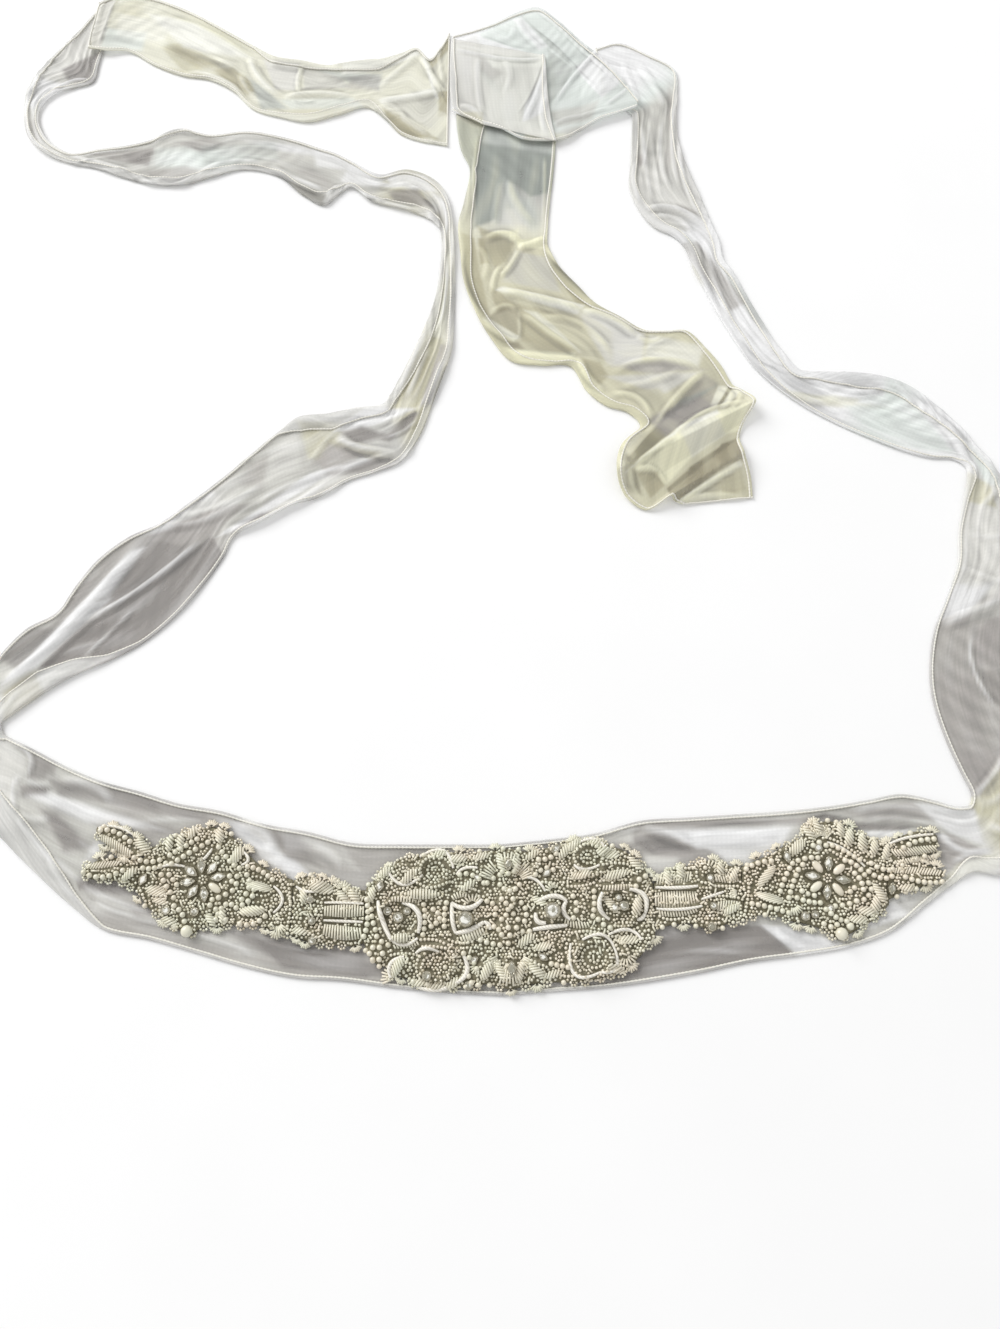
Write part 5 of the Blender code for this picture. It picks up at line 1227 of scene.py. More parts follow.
MEDALLION_STRINGS = [
    Strung("pearl", -79, 6, -78, 0, -76, -6),
    Strung("pearl", -75, -10, -72, -13, -68, -15),
    Strung("pearl", -47, 9, -46, 1, -47, -9),
    Strung("pearl", -42, -4, -37, 1, -41, 6),
    Strung("small", -59, -7, -55, -10, -51, -7),
    Strung("pearl", -34, -4, -34, 4, -33, 10),
    Strung("small", -68, 33, -62, 24, -52, 19),
    Strung("small", -66, 26, -66, 18, -56, 15),
    Strung("small", -64, 36, -54, 39, -44, 38),
    Strung("small", -60, 31, -56, 27, -50, 24),
    Strung("small", -50, 15, -40, 15, -31, 18),
    Strung("small", -49, 21, -42, 19, -33, 22),
    Strung("small", -30, 38, -22, 38, -14, 36),
    Strung("small", -28, 34, -20, 32, -12, 27),
    Strung("pearl", -25, 27, -18, 27, -10, 22),
    Strung("pearl", -8, 22, -4, 25, 0, 27),
    Strung("small", -27, 20, -20, 19, -13, 17),
    Strung("pearl", 0, 21, 6, 17, 12, 21),
    Strung("pearl", -8, 11, -3, 8, -3, 3),
    Strung("pearl", 1, 12, 5, 6, 1, 0),
    Strung("pearl", 8, 12, 7, 6, 11, 0),
    Strung("pearl", 13, 10, 16, 5, 15, -1),
    Strung("pearl", -7, -4, -2, -5, 1, -9),
    Strung("pearl", 5, -5, 6, -9, 5, -14),
    Strung("pearl", 10, -5, 13, -7, 18, -7),
    Strung("small", -6, 17, -9, 14, -13, 14),
    Strung("small", 16, 16, 19, 13, 20, 9),
    Strung("small", -31, -12, -24, -14, -17, -13),
    Strung("pearl", -12, -12, -6, -14, 0, -15),
    Strung("small", 12, -12, 20, -13, 30, -10),
    Strung("small", 13, -16, 22, -17, 32, -14),
    Strung("small", 17, -20, 25, -21, 33, -18),
    Strung("pearl", 31, -26, 36, -27, 41, -28),
    Strung("pearl", -22, -20, -17, -24, -14, -29),
    Strung("pearl", -19, -33, -17, -37, -13, -38),
    Strung("small", -11, -20, -7, -23, -5, -28),
    Strung("small", 19, -24, 22, -26, 26, -27),
    Strung("small", 30, -31, 38, -33, 46, -33),
    Strung("pearl", 58, 17, 58, 9, 57, 2),
    Strung("pearl", 60, 0, 63, -3, 67, -5),
    Strung("pearl", 45, 14, 47, 8, 45, 1),
    Strung("small", 50, 14, 52, 8, 50, 2),
    Strung("small", 42, 20, 50, 20, 58, 22),
    Strung("small", 40, 25, 50, 25, 60, 27),
    Strung("small", 62, 23, 70, 24, 78, 24),
    Strung("small", 60, 28, 70, 29, 80, 29),
    Strung("small", 64, 33, 72, 34, 82, 33),
    Strung("small", 64, 39, 72, 41, 78, 38),
    Strung("pearl", 22, 27, 28, 31, 33, 30),
    Strung("pearl", 24, 36, 30, 37, 35, 40),
    Strung("small", 32, 43, 38, 45, 46, 46),
    Strung("small", 24, 22, 30, 22, 37, 19),
    Strung("small", 36, 35, 40, 39, 46, 41),
    Strung("pearl", 84, 20, 86, 24, 90, 26),
    Strung("small", 68, -6, 76, -7, 84, -5),
    Strung("small", 44, -8, 52, -7, 60, -8),
    Strung("small", 42, -12, 40, -18, 43, -24),
    Strung("small", 70, -12, 76, -16, 78, -22),
    Strung("small", 66, -10, 72, -10, 82, -11),
    Strung("small", 62, -30, 68, -30, 73, -26),
    Strung("small", -66, -21, -58, -20, -50, -21),
    Strung("small", -62, -25, -57, -25, -52, -27),
    Strung("small", -58, -31, -54, -35, -50, -36),
    Strung("small", -46, -24, -42, -21, -36, -19),
    Strung("small", -48, -12, -40, -12, -34, -14),
    Strung("small", -47, -16, -40, -16, -33, -17),
]
MEDALLION_ROUNDS = [
    Round("small", -40, 30, 5, 4.5),
    Round("small", -40, 30, 9.5, 8, 20, 250),
    Round("small", 55, 38, 4.5, 4),
    Round("small", 55, 38, 9, 7.5, -60, 300),
    Round("pearl", -75, -20, 4, 4),
    Round("small", 90, -10, 3.6, 3.6),
    Round("pearl", 5, 32, 5, 4.5, 180, 180),
    Round("small", 57, -22, 3.2, 3.0),
    Round("small", 57, -22, 7.4, 6.4, 40, 320),
    Round("small", 57, -22, 15.5, 13.5, 20, 330),
    Round("small", -36, -28, 14.5, 12.5, 150, 210),
]
MEDALLION_SATIN = [
    Satin(-66, 12, -58, 12, -50, 11, 3.6),
    Satin(-64, -16, -56, -15, -50, -14, 3.6, 20),
    Satin(-29, 13, -25, 15, -21, 15, 4.0),
    Satin(40, -1, 46, -3, 54, -3, 4.5, 15),
    Satin(64, 19, 72, 19, 80, 20, 3.6, -10),
]
MEDALLION_FANS = [
    Fan(5, 21, 9, 19, 20, 32, 6),
    Fan(5, 21, 11, 19, 128, 34, 6),
    Fan(5, 24, 8, 17, 66, 48, 7),
    Fan(6, -18, 9, 18, 205, 30, 6),
    Fan(6, -18, 9, 18, 305, 30, 6),
    Fan(6, -20, 6, 19, 250, 40, 7),
    Fan(-17, 8, 3, 8, 30, 120, 7),
    Fan(-62, -34, 4, 10, 110, 90, 8),
    Fan(-28, 30, 3, 8, 40, 80, 5),
    Fan(33, 17, 2, 6, 60, 110, 6),
    Fan(-72, 21, 4, 9, 20, 130, 7),
    Fan(76, -20, 3, 8, 240, 100, 6),
    Fan(-13, -27, 2, 6, 190, 80, 5),
]
MEDALLION_STONES = [
    Stone("round", -21, 0, 8.6, 8.6),
    Stone("round", 32, 5, 9.2, 9.2),
    Stone("round", -62, 1, 5.6, 5.6),
    Stone("round", -69, 5, 4.6, 4.6),
    Stone("round", -57, 5, 4.0, 4.0),
    Stone("round", 76, 8, 5.4, 5.4),
    Stone("round", 70, 7, 4.4, 4.4),
    Stone("round", 73, 13, 3.8, 3.8),
    Stone("round", -44, -33, 5.0, 5.0),
    Stone("round", -19, -38.5, 4.4, 4.4),
    Stone("marquise", 5, 33, 7.5, 4.4, 90),
    Stone("marquise", 7, -29, 9.0, 4.6, 90),
    Stone("marquise", -16, -24, 6.4, 3.8, 35),
    Stone("marquise", 26, -22, 6.4, 3.8, 145),
    Stone("marquise", -14, 25, 6.0, 3.8, -30),
    Stone("marquise", 29, 28, 6.0, 3.8, 40),
    Stone("marquise", 35, 43, 7.0, 4.2, 40),
    Stone("marquise", -74, 20, 7.0, 4.4, 80),
]
MEDALLION_CURLS = [
    Curl(-75, 11, -72, 0, -66, -12, 1.25),
    Curl(-60, 10, -50, 4, -50, -8, 1.25),
    Curl(-66, -12, -58, -15, -50, -11, 0.9),
    Curl(-30, 10, -20, 6.6, -11, 12, 1.3),
    Curl(-29.5, 10, -29, 0, -27, -8, 1.2),
    Curl(-27, -8, -18, -6, -10, -1.5, 1.3),
    Curl(-10, -1.5, -7, -3, -6, -6, 1.1),
    Curl(23, 10.5, 33, 14, 41, 11, 1.3),
    Curl(41, 11, 39, 5, 43, 0, 1.2),
    Curl(22, 4, 23, -1, 28, -2, 1.3),
    Curl(20, -6, 30, -4.5, 41, -3.5, 1.2),
    Curl(63, 16, 61, 7, 67, 0, 1.2),
    Curl(80, 18, 89, 14, 89, 4, 1.3),
    Curl(89, 4, 87, 1, 84, 0, 1.1),
    Curl(-22, -21, -20, -31, -27, -37, 1.2),
    Curl(-27, -37, -38, -41, -50, -39, 1.0),
    Curl(-51, -20, -45, -17, -37, -19, 1.0),
    Curl(-66, -34, -66, -26, -58, -22, 1.1),
    Curl(-70, 30, -60, 21, -48, 27, 0.9),
    Curl(-50, 38, -36, 42, -29, 31, 0.9),
    Curl(43, -14, 45, -32, 60, -31, 0.9),
    Curl(60, -31, 70, -28, 69, -16, 0.9),
    Curl(69, -16, 62, -9, 50, -12, 0.9),
    Curl(46, 45, 60, 49, 66, 40, 0.9),
    Curl(46, 33, 52, 30, 62, 33, 0.9),
    Curl(66, -9, 78, -6, 86, -12, 0.9),
    Curl(-14, 31, -22, 31, -27, 27, 0.8),
    Curl(15, 25, 22, 24, 28, 17, 0.8),
]
MEDALLION_ROSETTES = [
    Rosette(-37, 1, 3.6),
    Rosette(-33, 27, 3.4),
    Rosette(-33, -28, 4.0),
    Rosette(47, 29, 3.6),
    Rosette(6, 17, 3.4),
    Rosette(-9, -10, 3.0),
    Rosette(22, 19, 3.2),
    Rosette(70, 36, 3.2),
    Rosette(36, -22, 3.2),
    Rosette(-60, 31, 3.2),
    Rosette(32, -10, 3.2),
    Rosette(76, -12, 3.0),
    Rosette(-58, -24, 3.0),
]

LINK_STRINGS = [
    Strung("small", -124, 14, -116, 12, -110, 10),
    Strung("small", -122, -6, -116, -8, -110, -12),
    Strung("pearl", -82, 12, -81, 0, -83, -10),
    Strung("small", -104, 26, -96, 20, -90, 17),
    Strung("small", -124, 8, -122, 2, -124, -4),
    Strung("small", 104, 31, 112, 31, 120, 31),
    Strung("small", 134, 32, 140, 30, 148, 30),
    Strung("small", 122, 26, 126, 22, 134, 24),
    Strung("small", 120, 2, 126, -2, 134, -2),
    Strung("small", 136, 4, 142, 2, 148, 4),
    Strung("small", 98, 2, 104, 0, 112, 1),
    Strung("small", 133, 14, 140, 14, 147, 13),
    Strung("small", 133, 20, 140, 20, 147, 20),
]
LINK_SATIN = [
    Satin(-107, 5, -96, 5, -84, 5, 7.5),
    Satin(-107, -6, -96, -8, -85, -8, 8.5, 8),
    Satin(-100, 13, -92, 13, -85, 12, 6.0, -14),
    Satin(96, 12, 110, 12, 121, 13, 10.5),
    Satin(98, 24, 108, 25, 118, 26, 8.0, -18),
    Satin(98, 4, 110, 4, 120, 6, 4.5, 10),
    Satin(134, 25, 140, 25, 147, 25, 6.0, 15),
    Satin(134, 8, 140, 8, 147, 8, 7.0, -12),
]
LINK_FANS = [
    Fan(-113, 16, 3, 9, 25, 90, 8),
    Fan(-98, 17, 2, 7, 40, 100, 7),
    Fan(128, 27, 6, 10, 30, 120, 9),
]
LINK_STONES = [
    Stone("round", -117, 12, 4.4, 4.4),
    Stone("round", -114, -12.5, 4.4, 4.4),
    Stone("round", -115, -1, 4.0, 4.0),
    Stone("round", 129, -4.5, 4.6, 4.6),
    Stone("round", 131, 8, 4.0, 4.0),
    Stone("round", 130, 25, 3.8, 3.8),
]
LINK_CURLS = [
    Curl(-108, 10, -96, 10, -84, 9.5, 0.8),
    Curl(-108, -0.5, -96, -1, -84, -1.5, 0.8),
    Curl(96, 19.3, 110, 19, 122, 20, 0.9),
    Curl(96, 6.5, 110, 6, 124, 8, 0.8),
    Curl(124, 12, 130, 14, 138, 16.6, 0.8),
    Curl(-126, 20, -120, 17, -112, 17, 0.8),
]
LINK_ROSETTES = [
    Rosette(-116, 25.5, 3.6),
    Rosette(-109, 20, 3.0),
    Rosette(127, 31, 3.8),
    Rosette(-124, 24, 3.0),
    Rosette(128, 15, 3.0),
    Rosette(141, 17, 2.8),
]

MOTIF_STRINGS = [
    Strung("pearl", -251, 54.5, -242, 53.5, -232, 47.5),
    Strung("pearl", -258.5, 28.5, -247, 25.5, -234, 29.5),
    Strung("pearl", -228, 37.5, -220, 35, -212, 36),
    Strung("pearl", -222, 31, -215, 31, -208, 34),
    Strung("pearl", -204, 33.5, -194, 40, -183, 47),
    Strung("pearl", -206, 39, -198, 44, -190, 49),
    Strung("pearl", -210, 27, -206, 20, -201, 13),
    Strung("pearl", -205, 27, -200, 21, -195, 15),
    Strung("pearl", -190, 12.5, -181, 11.5, -173, 13),
    Strung("pearl", -169, 15, -164, 19, -163, 26),
    Strung("pearl", -162, 31, -168, 35, -176, 44),
    Strung("pearl", -176, 32, -170, 29, -166, 23),
    Strung("pearl", -157, 27, -155, 20, -159, 12),
    Strung("pearl", -152, 18, -154, 12, -162, 7),
    Strung("pearl", -157, 32, -149, 29.5, -141, 24),
    Strung("pearl", -159, -2.5, -151, -2.5, -144, 2),
    Strung("pearl", -200, 8, -195, 4, -193, -1),
    Strung("pearl", -178, 8.5, -173, 5, -168, 0),
    Strung("pearl", -165, 9, -170, 8, -174, 0),
    Strung("small", -206, 14, -209, 9, -208, 3),
    Strung("small", -136, 23, -132, 17, -129, 10),
    Strung("small", -131, 21, -129, 8, -130, -4),
    Strung("pearl", 155, 9.5, 165, 7.5, 177, 4),
    Strung("pearl", 153, 30.5, 160, 34, 169, 35.5),
    Strung("pearl", 173, 17, 176, 24, 180, 31),
    Strung("pearl", 178, 13, 181, 21, 185, 30),
    Strung("pearl", 182, 34, 191, 37, 202, 37),
    Strung("pearl", 188, 33, 197, 34.5, 206, 36),
    Strung("pearl", 211, 36, 219, 34, 226, 27),
    Strung("pearl", 217, 30, 222, 25, 224, 18),
    Strung("pearl", 229, 29, 236, 25, 243, 26),
    Strung("pearl", 228, 22, 229, 17, 224, 12),
    Strung("pearl", 183, 13, 190, 10.5, 197, 10),
    Strung("pearl", 186, 17, 193, 14.5, 202, 14),
    Strung("pearl", 206, 13, 213, 15, 219, 19),
    Strung("pearl", 206, 8, 213, 9, 219, 11),
    Strung("pearl", 200, 6, 206, 1, 212, -1),
    Strung("pearl", 198, -2.5, 203, -4.5, 206, -3),
    Strung("pearl", 208, 45, 216, 41, 224, 36),
    Strung("small", 205, 50, 216, 45, 229, 34),
    Strung("small", 207, 54, 219, 49, 232, 38),
    Strung("small", 206, 42, 214, 37, 225, 31),
    Strung("pearl", 231, 34, 236, 31, 242, 30),
    Strung("pearl", 252, 43.5, 261, 47.5, 272, 49),
    Strung("pearl", 251, 25.5, 262, 22.5, 274, 23),
    Strung("pearl", 196, 45, 200, 47, 204, 45),
    Strung("small", 150, 3, 154, 20, 152, 28),
    Strung("small", 240, 38, 246, 34, 250, 29),
]
MOTIF_SATIN = [
    Satin(-250, 50, -240, 45, -231, 40, 6.0, 30),
    Satin(-246, 45, -240, 41, -233, 37, 4.5, 30),
    Satin(-257, 32, -247, 33, -238, 34, 5.0, -35),
    Satin(246, 40, 258, 41.5, 272, 43.5, 6.0, 30),
    Satin(247, 34.5, 258, 36, 272, 38, 4.0, 20),
    Satin(246, 29.5, 258, 29.5, 273, 28, 5.0, -28),
]
MOTIF_FANS = [
    Fan(-136, -2, 2, 8, 250, 80, 6),
    Fan(202, 46, 5, 12, 50, 80, 10),
    Fan(180, 10, 3, 8, 260, 70, 6),
    Fan(148, 16, 2, 6, 150, 60, 5),
]
MOTIF_STONES = [
    Stone("round", -205, 5.5, 5.0, 5.0),
    Stone("round", -187, 4.5, 4.6, 4.6),
    Stone("round", 187, 2, 5.0, 5.0),
    Stone("round", 193, 3, 4.2, 4.2),
    Stone("round", 199, 43.5, 4.4, 4.4),
    Stone("round", 203, 6.5, 4.4, 4.4),
    Stone("marquise", -221, 24, 7.5, 4.2, 65),
    Stone("marquise", 179, 38, 7.5, 4.2, 100),
    Stone("marquise", 242, 18.5, 7.5, 4.2, 75),
]
MOTIF_CURLS = [
    Curl(-213, 31, -205, 33, -196, 32, 0.8),
    Curl(-188, 35, -183, 38, -180, 43, 0.8),
    Curl(-160, 41, -157, 36, -161, 33, 0.8),
    Curl(-140, 20, -134, 12, -139, 4, 0.8),
    Curl(205, 47, 216, 42, 227, 32, 0.8),
    Curl(244, 46, 256, 50, 272, 52, 0.8),
    Curl(-253, 56, -243, 57, -231, 52, 0.7),
]
MOTIF_ROSETTES = [
    Rosette(-176, 37, 4.0),
    Rosette(-186, 35, 3.4),
    Rosette(-180, 51, 3.6),
    Rosette(-174, 52, 3.0),
    Rosette(-138, 12, 3.6),
    Rosette(-212, 41, 3.0),
    Rosette(-188, 54, 3.0),
    Rosette(207, 55, 3.6),
    Rosette(212, 57, 2.8),
    Rosette(241, 37, 3.4),
    Rosette(246, 44, 2.8),
    Rosette(154, 24, 3.2),
    Rosette(235, 34, 2.8),
    Rosette(198, 56, 3.0),
    Rosette(234, 48, 2.8),
]
MEDALLION_LEAVES = [
    Leaf(1, 34, 100, 14, 6.5),
    Leaf(10, 34, 80, 14, 6.5),
    Leaf(1, -31, 112, 13, 6),
    Leaf(12, -31, 68, 13, 6),
    Leaf(-8, -30, 50, 13, 7),
    Leaf(22, -30, -50, 13, 6),
    Leaf(-62, -28, 50, 15, 7),
    Leaf(-17, -9, 22, 17, 6.5, 90),
    Leaf(16, -12, 20, 12, 6.5),
    Leaf(26, -16, 0, 11, 6),
    Leaf(-48, 15, 0, 24, 6, 90),
    Leaf(-56, 26, 30, 12, 7),
    Leaf(24, 11, -45, 9, 6),
    Leaf(68, 9, -60, 13, 6),
    Leaf(84, 8, 62, 13, 7),
    Leaf(-60, -11, 0, 13, 5, 90),
    Leaf(72, 27, 8, 18, 6),
    Leaf(50, 27, 0, 13, 6.5),
    Leaf(67, 40, -20, 15, 8),
    Leaf(46, 45, 22, 11, 6),
    Leaf(61, 47, -8, 11, 5),
    Leaf(40, 41, 40, 10, 6),
    Leaf(84, 34, -60, 10, 6),
    Leaf(78, -12, -10, 13, 6),
    Leaf(70, -29, -30, 11, 6),
    Leaf(-28, -37, 18, 10, 6),
    Leaf(-38, -38.5, -5, 10, 5),
    Leaf(-49, -37, -10, 11, 5),
    Leaf(-79, 15, 60, 9, 6),
    Leaf(-72, 28, 32, 10, 6),
    Leaf(-26, 37, -10, 11, 6),
    Leaf(-12, 38, 5, 11, 5),
    Leaf(-38, 39.5, 5, 11, 5),
    Leaf(20, 39, 22, 10, 5),
    Leaf(-20, 20, 20, 10, 5.5),
    Leaf(32, -32, 8, 12, 5),
]
LINK_LEAVES = [
    Leaf(-110, 19, -25, 15, 9),
    Leaf(-97, 14, -55, 9, 5),
    Leaf(-90, 14, -62, 10, 6),
    Leaf(-121, 14, 70, 9, 6),
    Leaf(104, 25, 80, 9, 6),
    Leaf(112, 29, 85, 9, 6),
    Leaf(137, 31, 70, 8, 6),
    Leaf(145, 27, 50, 9, 5),
    Leaf(-122, -7, -20, 10, 5),
    Leaf(142, 6, 20, 11, 5),
]
MOTIF_LEAVES = [
    Leaf(-224, 45, -50, 12, 7),
    Leaf(-207, 46, 75, 10, 6),
    Leaf(-200, 47, 80, 12, 5.5),
    Leaf(-193, 53, 40, 8, 6),
    Leaf(-164, 39, 35, 11, 9),
    Leaf(-212, 17, -28, 13, 8),
    Leaf(-209, 11, -32, 9, 5),
    Leaf(-202, -1, -35, 10, 6),
    Leaf(-177, 0, -70, 9, 5.5),
    Leaf(-170, 2, 80, 9, 5),
    Leaf(-230, 27, 30, 11, 6),
    Leaf(-152, 5, 15, 16, 8.5, -50),
    Leaf(-149, 20, -25, 15, 9, 40),
    Leaf(-176, 51, 80, 9, 7),
    Leaf(186, 44, 25, 13, 8),
    Leaf(194, 53, 110, 10, 6),
    Leaf(200, 57, 100, 8, 6),
    Leaf(214, 55, 75, 9, 6),
    Leaf(219, 50, 60, 11, 7),
    Leaf(227, 47, 75, 12, 7),
    Leaf(234, 44, 60, 11, 6),
    Leaf(241, 41, 60, 11, 5),
    Leaf(234, 16, -70, 13, 6),
    Leaf(231, 9, 60, 12, 7),
    Leaf(225, 5, -30, 11, 7),
    Leaf(219, 0, -20, 11, 6),
    Leaf(252, 19, -10, 11, 5),
    Leaf(166, 13, -25, 17, 8.5, 40),
    Leaf(165, 26, 58, 16, 9, -40),
]
# large pearls: their places and diameters
DROPS = [(-191, -7, 7.6), (208, -8.5, 8.0), (-199, -4, 4.6), (214, -4, 5.0)]
FLOWERS = [Flower(-184, 24, 10, 8), Flower(203, 25, -8, 2)]

PADS = [
    Pad("medallion", MEDALLION, MEDALLION_RAISED),
    Pad("link_left", LINK_LEFT, LINK_LEFT_RAISED),
    Pad("link_right", LINK_RIGHT, LINK_RIGHT_RAISED),
    Pad("motif_left", MOTIF_LEFT, [Raised("ring", -189, 22, 19, 6, height=1.5)]),
    Pad("motif_right", MOTIF_RIGHT, [Raised("ring", 204, 22, 19, 6, height=1.5)]),
    Pad("leaf_left_far", LEAF_LEFT_FAR, [Raised("leaf", -239, 47, 36, 9, -34, 1.2)]),
    Pad("leaf_left_near", LEAF_LEFT_NEAR, [Raised("leaf", -242, 29, 36, 9, -5, 1.2)]),
    Pad("leaf_right_far", LEAF_RIGHT_FAR, [Raised("leaf", 257, 44, 36, 9, 22, 1.2)]),
    Pad("leaf_right_near", LEAF_RIGHT_NEAR, [Raised("leaf", 258, 25, 36, 9, 5, 1.2)]),
]
# each kind of bead: its piece's name, that piece's slot, and its finish
BEAD_PIECES = {
    "pearl": ("pearls", "pearls", "pearl"),
    "petal": ("drop_pearls", "pearls", "pearl"),
    "small": ("small_pearls", "pearls", "pearl"),
    "seed": ("seed_beads", "seed_beads", "seed"),
    "bugle": ("bugle_beads", "bugle_beads", "bugle"),
    "round": ("round_stones", "stones", "crystal"),
    "marquise": ("marquise_stones", "stones", "crystal"),
    "round_setting": ("round_settings", "settings", "claw"),
    "marquise_setting": ("marquise_settings", "settings", "claw"),
}
ROUND_KINDS = ("pearl", "petal", "small", "seed", "bugle")     # drawn smooth


# ---------------------------------------------------------------- small helpers
def linear(colour):
    """Linear red, green and blue of an sRGB hex colour."""
    parts = [int(colour[i:i + 2], 16) / 255 for i in (1, 3, 5)]
    return np.array([c / 12.92 if c <= 0.04045 else ((c + 0.055) / 1.055) ** 2.4 for c in parts])


def eased(t):
    """0 to 1 without a corner at either end."""
    t = np.clip(t, 0.0, 1.0)
    return t * t * (3.0 - 2.0 * t)


def placed(points):
    """Plan places with their heights, in mm, as metres in the frame."""
    return (np.asarray(points, float) - (MIDDLE[0], MIDDLE[1], 0.0)) * MM


def curved(row, parts):
    """Points on a row's soft curve, which passes through its three plan places."""
    t = np.linspace(0.0, 1.0, parts + 1)[:, None]
    start = np.array([row.start_x, row.start_y], float)
    middle = np.array([row.mid_x, row.mid_y], float)
    end = np.array([row.end_x, row.end_y], float)
    bend = 2.0 * middle - 0.5 * (start + end)
    return (1 - t) ** 2 * start + 2 * t * (1 - t) * bend + t ** 2 * end


def distance_along(path):
    """Distance from a path's start to each of its points."""
    return np.concatenate([[0], np.cumsum(np.linalg.norm(np.diff(path, axis=0), axis=1))])


def smooth_through(at, values, wanted):
    """Values at the wanted distances, on a smooth curve through the rows."""
    slopes = np.gradient(values, at, axis=0)
    row = np.clip(np.searchsorted(at, wanted, side="right") - 1, 0, len(at) - 2)
    span = (at[row + 1] - at[row])[:, None]
    t = (wanted - at[row])[:, None] / span
    return ((1 + 2 * t) * (1 - t) ** 2 * values[row] + t * (1 - t) ** 2 * span * slopes[row]
            + t * t * (3 - 2 * t) * values[row + 1] + t * t * (t - 1) * span * slopes[row + 1])


def beside(places, form):
    """Plan places measured along and across a form, from its middle and by its turn."""
    turn = math.radians(form.turn)
    away = places - (form.x, form.y)
    return (away[:, 0] * math.cos(turn) + away[:, 1] * math.sin(turn),
            away[:, 1] * math.cos(turn) - away[:, 0] * math.sin(turn))


def inside_patch(places, patch):
    """1 in the middle of a soft patch, 0 outside it."""
    along, across = beside(places, patch)
    return eased(PATCH_FADE - np.hypot(2 * along / patch.length, 2 * across / patch.breadth))


def left_of(x, y, start, end):
    """Distance of places to the left of the line from start to end, or to its right below 0."""
    way = (end - start) / np.linalg.norm(end - start)
    return way[0] * (y - start[1]) - way[1] * (x - start[0])


def inside_facet(places, facet):
    """1 inside a facet's four corners, 0 outside them."""
    corners = np.array(facet[:8], float).reshape(4, 2)
    sides = list(zip(corners, np.roll(corners, -1, axis=0)))
    inward = [left_of(places[:, 0], places[:, 1], *side) for side in sides]
    way = np.sign(left_of(*corners.mean(0), *sides[0]))
    return eased(0.5 + (way * np.array(inward)).min(0) / facet.soft)


def stretched_noise(across, along, seed, width, length):
    """Noise drawn out along the ribbon, from about -1 to 1, at each point."""
    places = zip(across.ravel() / width, along.ravel() / length)
    return np.array([noise.noise(Vector((a, b, seed))) for a, b in places]).reshape(across.shape)


def in_scene(name, data):
    """A named object in the scene."""
    new = bpy.data.objects.new(name, data)
    bpy.context.scene.collection.objects.link(new)
    return new


def add_object(name, mesh, material):
    """A named piece of the sash in the scene."""
    piece = in_scene(name, mesh)
    piece.data.materials.append(material)
    return piece


def made_real(helper, name):
    """The mesh that a helper's curve or points come to, for the piece of that name."""
    bpy.context.view_layer.update()
    mesh = bpy.data.meshes.new_from_object(helper.evaluated_get(bpy.context.evaluated_depsgraph_get()))
    mesh.name = name
    mesh.materials.clear()
    return mesh


def grid(name, columns, rows, points, size=1.0):
    """A grid's mesh, its corners moved to the points where there are some."""
    shape = bmesh.new()
    bmesh.ops.create_grid(shape, x_segments=columns - 1, y_segments=rows - 1, size=size)
    mesh = bpy.data.meshes.new(name)
    shape.to_mesh(mesh)
    shape.free()
    if points is not None:
        mesh.vertices.foreach_set("co", placed(points).ravel())
        mesh.shade_smooth()
    return mesh


def in_points(mesh, name, kind, values):
    """Values kept in a mesh's points."""
    socket = {"FLOAT": "value", "FLOAT_VECTOR": "vector"}[kind]
    mesh.attributes.new(name, kind, "POINT").data.foreach_set(socket, values.ravel())


def thickened(piece, thickness, offset):
    """The piece as a shell."""
    shell = piece.modifiers.new("thickness", "SOLIDIFY")
    shell.thickness = thickness * MM
    shell.offset = offset
    return piece


def tubes(name, radius, roundness, lines, swells, material):
    """Tubes along the lines, with their swells, as one mesh."""
    curve = bpy.data.curves.new(name, "CURVE")
    curve.dimensions = "3D"
    curve.bevel_depth = radius * MM
    curve.bevel_resolution = roundness
    curve.use_fill_caps = True
    for line, swell in zip(lines, swells):
        spline = curve.splines.new("POLY")
        spline.points.add(len(line) - 1)
        spline.points.foreach_set("co", np.column_stack([placed(line), np.ones(len(line))]).ravel())
        spline.points.foreach_set("radius", swell)
    drawn = add_object(name + "_line", curve, material)
    mesh = made_real(drawn, name)
    bpy.data.objects.remove(drawn)
    bpy.data.curves.remove(curve)
    mesh.shade_smooth()
    return add_object(name, mesh, material)


def worn(piece, slot, *nodes):
    """The piece goes with the sash and stands for CAD nodes, whose parts are hidden; its slot is not used."""
    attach(piece, "root")
    if nodes:
        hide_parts(*nodes)
    return piece


# ---------------------------------------------------------------- materials
def node(tree, kind, inputs=None, **settings):
    """A shader node with its settings, and its inputs set or linked."""
    new = tree.nodes.new(kind)
    for name, value in settings.items():
        setattr(new, name, value)
    for socket, value in (inputs or {}).items():
        if isinstance(value, bpy.types.NodeSocket):
            tree.links.new(value, new.inputs[socket])
        else:
            new.inputs[socket].default_value = value
    return new


def blank(name):
    """A new material and its node tree."""
    material = bpy.data.materials.new(name)
    material.use_nodes = True
    return material, material.node_tree


def paint(colour):
    """A hex colour as a shader's socket takes it."""
    return (*linear(colour), 1)


def finished(material, colour, values, relief=None):
    """The material with its colour, its shader's values, and a relief of one height and depth."""
    tree = material.node_tree
    shader = tree.nodes["Principled BSDF"]
    tree.links.new(colour.outputs[0], shader.inputs["Base Color"])
    if relief:
        bump = node(tree, "ShaderNodeBump", dict(zip(("Height", "Strength", "Distance"), relief)))
        tree.links.new(bump.outputs[0], shader.inputs["Normal"])
    for name, value in values.items():
        shader.inputs[name].default_value = value
    return material


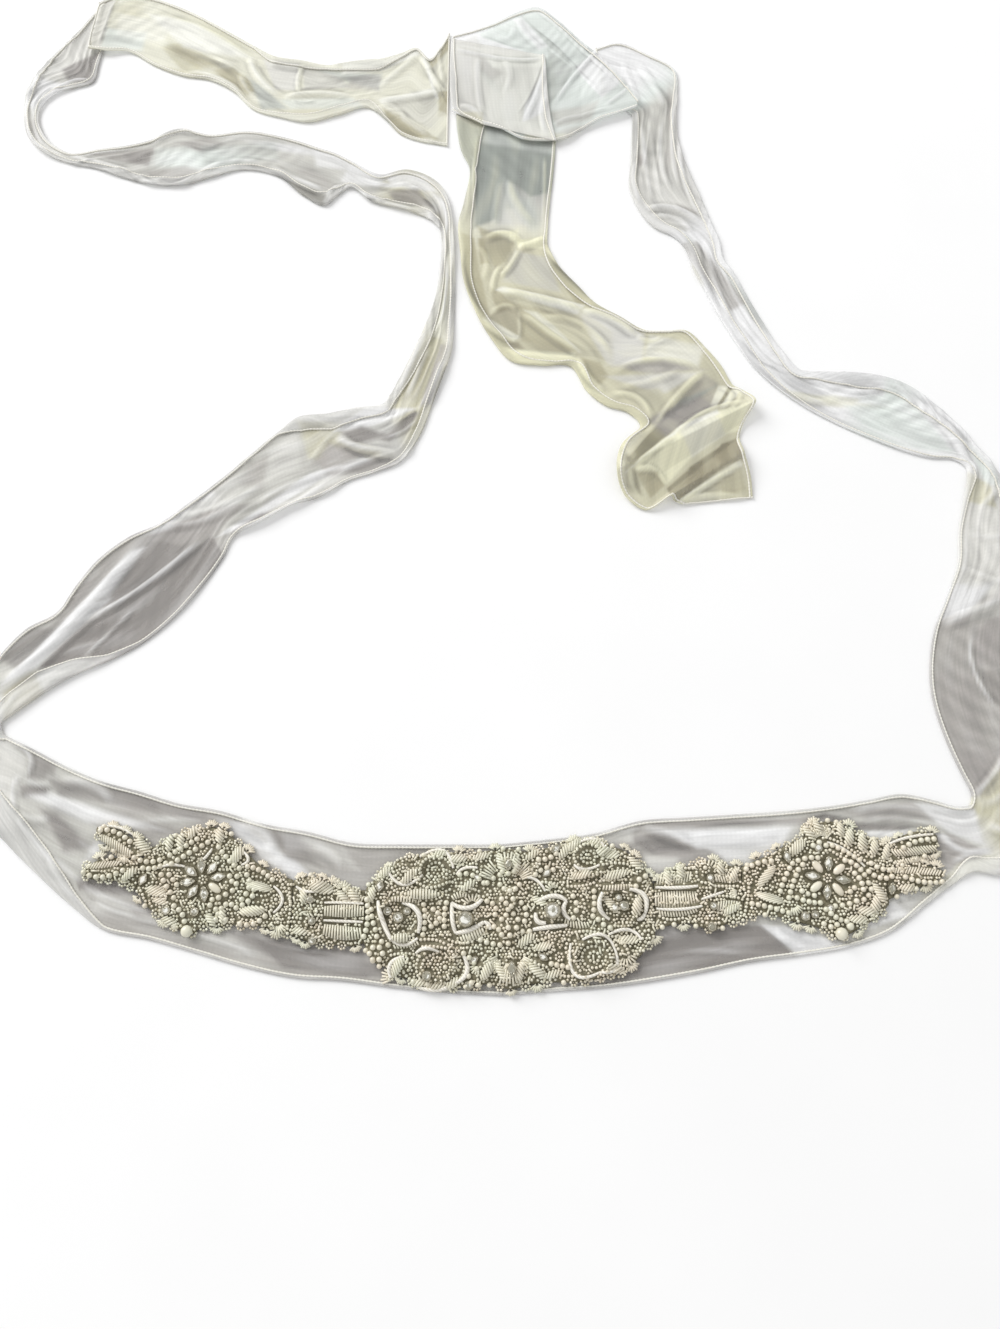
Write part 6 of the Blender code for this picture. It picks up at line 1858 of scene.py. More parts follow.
def silk_organza():
    """Silk organza, plain woven from fine twisted threads and left stiff: sheer, with a soft dry sheen.

    Its tone is in the cloth's points, greyer where one layer lies alone, with painted highlights and painted
    shade along its creases, gathers and wrinkles and over its patches and facets. The weave is drawn at five
    times its real 0.3 mm spacing, because the real one is too fine to show. Where two layers lie together
    their weaves beat against each other in watered waves. It is lighter and darker in fine lengthwise
    streaks, the more so where the ribbon is drawn into gathers.
    """
    material, tree = blank("silk_organza")
    tone = node(tree, "ShaderNodeAttribute", attribute_name="tone", attribute_type="GEOMETRY")
    watered = node(tree, "ShaderNodeAttribute", attribute_name="watered", attribute_type="GEOMETRY")
    spot = node(tree, "ShaderNodeUVMap", uv_map="cloth").outputs[0]
    threads = [node(tree, "ShaderNodeTexWave",
                    {"Vector": spot, "Scale": HALF_WAVE / (WEAVE_SPACING * MM), "Distortion": 1.0,
                     "Detail": 1.0}, wave_type="BANDS", bands_direction=way).outputs["Fac"] for way in "XY"]
    weave = node(tree, "ShaderNodeMath", {0: threads[0], 1: threads[1]}, operation="MULTIPLY")
    waves = node(tree, "ShaderNodeTexWave",
                 {"Vector": spot, "Scale": HALF_WAVE / (WATERED_SPACING * MM), "Distortion": 9.0,
                  "Detail": 2.0, "Detail Scale": 0.35, "Detail Roughness": 0.4},
                 wave_type="BANDS", bands_direction="DIAGONAL")
    beat = node(tree, "ShaderNodeMapRange", {"Value": waves.outputs["Fac"], "To Min": -0.1, "To Max": 0.1})
    beating = node(tree, "ShaderNodeMath", {0: beat.outputs[0], 1: watered.outputs["Fac"]},
                   operation="MULTIPLY")
    shade = node(tree, "ShaderNodeMapRange", {"Value": weave.outputs[0], "To Min": 0.98, "To Max": 1.035})
    drawn = node(tree, "ShaderNodeMapping", {"Vector": spot, "Scale": WISP_SCALE})
    wisps = node(tree, "ShaderNodeTexNoise", {"Vector": drawn.outputs[0], "Scale": 1.0, "Detail": 3.0,
                                              "Roughness": 0.6, "Distortion": 0.8}).outputs["Fac"]
    streak = node(tree, "ShaderNodeMapRange", {"Value": wisps, "From Min": 0.3, "From Max": 0.7,
                                               "To Min": -0.12, "To Max": 0.12})
    lengthwise_streaks = node(tree, "ShaderNodeMath", {0: streak.outputs[0], 1: tone.outputs["Alpha"]},
                        operation="MULTIPLY")
    woven = node(tree, "ShaderNodeMath", {0: lengthwise_streaks.outputs[0], 1: shade.outputs[0]}, operation="ADD")
    level = node(tree, "ShaderNodeMath", {0: beating.outputs[0], 1: woven.outputs[0]}, operation="ADD")
    colour = node(tree, "ShaderNodeVectorMath", {0: tone.outputs["Color"], "Scale": level.outputs[0]},
                  operation="SCALE")
    return finished(material, colour,
                    {"Roughness": 0.5, "IOR": 1.45, "Sheen Weight": 0.2, "Sheen Roughness": 0.4,
                     "Alpha": SURFACE_ALPHA}, (weave.outputs[0], 0.25, 0.0002))


def overlock_thread():
    """Spun polyester thread, wound tightly over the rolled edge: bright and dry, with fine strands."""
    material, tree = blank("overlock_thread")
    spot = node(tree, "ShaderNodeTexCoord").outputs["Object"]
    strands = node(tree, "ShaderNodeTexNoise", {"Vector": spot, "Scale": 900.0, "Detail": 2.0}).outputs["Fac"]
    colour = node(tree, "ShaderNodeMixRGB",
                  {"Fac": strands, "Color1": paint("#d7d4c8"), "Color2": paint("#f8f6ee")})
    return finished(material, colour, {"Roughness": 0.6, "Sheen Weight": 0.2}, (strands, 0.3, 0.0002))


def aged(tree, spot, colour):
    """A bead colour that drifts from place to place, greener or pinker, as its batches and lacquer do."""
    drift = node(tree, "ShaderNodeTexNoise", {"Vector": spot, "Scale": 38.0, "Detail": 1.0}).outputs["Fac"]
    share = node(tree, "ShaderNodeMapRange", {"Value": drift, "From Min": 0.35, "From Max": 0.65}).outputs[0]
    tint = node(tree, "ShaderNodeMixRGB",
                {"Fac": share, "Color1": paint("#f4f6eb"), "Color2": paint("#faf3e9")}).outputs[0]
    return node(tree, "ShaderNodeMixRGB", {"Fac": 1.0, "Color1": colour.outputs[0], "Color2": tint},
                blend_type="MULTIPLY")


def lacquered_pearl():
    """Glass beads under a pearl lacquer: a warm soft body colour with a tight, wet highlight."""
    material, tree = blank("lacquered_glass_pearl")
    spot = node(tree, "ShaderNodeTexCoord").outputs["Object"]
    batch = node(tree, "ShaderNodeTexNoise", {"Vector": spot, "Scale": 210.0, "Detail": 1.0}).outputs["Fac"]
    colour = node(tree, "ShaderNodeMixRGB",
                  {"Fac": batch, "Color1": paint("#d6d1c1"), "Color2": paint("#fbf9f1")})
    return finished(material, aged(tree, spot, colour),
                    {"Roughness": 0.32, "IOR": 1.52, "Coat Weight": 0.35, "Coat Roughness": 0.12})


def seed_glass():
    """Silver-lined seed beads, cut from drawn glass cane: small, bright and uneven."""
    material, tree = blank("silver_lined_seed_glass")
    spot = node(tree, "ShaderNodeTexCoord").outputs["Object"]
    batch = node(tree, "ShaderNodeTexNoise", {"Vector": spot, "Scale": 420.0, "Detail": 1.0}).outputs["Fac"]
    contrast = node(tree, "ShaderNodeMapRange", {"Value": batch, "From Min": 0.3, "From Max": 0.7}).outputs[0]
    colour = node(tree, "ShaderNodeMixRGB",
                  {"Fac": contrast, "Color1": paint("#c9c3b1"), "Color2": paint("#fffdf5")})
    return finished(material, aged(tree, spot, colour), {"Roughness": 0.22, "IOR": 1.52, "Metallic": 0.15})


def bugle_glass():
    """Satin bugle beads, long tubes cut from frosted cane: silky along their length."""
    material, tree = blank("satin_bugle_glass")
    spot = node(tree, "ShaderNodeTexCoord").outputs["Object"]
    batch = node(tree, "ShaderNodeTexNoise", {"Vector": spot, "Scale": 300.0, "Detail": 1.0}).outputs["Fac"]
    colour = node(tree, "ShaderNodeMixRGB",
                  {"Fac": batch, "Color1": paint("#dcd8c9"), "Color2": paint("#fdfbf3")})
    return finished(material, aged(tree, spot, colour), {"Roughness": 0.35, "IOR": 1.52})


def rayon_cord():
    """Twisted rayon cord, couched down by hand: plump and white, ribbed by its twist, with painted shade in
    the grooves and painted highlight on the ribs of its twist.
    """
    material, tree = blank("twisted_rayon_cord")
    spot = node(tree, "ShaderNodeTexCoord").outputs["Object"]
    twist_ribs_and_shade = node(tree, "ShaderNodeTexWave", {"Vector": spot, "Scale": 260.0, "Distortion": 3.0},
                 wave_type="BANDS", bands_direction="DIAGONAL").outputs["Fac"]
    colour = node(tree, "ShaderNodeMixRGB",
                  {"Fac": twist_ribs_and_shade, "Color1": paint("#ded9ca"), "Color2": paint("#fbf7ee")})
    return finished(material, colour, {"Roughness": 0.55, "Sheen Weight": 0.3}, (twist_ribs_and_shade, 0.4, 0.0003))


def cut_crystal():
    """Foil-backed lead crystal, cut and polished: glossy, with random cells painted grey-silver or white as
    painted glints of its facets.
    """
    material, tree = blank("foiled_cut_crystal")
    spot = node(tree, "ShaderNodeTexCoord").outputs["Object"]
    glint_cells = node(tree, "ShaderNodeTexVoronoi", {"Vector": spot, "Scale": 560.0}).outputs["Color"]
    painted_glints = node(tree, "ShaderNodeMapRange", {"Value": glint_cells, "From Min": 0.35, "From Max": 0.6}).outputs[0]
    colour = node(tree, "ShaderNodeMixRGB",
                  {"Fac": painted_glints, "Color1": paint("#a4a191"), "Color2": paint("#fffef6")})
    return finished(material, colour, {"Roughness": 0.08, "Metallic": 0.3})


def claw_metal():
    """Stamped brass claws under worn rhodium plate: dull grey, darker where the plate has rubbed off."""
    material, tree = blank("rhodium_plated_claw")
    spot = node(tree, "ShaderNodeTexCoord").outputs["Object"]
    rubbed = node(tree, "ShaderNodeTexNoise", {"Vector": spot, "Scale": 350.0, "Detail": 2.0}).outputs["Fac"]
    colour = node(tree, "ShaderNodeMixRGB",
                  {"Fac": rubbed, "Color1": paint("#9c9682"), "Color2": paint("#d6d1c0")})
    return finished(material, colour, {"Metallic": 0.9, "Roughness": 0.38})


def beaded_net():
    """Cotton net packed with thread under the beads: dull, and coloured dark as painted shade in the gaps
    between them.
    """
    material, tree = blank("cotton_net")
    spot = node(tree, "ShaderNodeTexCoord").outputs["Object"]
    holes = node(tree, "ShaderNodeTexVoronoi", {"Vector": spot, "Scale": 700.0}).outputs["Distance"]
    colour = node(tree, "ShaderNodeMixRGB",
                  {"Fac": holes, "Color1": paint("#968f78"), "Color2": paint("#6d6954")})
    return finished(material, colour, {"Roughness": 0.8}, (holes, 0.6, 0.0004))


# ---------------------------------------------------------------- cloth
def creased(places, creases):
    """Height that the creases give at plan places, and the light that they paint into the tone: a painted
    highlight along a light crease with painted shade on its sides, and painted shade along a grey one.
    """
    height = np.zeros(len(places))
    light = np.zeros(len(places))
    for crease in creases:
        path = curved(crease, CREASE_PARTS)
        spread = CREASE_SPREAD * crease.reach
        inside = (places > path.min(0) - spread) & (places < path.max(0) + spread)
        near = np.flatnonzero(inside.all(1))
        if not len(near):
            continue
        run = np.diff(path, axis=0)
        offset = places[near][:, None, :] - path[:-1]
        t = np.clip((offset * run).sum(2) / np.maximum((run * run).sum(1), 1e-9), 0, 1)
        gap = np.linalg.norm(offset - t[..., None] * run, axis=2)
        part = gap.argmin(1)
        each = np.arange(len(near))
        distance = gap[each, part] / crease.reach
        along = (part + t[each, part]) / CREASE_PARTS
        ends = eased(along / CREASE_TIP) * eased((1 - along) / CREASE_TIP)
        ridge = 0.5 + 0.5 * np.cos(np.pi * np.clip(distance, 0, 1))
        flanks = CREASE_FLANK * np.exp(-((distance - FLANK_AT) / FLANK_WIDTH) ** 2) * (crease.tone > 0)
        height[near] = np.maximum(height[near], crease.height * ridge * ends)
        # painted highlight along the crease's line, and painted shade on the sides of a light crease
        light[near] += ends * crease.tone * (np.exp(-(distance / CREASE_CRISP) ** 2) - flanks)
    return height, light


def albedo_for_look(tone):
    """What the threads must give for a layer to look that tone over the pale floor, for the cloth's own tones
    and for its painted light and shade alike.
    """
    return np.clip((linear(TONES[tone]) - FLOOR_SHARE) / (LAYER_ALPHA * LIGHT_LEVEL), DARKEST, 1.0)


def one_side(over):
    """Distance from the edge and height of the points of folded-back cloth and its bend, and the
    bend's radius, for each row."""
    turn = (over - HEM + HEM_TURN)[:, None]
    radius = (0.5 * (HEM_HEIGHT + (FOLD_HEIGHT - HEM_HEIGHT) * eased((over - HEM) / FOLD_RUN)))[:, None]
    distance = turn + (radius - turn) * np.linspace(0, 1, FLAP_PARTS + 1)[:-1]
    rest = np.minimum(FLAP_REST, 2 * radius)
    height = rest + (2 * radius - rest) * eased(1 - (distance - radius) / FOLD_RUN)
    angle = np.radians(np.linspace(90, -90, BEND_PARTS + 1))
    bend_distance = radius * (1 - np.cos(angle))
    bend_height = radius * (1 + np.sin(angle))
    return np.hstack([distance, bend_distance]), np.hstack([height, bend_height]), radius


Laid = namedtuple("Laid", "points plan stack light run along")


def laid_out(sections, creases, seed, step, drawn):
    """A stretch of ribbon as it lies: its points row by row, from the folded-back cloth on the left,
    round the bend, across the layer below, and round to the folded-back cloth on the right."""
    left = np.array([(s.left_x, s.left_y) for s in sections], float)
    right = np.array([(s.right_x, s.right_y) for s in sections], float)
    at = 0.5 * (distance_along(left) + distance_along(right))
    along = np.linspace(0, at[-1], int(math.ceil(at[-1] / step)) + 1)
    left = smooth_through(at, left, along)
    right = smooth_through(at, right, along)
    over_left, over_right, lift = (np.interp(along, at, [getattr(s, name) for s in sections])
                                   for name in ("left_over", "right_over", "lift"))
    width = np.linalg.norm(right - left, axis=1)[:, None]
    left_distance, left_stack, left_radius = one_side(over_left)
    right_distance, right_stack, right_radius = one_side(over_right)
    t = np.linspace(0, 1, int(RIBBON_WIDTH / step) + 1)[1:-1]
    base = left_radius + (width - right_radius - left_radius) * t
    distance = np.hstack([left_distance, base, width - right_distance[:, ::-1]])
    stack = np.hstack([left_stack, 0 * base, right_stack[:, ::-1]])
    steps = np.hypot(np.diff(distance, axis=1), np.diff(stack, axis=1))
    run = np.hstack([0 * width, np.cumsum(steps, axis=1)])
    plan = left[:, None] + (distance / width)[..., None] * (right - left)[:, None]

    places = plan.reshape(-1, 2)
    fold, light = (field.reshape(distance.shape) for field in creased(places, creases))
    drawn_in = drawn * np.clip(1 - (width + (over_left + over_right)[:, None]) / RIBBON_WIDTH, 0, 1)
    far = np.broadcast_to(along[:, None], distance.shape)
    gather = 1 - GATHER_SHARP * np.abs(stretched_noise(distance, far, seed, GATHER_SPACING, GATHER_LENGTH))
    gather = np.clip(gather, 0, 1) ** GATHER_HOLLOW
    soft = 0.5 + stretched_noise(distance, far, seed + WRINKLE_APART, WRINKLE_SPACING, WRINKLE_LENGTH)
    wrinkles = WRINKLE_HEIGHT * (WRINKLE_LEAST + drawn_in) * np.clip(soft, 0, 1)
    height = fold + GATHER_HEIGHT * drawn_in * gather + wrinkles
    height = height * (1 - UNDER_PADS_FLATTER * pressed_flat(places).reshape(height.shape))
    # painted highlights on the ridges of gathers and wrinkles, painted shade in their hollows
    light = light + GATHER_LIGHT * drawn_in * (gather - GATHER_USUAL) + WRINKLE_LIGHT * (soft - 0.5)
    points = np.dstack([plan, CLOTH_RISE + lift[:, None] + stack + height])

    tone = np.array([albedo_for_look(s.tone) for s in sections])
    tone = np.column_stack([np.interp(along, at, tone[:, k]) for k in range(3)])
    return Laid(points, plan, stack, light, run, along), tone


def toned(laid, tone, patches, lit):
    """The tone of each point: its row's, the painted light and shade of the patches and facets over it,
    whiter where the cloth is doubled, and painted highlights and painted shade along the creases, gathers and
    wrinkles."""
    places = laid.plan.reshape(-1, 2)
    tone = np.repeat(tone, laid.plan.shape[1], axis=0)
    for patch in patches:
        inside = inside_facet if isinstance(patch, Facet) else inside_patch
        share = patch.strength * inside(places, patch)[:, None]
        tone = tone + share * (albedo_for_look(patch.tone) - tone)
    white = albedo_for_look(lit)
    doubled = DOUBLED_WHITER * eased(laid.stack.ravel() / HEM_HEIGHT)[:, None]
    tone = tone + doubled * (white - tone)
    # painted highlights turn the tone towards the lit tone, painted shade darkens it
    light = np.clip(laid.light.ravel(), -1, 1)[:, None]
    lighter = tone + CREASE_WHITER * light * (white - tone)
    darker = tone * (1 + CREASE_DARKER * light)
    return np.clip(np.where(light > 0, lighter, darker), 0, 1)


def cloth(stretch, laid, tone, material):
    """The ribbon's stretch as a thin shell, with its tones in its points."""
    rows, columns = laid.stack.shape
    mesh = grid(stretch.name, columns, rows, laid.points.reshape(-1, 3))
    colours = np.hstack([tone, np.full((len(tone), 1), stretch.drawn)])
    mesh.color_attributes.new("tone", "FLOAT_COLOR", "POINT").data.foreach_set("color", colours.ravel())
    places = laid.plan.reshape(-1, 2)
    beat = sum((row.strength * inside_patch(places, row) for row in stretch.watered), np.zeros(len(places)))
    in_points(mesh, "watered", "FLOAT", beat)
    corner = np.zeros(len(mesh.loops), np.int32)
    mesh.loops.foreach_get("vertex_index", corner)
    spot = np.dstack([laid.run, np.broadcast_to(laid.along[:, None], laid.run.shape)]).reshape(-1, 2) * MM
    mesh.uv_layers.new(name="cloth").data.foreach_set("uv", spot[corner].ravel())
    return thickened(add_object(stretch.name, mesh, material), CLOTH_THICK, 0.0)


def hem(name, lines, material):
    """The rolled edge under its overlock stitches: a tube along each line that swells at every stitch."""
    paths, swells = [], []
    for line in lines:
        at = distance_along(line)
        wanted = np.linspace(0, at[-1], 2 * int(round(at[-1] / STITCH)) + 1)
        paths.append(np.column_stack([np.interp(wanted, at, line[:, k]) for k in range(3)]))
        swells.append(1 + STITCH_SWELL * np.where(np.arange(len(wanted)) % 2, 1.0, -1.0))
    return worn(tubes(name, THREAD_RADIUS, 1, paths, swells, material), "hem_thread")


def ribbon(stretch, materials):
    """A stretch of the sash's ribbon with its hems."""
    laid, tone = laid_out(stretch.sections, stretch.creases, stretch.seed, stretch.step, stretch.drawn)
    tone = toned(laid, tone, stretch.patches, stretch.lit)
    piece = worn(cloth(stretch, laid, tone, materials["organza"]), "organza", *stretch.nodes)
    drop = (0, 0, THREAD_DROP)
    lines = [laid.points[:, 0] - drop, laid.points[:, -1] - drop]
    bend = FLAP_PARTS + BEND_PARTS // 2
    for end, row in (("start", 0), ("end", -1)):
        if end in stretch.hemmed:
            lines.append(laid.points[row, bend:-bend] + (0, 0, HEM_HEIGHT / 2))
    edge = hem(stretch.name + "_hem", lines, materials["thread"])


# ---------------------------------------------------------------- pads of the beadwork
def raised_height(form, places):
    """Height of one raised form over plan places."""
    along, aside = beside(places, form)
    if form.form == "dome":
        share = np.hypot(along, aside) / form.reach
    elif form.form == "ring":
        share = 2.0 * np.abs(np.hypot(along, aside) - form.reach) / form.breadth
    else:
        share = np.hypot(2.0 * along / form.reach, 2.0 * aside / form.breadth)
    return form.height * np.clip(1.0 - share ** 2, 0, 1)


def inside_pad(pad, places):
    """How far plan places lie inside a pad's edge."""
    stations = np.array(pad.stations)
    x, y = places.T
    near = np.interp(x, stations[:, 0], stations[:, 1])
    far = np.interp(x, stations[:, 0], stations[:, 2])
    sideways = np.minimum(y - near, far - y)
    beyond = np.maximum(stations[0, 0] - x, x - stations[-1, 0])
    return np.where(beyond > 0, np.minimum(sideways, -beyond), sideways)


def ground(places):
    """Height of what the beads are sewn to, at plan places: the pads, or the cloth beside them."""
    top = np.full(len(places), BESIDE_PADS)
    for pad in PADS:
        edge = inside_pad(pad, places)
        forms = np.max([raised_height(form, places) for form in pad.raised], axis=0)
        height = PAD_UNDER + PAD_THICK * eased(PAD_LIP + edge / PAD_ROUND) + forms * eased(edge / PAD_ROUND)
        top = np.where(edge > -PAD_RIM, np.maximum(top, height), top)
    return top


def pressed_flat(places):
    """1 where the beadwork holds the ribbon down, 0 away from it."""
    edge = np.max([inside_pad(pad, places) for pad in PADS], axis=0)
    return eased(1 + edge / PRESSED_ROUND)


def net_pad(pad, material):
    """A pad of the beadwork: net and thread under the beads, raised under the larger motifs."""
    stations = np.array(pad.stations, float)
    columns = int(math.ceil((stations[-1, 0] - stations[0, 0]) / PAD_STEP)) + 1
    rows = int(math.ceil((stations[:, 2] - stations[:, 1]).max() / PAD_STEP)) + 1
    x = np.linspace(stations[0, 0], stations[-1, 0], columns)
    near, far = (np.interp(x, stations[:, 0], stations[:, k]) for k in (1, 2))
    y = near + (far - near) * np.linspace(0, 1, rows)[:, None]
    places = np.dstack([np.broadcast_to(x, y.shape), y]).reshape(-1, 2)
    mesh = grid(pad.name + "_net", columns, rows, np.column_stack([places, ground(places)]))
    worn(thickened(add_object(pad.name + "_net", mesh, material), PAD_NET, -1.0), "bead_net", pad.name)


# ---------------------------------------------------------------- beads, at their spots
Spot = namedtuple("Spot", "x y turn length breadth height lift", defaults=(0.0,))


def round_bead(x, y, size, lift=0.0, turn=0):
    """The spot of a round bead."""
    return Spot(x, y, turn, size, size, size, lift)


def strung(rows, spots):
    """Round beads in strings."""
    for row in rows:
        path = curved(row, STRING_PARTS)
        at = distance_along(path)
        size, spacing = BEAD_SIZES[row.bead]
        wanted = np.linspace(0, at[-1], max(int(round(at[-1] / spacing)), 1) + 1)
        for x, y in zip(np.interp(wanted, at, path[:, 0]), np.interp(wanted, at, path[:, 1])):
            spots[row.bead].append(round_bead(x, y, size))


def round_ovals(rows, spots):
    """Round beads round an oval or part of one."""
    for row in rows:
        size, spacing = BEAD_SIZES[row.bead]
        length = math.radians(row.sweep) * 0.5 * (row.reach_x + row.reach_y)
        count = max(int(round(length / spacing)), 3)
        for k in range(count + (row.sweep < 360)):
            angle = math.radians(row.start + row.sweep * k / count)
            spots[row.bead].append(round_bead(row.x + row.reach_x * math.cos(angle),
                                              row.y + row.reach_y * math.sin(angle), size))


def satin_bands(rows, spots):
    """Bugle beads side by side along a curve."""
    for row in rows:
        path = curved(row, STRING_PARTS)
        at = distance_along(path)
        count = max(int(round(at[-1] / BUGLE_SPACING)), 2)
        wanted = np.linspace(0, at[-1], count + 1)
        x, y = np.interp(wanted, at, path[:, 0]), np.interp(wanted, at, path[:, 1])
        heading = np.degrees(np.arctan2(np.gradient(y), np.gradient(x)))
        for k in range(count + 1):
            middle = math.sin(math.pi * (k + 0.5) / (count + 1))
            length = row.breadth * (SATIN_ENDS + (1 - SATIN_ENDS) * middle)
            spots["bugle"].append(Spot(x[k], y[k], heading[k] + 90 + row.slant, length,
                                       BUGLE_ACROSS, BUGLE_ACROSS, LIFTS["satin"]))


def striped_leaves(rows, spots):
    """Leaves of bugle beads laid slantwise, plump in the middle, inside an outline of seed beads."""
    for row in rows:
        turn = math.radians(row.turn)
        middle = np.array([row.x, row.y])
        ahead = np.array([math.cos(turn), math.sin(turn)])
        aside = np.array([-math.sin(turn), math.cos(turn)])
        count = max(int(round(row.length / STRIPE_SPACING)), 3)
        for k in range(count):
            share = (k + 0.5) / count * 2 - 1
            plump = 1 - share ** 2
            place = middle + LEAF_FILL * row.length * share * ahead
            length = 0.5 + row.breadth * plump ** LEAF_TAPER
            spots["bugle"].append(Spot(*place, row.turn + row.slant, length, STRIPE_ACROSS,
                                       STRIPE_ACROSS, LIFTS["leaf"] + LEAF_PLUMP * plump))
        count = int(round(math.pi * 0.5 * (row.length + row.breadth) / (RIM_SPACING * SEED_SIZE)))
        for k in range(count):
            angle = 2 * math.pi * k / count
            place = (middle + (0.5 * row.length + LEAF_RIM[0]) * math.cos(angle) * ahead
                     + (0.5 * row.breadth + LEAF_RIM[1]) * math.sin(angle) * aside)
            spots["seed"].append(round_bead(*place, SEED_SIZE, LIFTS["rim"]))


def fanned(rows, spots):
    """Bugle beads that stand out from one place, long and short by turns."""
    for row in rows:
        for k in range(row.count):
            turn = row.start + row.sweep * k / max(row.count - 1, 1)
            reach = row.outer - FAN_SHORTER * (row.outer - row.inner) * (k % 2)
            middle = 0.5 * (row.inner + reach)
            spots["bugle"].append(Spot(row.x + middle * math.cos(math.radians(turn)),
                                       row.y + middle * math.sin(math.radians(turn)), turn,
                                       reach - row.inner, BUGLE_ACROSS, BUGLE_ACROSS, LIFTS["fan"]))


def rosettes(rows, spots):
    """A small pearl in a ring of seed beads."""
    for row in rows:
        heart = 2 * row.reach - ROSETTE_HEART * SEED_SIZE
        spots["small"].append(round_bead(row.x, row.y, heart, LIFTS["rosette"]))
        reach = row.reach - 0.5 * SEED_SIZE
        count = int(round(2 * math.pi * reach / SEED_SIZE))
        for k in range(count):
            angle = 2 * math.pi * k / count
            spots["seed"].append(round_bead(row.x + reach * math.cos(angle),
                                            row.y + reach * math.sin(angle), SEED_SIZE, LIFTS["rosette"]))


def set_stones(rows, spots):
    """Cut stones in their claw settings."""
    for row in rows:
        spots[row.cut].append(Spot(row.x, row.y, row.turn, row.length, row.breadth,
                                   STONE_HEIGHT, LIFTS["stone"]))
        spots[row.cut + "_setting"].append(Spot(row.x, row.y, row.turn, row.length + SET_AROUND,
                                                row.breadth + SET_AROUND, SETTING_HEIGHT, LIFTS["setting"]))


def flower(row, spots):
    """A flower of long petals, set stones with a pearl by turns, round a small rosette."""
    for kind in ("pearl", "small"):
        spots[kind] = [spot for spot in spots[kind] if math.hypot((spot.x - row.x) / (FLOWER_REACH + 3),
                                                                 (spot.y - row.y) / FLOWER_REACH) > 1]
    rosettes([Rosette(row.x, row.y, FLOWER_HEART)], spots)
    for petal in range(PETALS):
        turn = row.turn + 360 // PETALS * petal
        angle = math.radians(turn)
        place = (row.x + PETAL_AT * (FLOWER_REACH + 1) * math.cos(angle),
                 row.y + PETAL_AT * FLOWER_REACH * math.sin(angle))
        if petal % row.pearl_each == row.pearl_each - 1:
            spots["petal"].append(Spot(*place, turn, *PETAL, PETAL_HEIGHT, LIFTS["petal"]))
        else:
            set_stones([Stone("marquise", *place, *PETAL, turn)], spots)


def filled_in(spots):
    """Seed beads, and a few short bugles, sewn all over the pads between everything else."""
    chance = random.Random(11)
    taken = kdtree.KDTree(3 * sum(len(rows) for rows in spots.values()))
    for rows in spots.values():
        for spot in rows:
            reach = 0.5 * spot.breadth
            half = max(0.5 * spot.length - reach, 0)
            turn = math.radians(spot.turn)
            for along in (-half, 0, half):
                taken.insert((spot.x + along * math.cos(turn), spot.y + along * math.sin(turn), reach), 0)
    taken.balance()
    for pad in PADS:
        stations = np.array(pad.stations)
        row_gap = FILL_SPACING * math.sqrt(3) / 2
        rows = np.arange(stations[:, 1].min(), stations[:, 2].max(), row_gap)
        for k, y in enumerate(rows):
            for x in np.arange(stations[0, 0] + (k % 2) * FILL_SPACING / 2, stations[-1, 0], FILL_SPACING):
                place = (x + chance.uniform(-FILL_SHIFT, FILL_SHIFT),
                         y + chance.uniform(-FILL_SHIFT, FILL_SHIFT))
                size = SEED_SIZE * chance.uniform(*SEED_UNEVEN)
                if inside_pad(pad, np.array([place]))[0] < FILL_INSIDE:
                    continue
                close = [other for other, _, _ in taken.find_range((*place, 0), FILL_SEARCH)]
                if any(math.hypot(place[0] - other[0], place[1] - other[1]) < other[2] + FILL_TOUCH * size
                       for other in close):
                    continue
                turn = chance.uniform(0, 180)
                if chance.random() < CHIP_SHARE:
                    spots["bugle"].append(Spot(*place, turn, CHIP_LENGTH, BUGLE_ACROSS, BUGLE_ACROSS,
                                               LIFTS["chip"]))
                elif chance.random() < TINY_PEARL_SHARE:
                    spots["small"].append(round_bead(*place, TINY_PEARL, LIFTS["tiny"], turn))
                else:
                    spots["seed"].append(round_bead(*place, size, chance.uniform(*SEED_LIFTS), turn))


def edging(spots):
    """Loops, fans and single pearls sewn by turns round the edges of the pads, so the edge is lacy."""
    chance = random.Random(5)
    for pad in PADS:
        stations = np.array(pad.stations, float)
        for side in (1, 2):
            edge = np.column_stack([stations[:, 0], stations[:, side]])
            at = distance_along(edge)
            for distance in np.arange(0.5 * EDGING_STEP, at[-1], EDGING_STEP):
                x, y = (np.interp(distance + chance.uniform(-EDGING_SHIFT, EDGING_SHIFT), at, edge[:, k])
                        for k in (0, 1))
                if max(inside_pad(other, np.array([(x, y)]))[0] for other in PADS) > EDGE_INSIDE:
                    continue
                ahead = np.interp(distance + 1.0, at, edge[:, 1]) - np.interp(distance - 1.0, at, edge[:, 1])
                out = math.degrees(math.atan2(ahead, 2.0)) + (90 if side == 2 else -90)
                choice = chance.random()
                if choice < EDGE_ROSETTES:
                    rosettes([Rosette(x, y, chance.uniform(*EDGE_ROSETTE))], spots)
                elif choice < EDGE_FANS:
                    fanned([Fan(x, y, 0.5, chance.uniform(*EDGE_FAN), out - 60, 120, 7)], spots)
                else:
                    spots["pearl"].append(round_bead(x, y, EDGE_PEARL, LIFTS["edge"]))


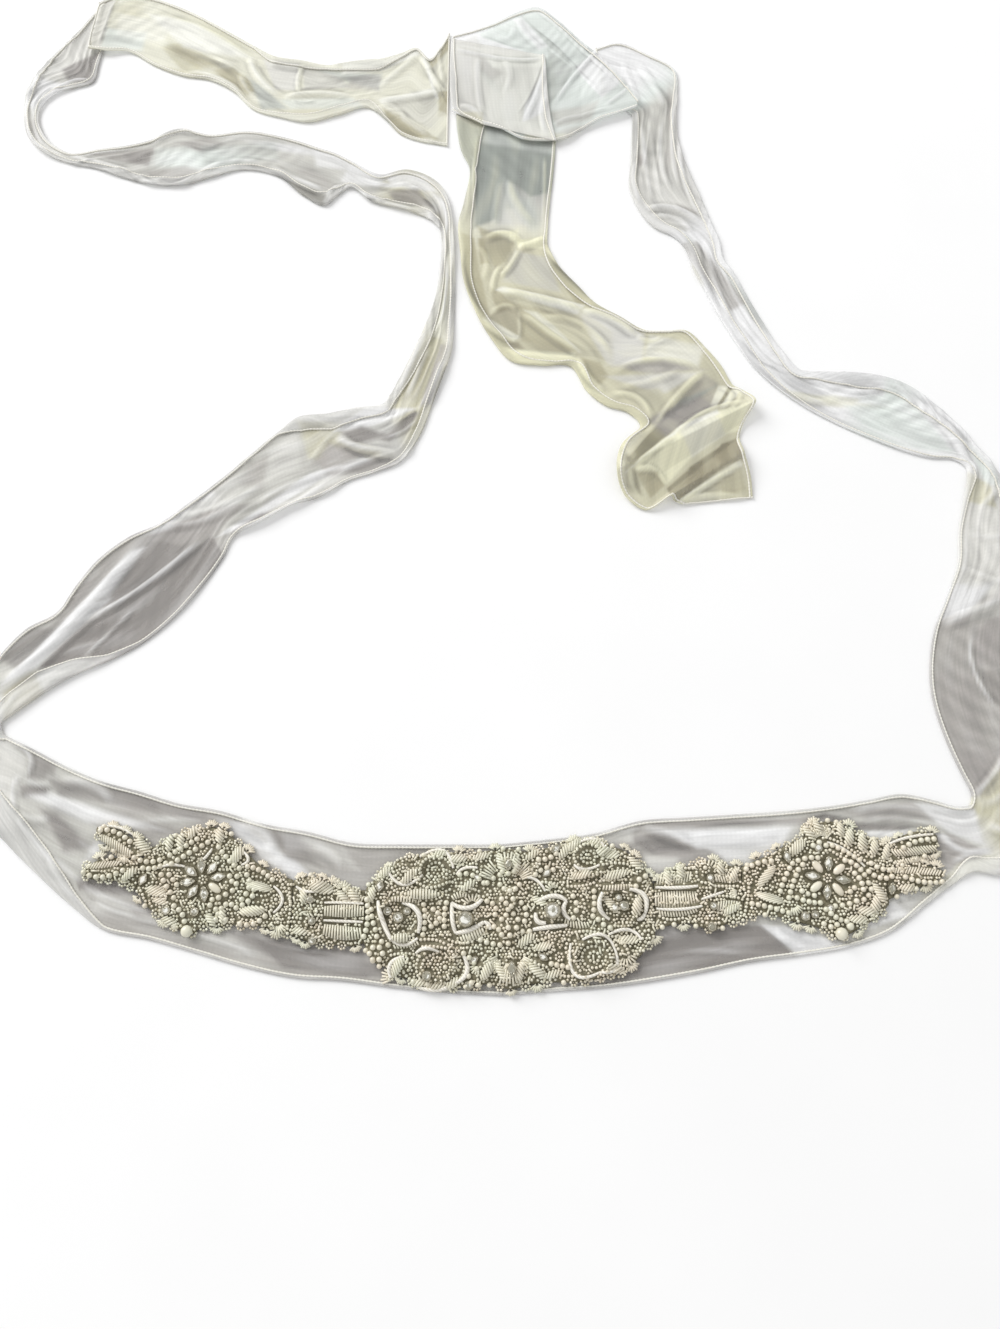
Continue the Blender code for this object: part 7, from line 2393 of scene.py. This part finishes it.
def bead_shape(kind):
    """One bead of a kind, a millimetre across in the scene's metres, to be sized at its spot."""
    shape = bmesh.new()
    if kind in ("pearl", "petal"):
        bmesh.ops.create_uvsphere(shape, u_segments=10, v_segments=6, radius=0.5)
    elif kind == "small":
        bmesh.ops.create_uvsphere(shape, u_segments=6, v_segments=4, radius=0.5)
    elif kind == "seed":
        bmesh.ops.create_icosphere(shape, subdivisions=1, radius=0.5)
    elif kind == "bugle":
        bmesh.ops.create_cone(shape, segments=6, radius1=0.5, radius2=0.5, depth=1.0, cap_ends=True)
        bmesh.ops.rotate(shape, verts=shape.verts, matrix=Matrix.Rotation(math.pi / 2, 3, "Y"))
    elif kind.endswith("_setting"):
        bmesh.ops.create_cone(shape, segments=12, radius1=0.5, radius2=SETTING_TOP, depth=1.0, cap_ends=True)
        for corner in range(4):
            turn = math.pi * (corner + 0.5) / 2
            claw = bmesh.ops.create_icosphere(shape, subdivisions=1, radius=CLAW)["verts"]
            bmesh.ops.scale(shape, verts=claw, vec=(1, 1, CLAW_TALL))
            bmesh.ops.translate(shape, verts=claw,
                                vec=(CLAW_OUT * math.cos(turn), CLAW_OUT * math.sin(turn), CLAW_UP))
    else:
        bmesh.ops.create_cone(shape, segments=8, radius1=0.5, radius2=STONE_TOP, depth=STONE_DEPTH,
                              cap_ends=True)
    if kind.startswith("marquise"):
        for vert in shape.verts:
            vert.co.y *= 1 - abs(vert.co.x) * MARQUISE_POINT
    for vert in shape.verts:
        vert.co *= MM
    mesh = bpy.data.meshes.new(kind)
    shape.to_mesh(mesh)
    shape.free()
    if kind in ROUND_KINDS:
        mesh.shade_smooth()
    return mesh


def copies_at_points(bead):
    """Geometry nodes that put a copy of the bead at each point, turned and sized as the point says."""
    group = bpy.data.node_groups.new("copies_at_points", "GeometryNodeTree")
    for way in ("INPUT", "OUTPUT"):
        group.interface.new_socket("Geometry", in_out=way, socket_type="NodeSocketGeometry")
    points = node(group, "NodeGroupInput").outputs[0]
    source = node(group, "GeometryNodeObjectInfo", {"Object": bead}).outputs["Geometry"]
    turn, size = (node(group, "GeometryNodeInputNamedAttribute", {"Name": name},
                       data_type="FLOAT_VECTOR").outputs[0] for name in ("turn", "size"))
    copies = node(group, "GeometryNodeInstanceOnPoints",
                  {"Points": points, "Instance": source, "Rotation": turn, "Scale": size}).outputs[0]
    real = node(group, "GeometryNodeRealizeInstances", {"Geometry": copies}).outputs[0]
    node(group, "NodeGroupOutput", {"Geometry": real})
    return group


def sewn_on(name, kind, spots, slot, material):
    """All the beads of a kind as one piece."""
    places = np.array([(spot.x, spot.y) for spot in spots])
    sizes = np.array([(spot.length, spot.breadth, spot.height) for spot in spots])
    lifts = np.array([spot.lift for spot in spots])
    heights = ground(places) + SUNK * sizes[:, 2] + lifts
    turns = np.column_stack([np.zeros((len(spots), 2)), np.radians([spot.turn for spot in spots])])
    mesh = bpy.data.meshes.new(name)
    mesh.vertices.add(len(spots))
    mesh.vertices.foreach_set("co", placed(np.column_stack([places, heights])).ravel())
    in_points(mesh, "turn", "FLOAT_VECTOR", turns)
    in_points(mesh, "size", "FLOAT_VECTOR", sizes)
    bead = add_object(kind + "_bead", bead_shape(kind), material)
    points = add_object(name + "_points", mesh, material)
    points.modifiers.new("copies", "NODES").node_group = copies_at_points(bead)
    whole = made_real(points, name)
    for helper in (bead, points):
        bpy.data.objects.remove(helper)
    worn(add_object(name, whole, material), slot)


def couched_cords(rows, material):
    """The curls of cord, laid over the pads."""
    paths, swells = [], []
    for row in rows:
        path = curved(row, CORD_PARTS)
        height = ground(path) + CORD_PLUMP * row.radius
        height = np.convolve(np.pad(height, CORD_EVEN // 2, mode="edge"), np.ones(CORD_EVEN) / CORD_EVEN,
                             mode="valid") + CORD_LIFT
        paths.append(np.column_stack([path, height]))
        taper = np.sin(np.linspace(CORD_SWELL, math.pi - CORD_SWELL, len(path)))
        taper = CORD_TIP + (1 - CORD_TIP) * taper
        swells.append(CORD_PLUMP * row.radius * taper)
    worn(tubes("cords", 1.0, 2, paths, swells, material), "cord")


def beadwork(materials):
    """The pads of net, and all that is sewn on them."""
    for pad in PADS:
        net_pad(pad, materials["net"])
    spots = {kind: [] for kind in BEAD_PIECES}
    strung(MEDALLION_STRINGS + LINK_STRINGS + MOTIF_STRINGS, spots)
    round_ovals(MEDALLION_ROUNDS, spots)
    satin_bands(MEDALLION_SATIN + LINK_SATIN + MOTIF_SATIN, spots)
    fanned(MEDALLION_FANS + LINK_FANS + MOTIF_FANS, spots)
    rosettes(MEDALLION_ROSETTES + LINK_ROSETTES + MOTIF_ROSETTES, spots)
    set_stones(MEDALLION_STONES + LINK_STONES + MOTIF_STONES, spots)
    striped_leaves(MEDALLION_LEAVES + LINK_LEAVES + MOTIF_LEAVES, spots)
    for row in FLOWERS:
        flower(row, spots)
    spots["petal"] += [Spot(x, y, 0, size, size, DROP_FLATTER * size) for x, y, size in DROPS]
    curls = MEDALLION_CURLS + LINK_CURLS + MOTIF_CURLS
    spots["cord"] = [round_bead(x, y, 2 * CORD_PLUMP * row.radius)
                     for row in curls for x, y in curved(row, CORD_PARTS)]
    edging(spots)
    filled_in(spots)
    for kind, (name, slot, finish) in BEAD_PIECES.items():
        sewn_on(name, kind, spots[kind], slot, materials[finish])
    couched_cords(curls, materials["cord"])


# ---------------------------------------------------------------- the table, the light and the camera
def white_table():
    """White melamine board, pressed smooth: even, pale and nearly matt."""
    material, tree = blank("white_melamine")
    spot = node(tree, "ShaderNodeTexCoord").outputs["Object"]
    grain = node(tree, "ShaderNodeTexNoise", {"Vector": spot, "Scale": 8.0, "Detail": 3.0}).outputs["Fac"]
    colour = node(tree, "ShaderNodeMixRGB",
                  {"Fac": grain, "Color1": paint("#f6f6f6"), "Color2": paint("#fbfbfb")})
    finished(material, colour, {"Roughness": 0.8, "Specular IOR Level": 0.1})
    add_object("table", grid("table", 2, 2, None, TABLE_HALF), material)


def studio():
    """Daylight from a wide square window at the upper left, turned to the sash, and an even pale room."""
    lamp = bpy.data.lights.new("window", "AREA")
    lamp.shape = "SQUARE"
    lamp.size = WINDOW_SIZE
    lamp.energy = WINDOW_POWER
    window = in_scene("window", lamp)
    window.location = WINDOW_PLACE
    window.rotation_euler = (-Vector(WINDOW_PLACE)).to_track_quat("-Z", "Y").to_euler()
    world = bpy.data.worlds.new("room")
    world.use_nodes = True
    background = world.node_tree.nodes["Background"]
    background.inputs["Color"].default_value = paint("#ffffff")
    background.inputs["Strength"].default_value = ROOM_LIGHT
    bpy.context.scene.world = world
    bpy.context.scene.view_settings.view_transform = "Standard"


def camera():
    """The view from in front of the band, steeply down."""
    lens = bpy.data.cameras.new("camera")
    lens.sensor_fit = "VERTICAL"
    lens.sensor_height = SENSOR
    lens.lens = LENS
    holder = in_scene("camera", lens)
    holder.location = CAMERA_PLACE
    holder.rotation_euler = (math.radians(90 - CAMERA_DOWN), 0, 0)
    bpy.context.scene.camera = holder


def main():
    """The whole scene: the studio, then the ribbon, then what is sewn on it."""
    white_table()
    studio()
    camera()
    materials = {"organza": silk_organza(), "thread": overlock_thread(), "pearl": lacquered_pearl(),
                 "seed": seed_glass(), "bugle": bugle_glass(), "cord": rayon_cord(),
                 "crystal": cut_crystal(), "claw": claw_metal(), "net": beaded_net()}
    for stretch in STRETCHES:
        ribbon(stretch, materials)
    beadwork(materials)


main()
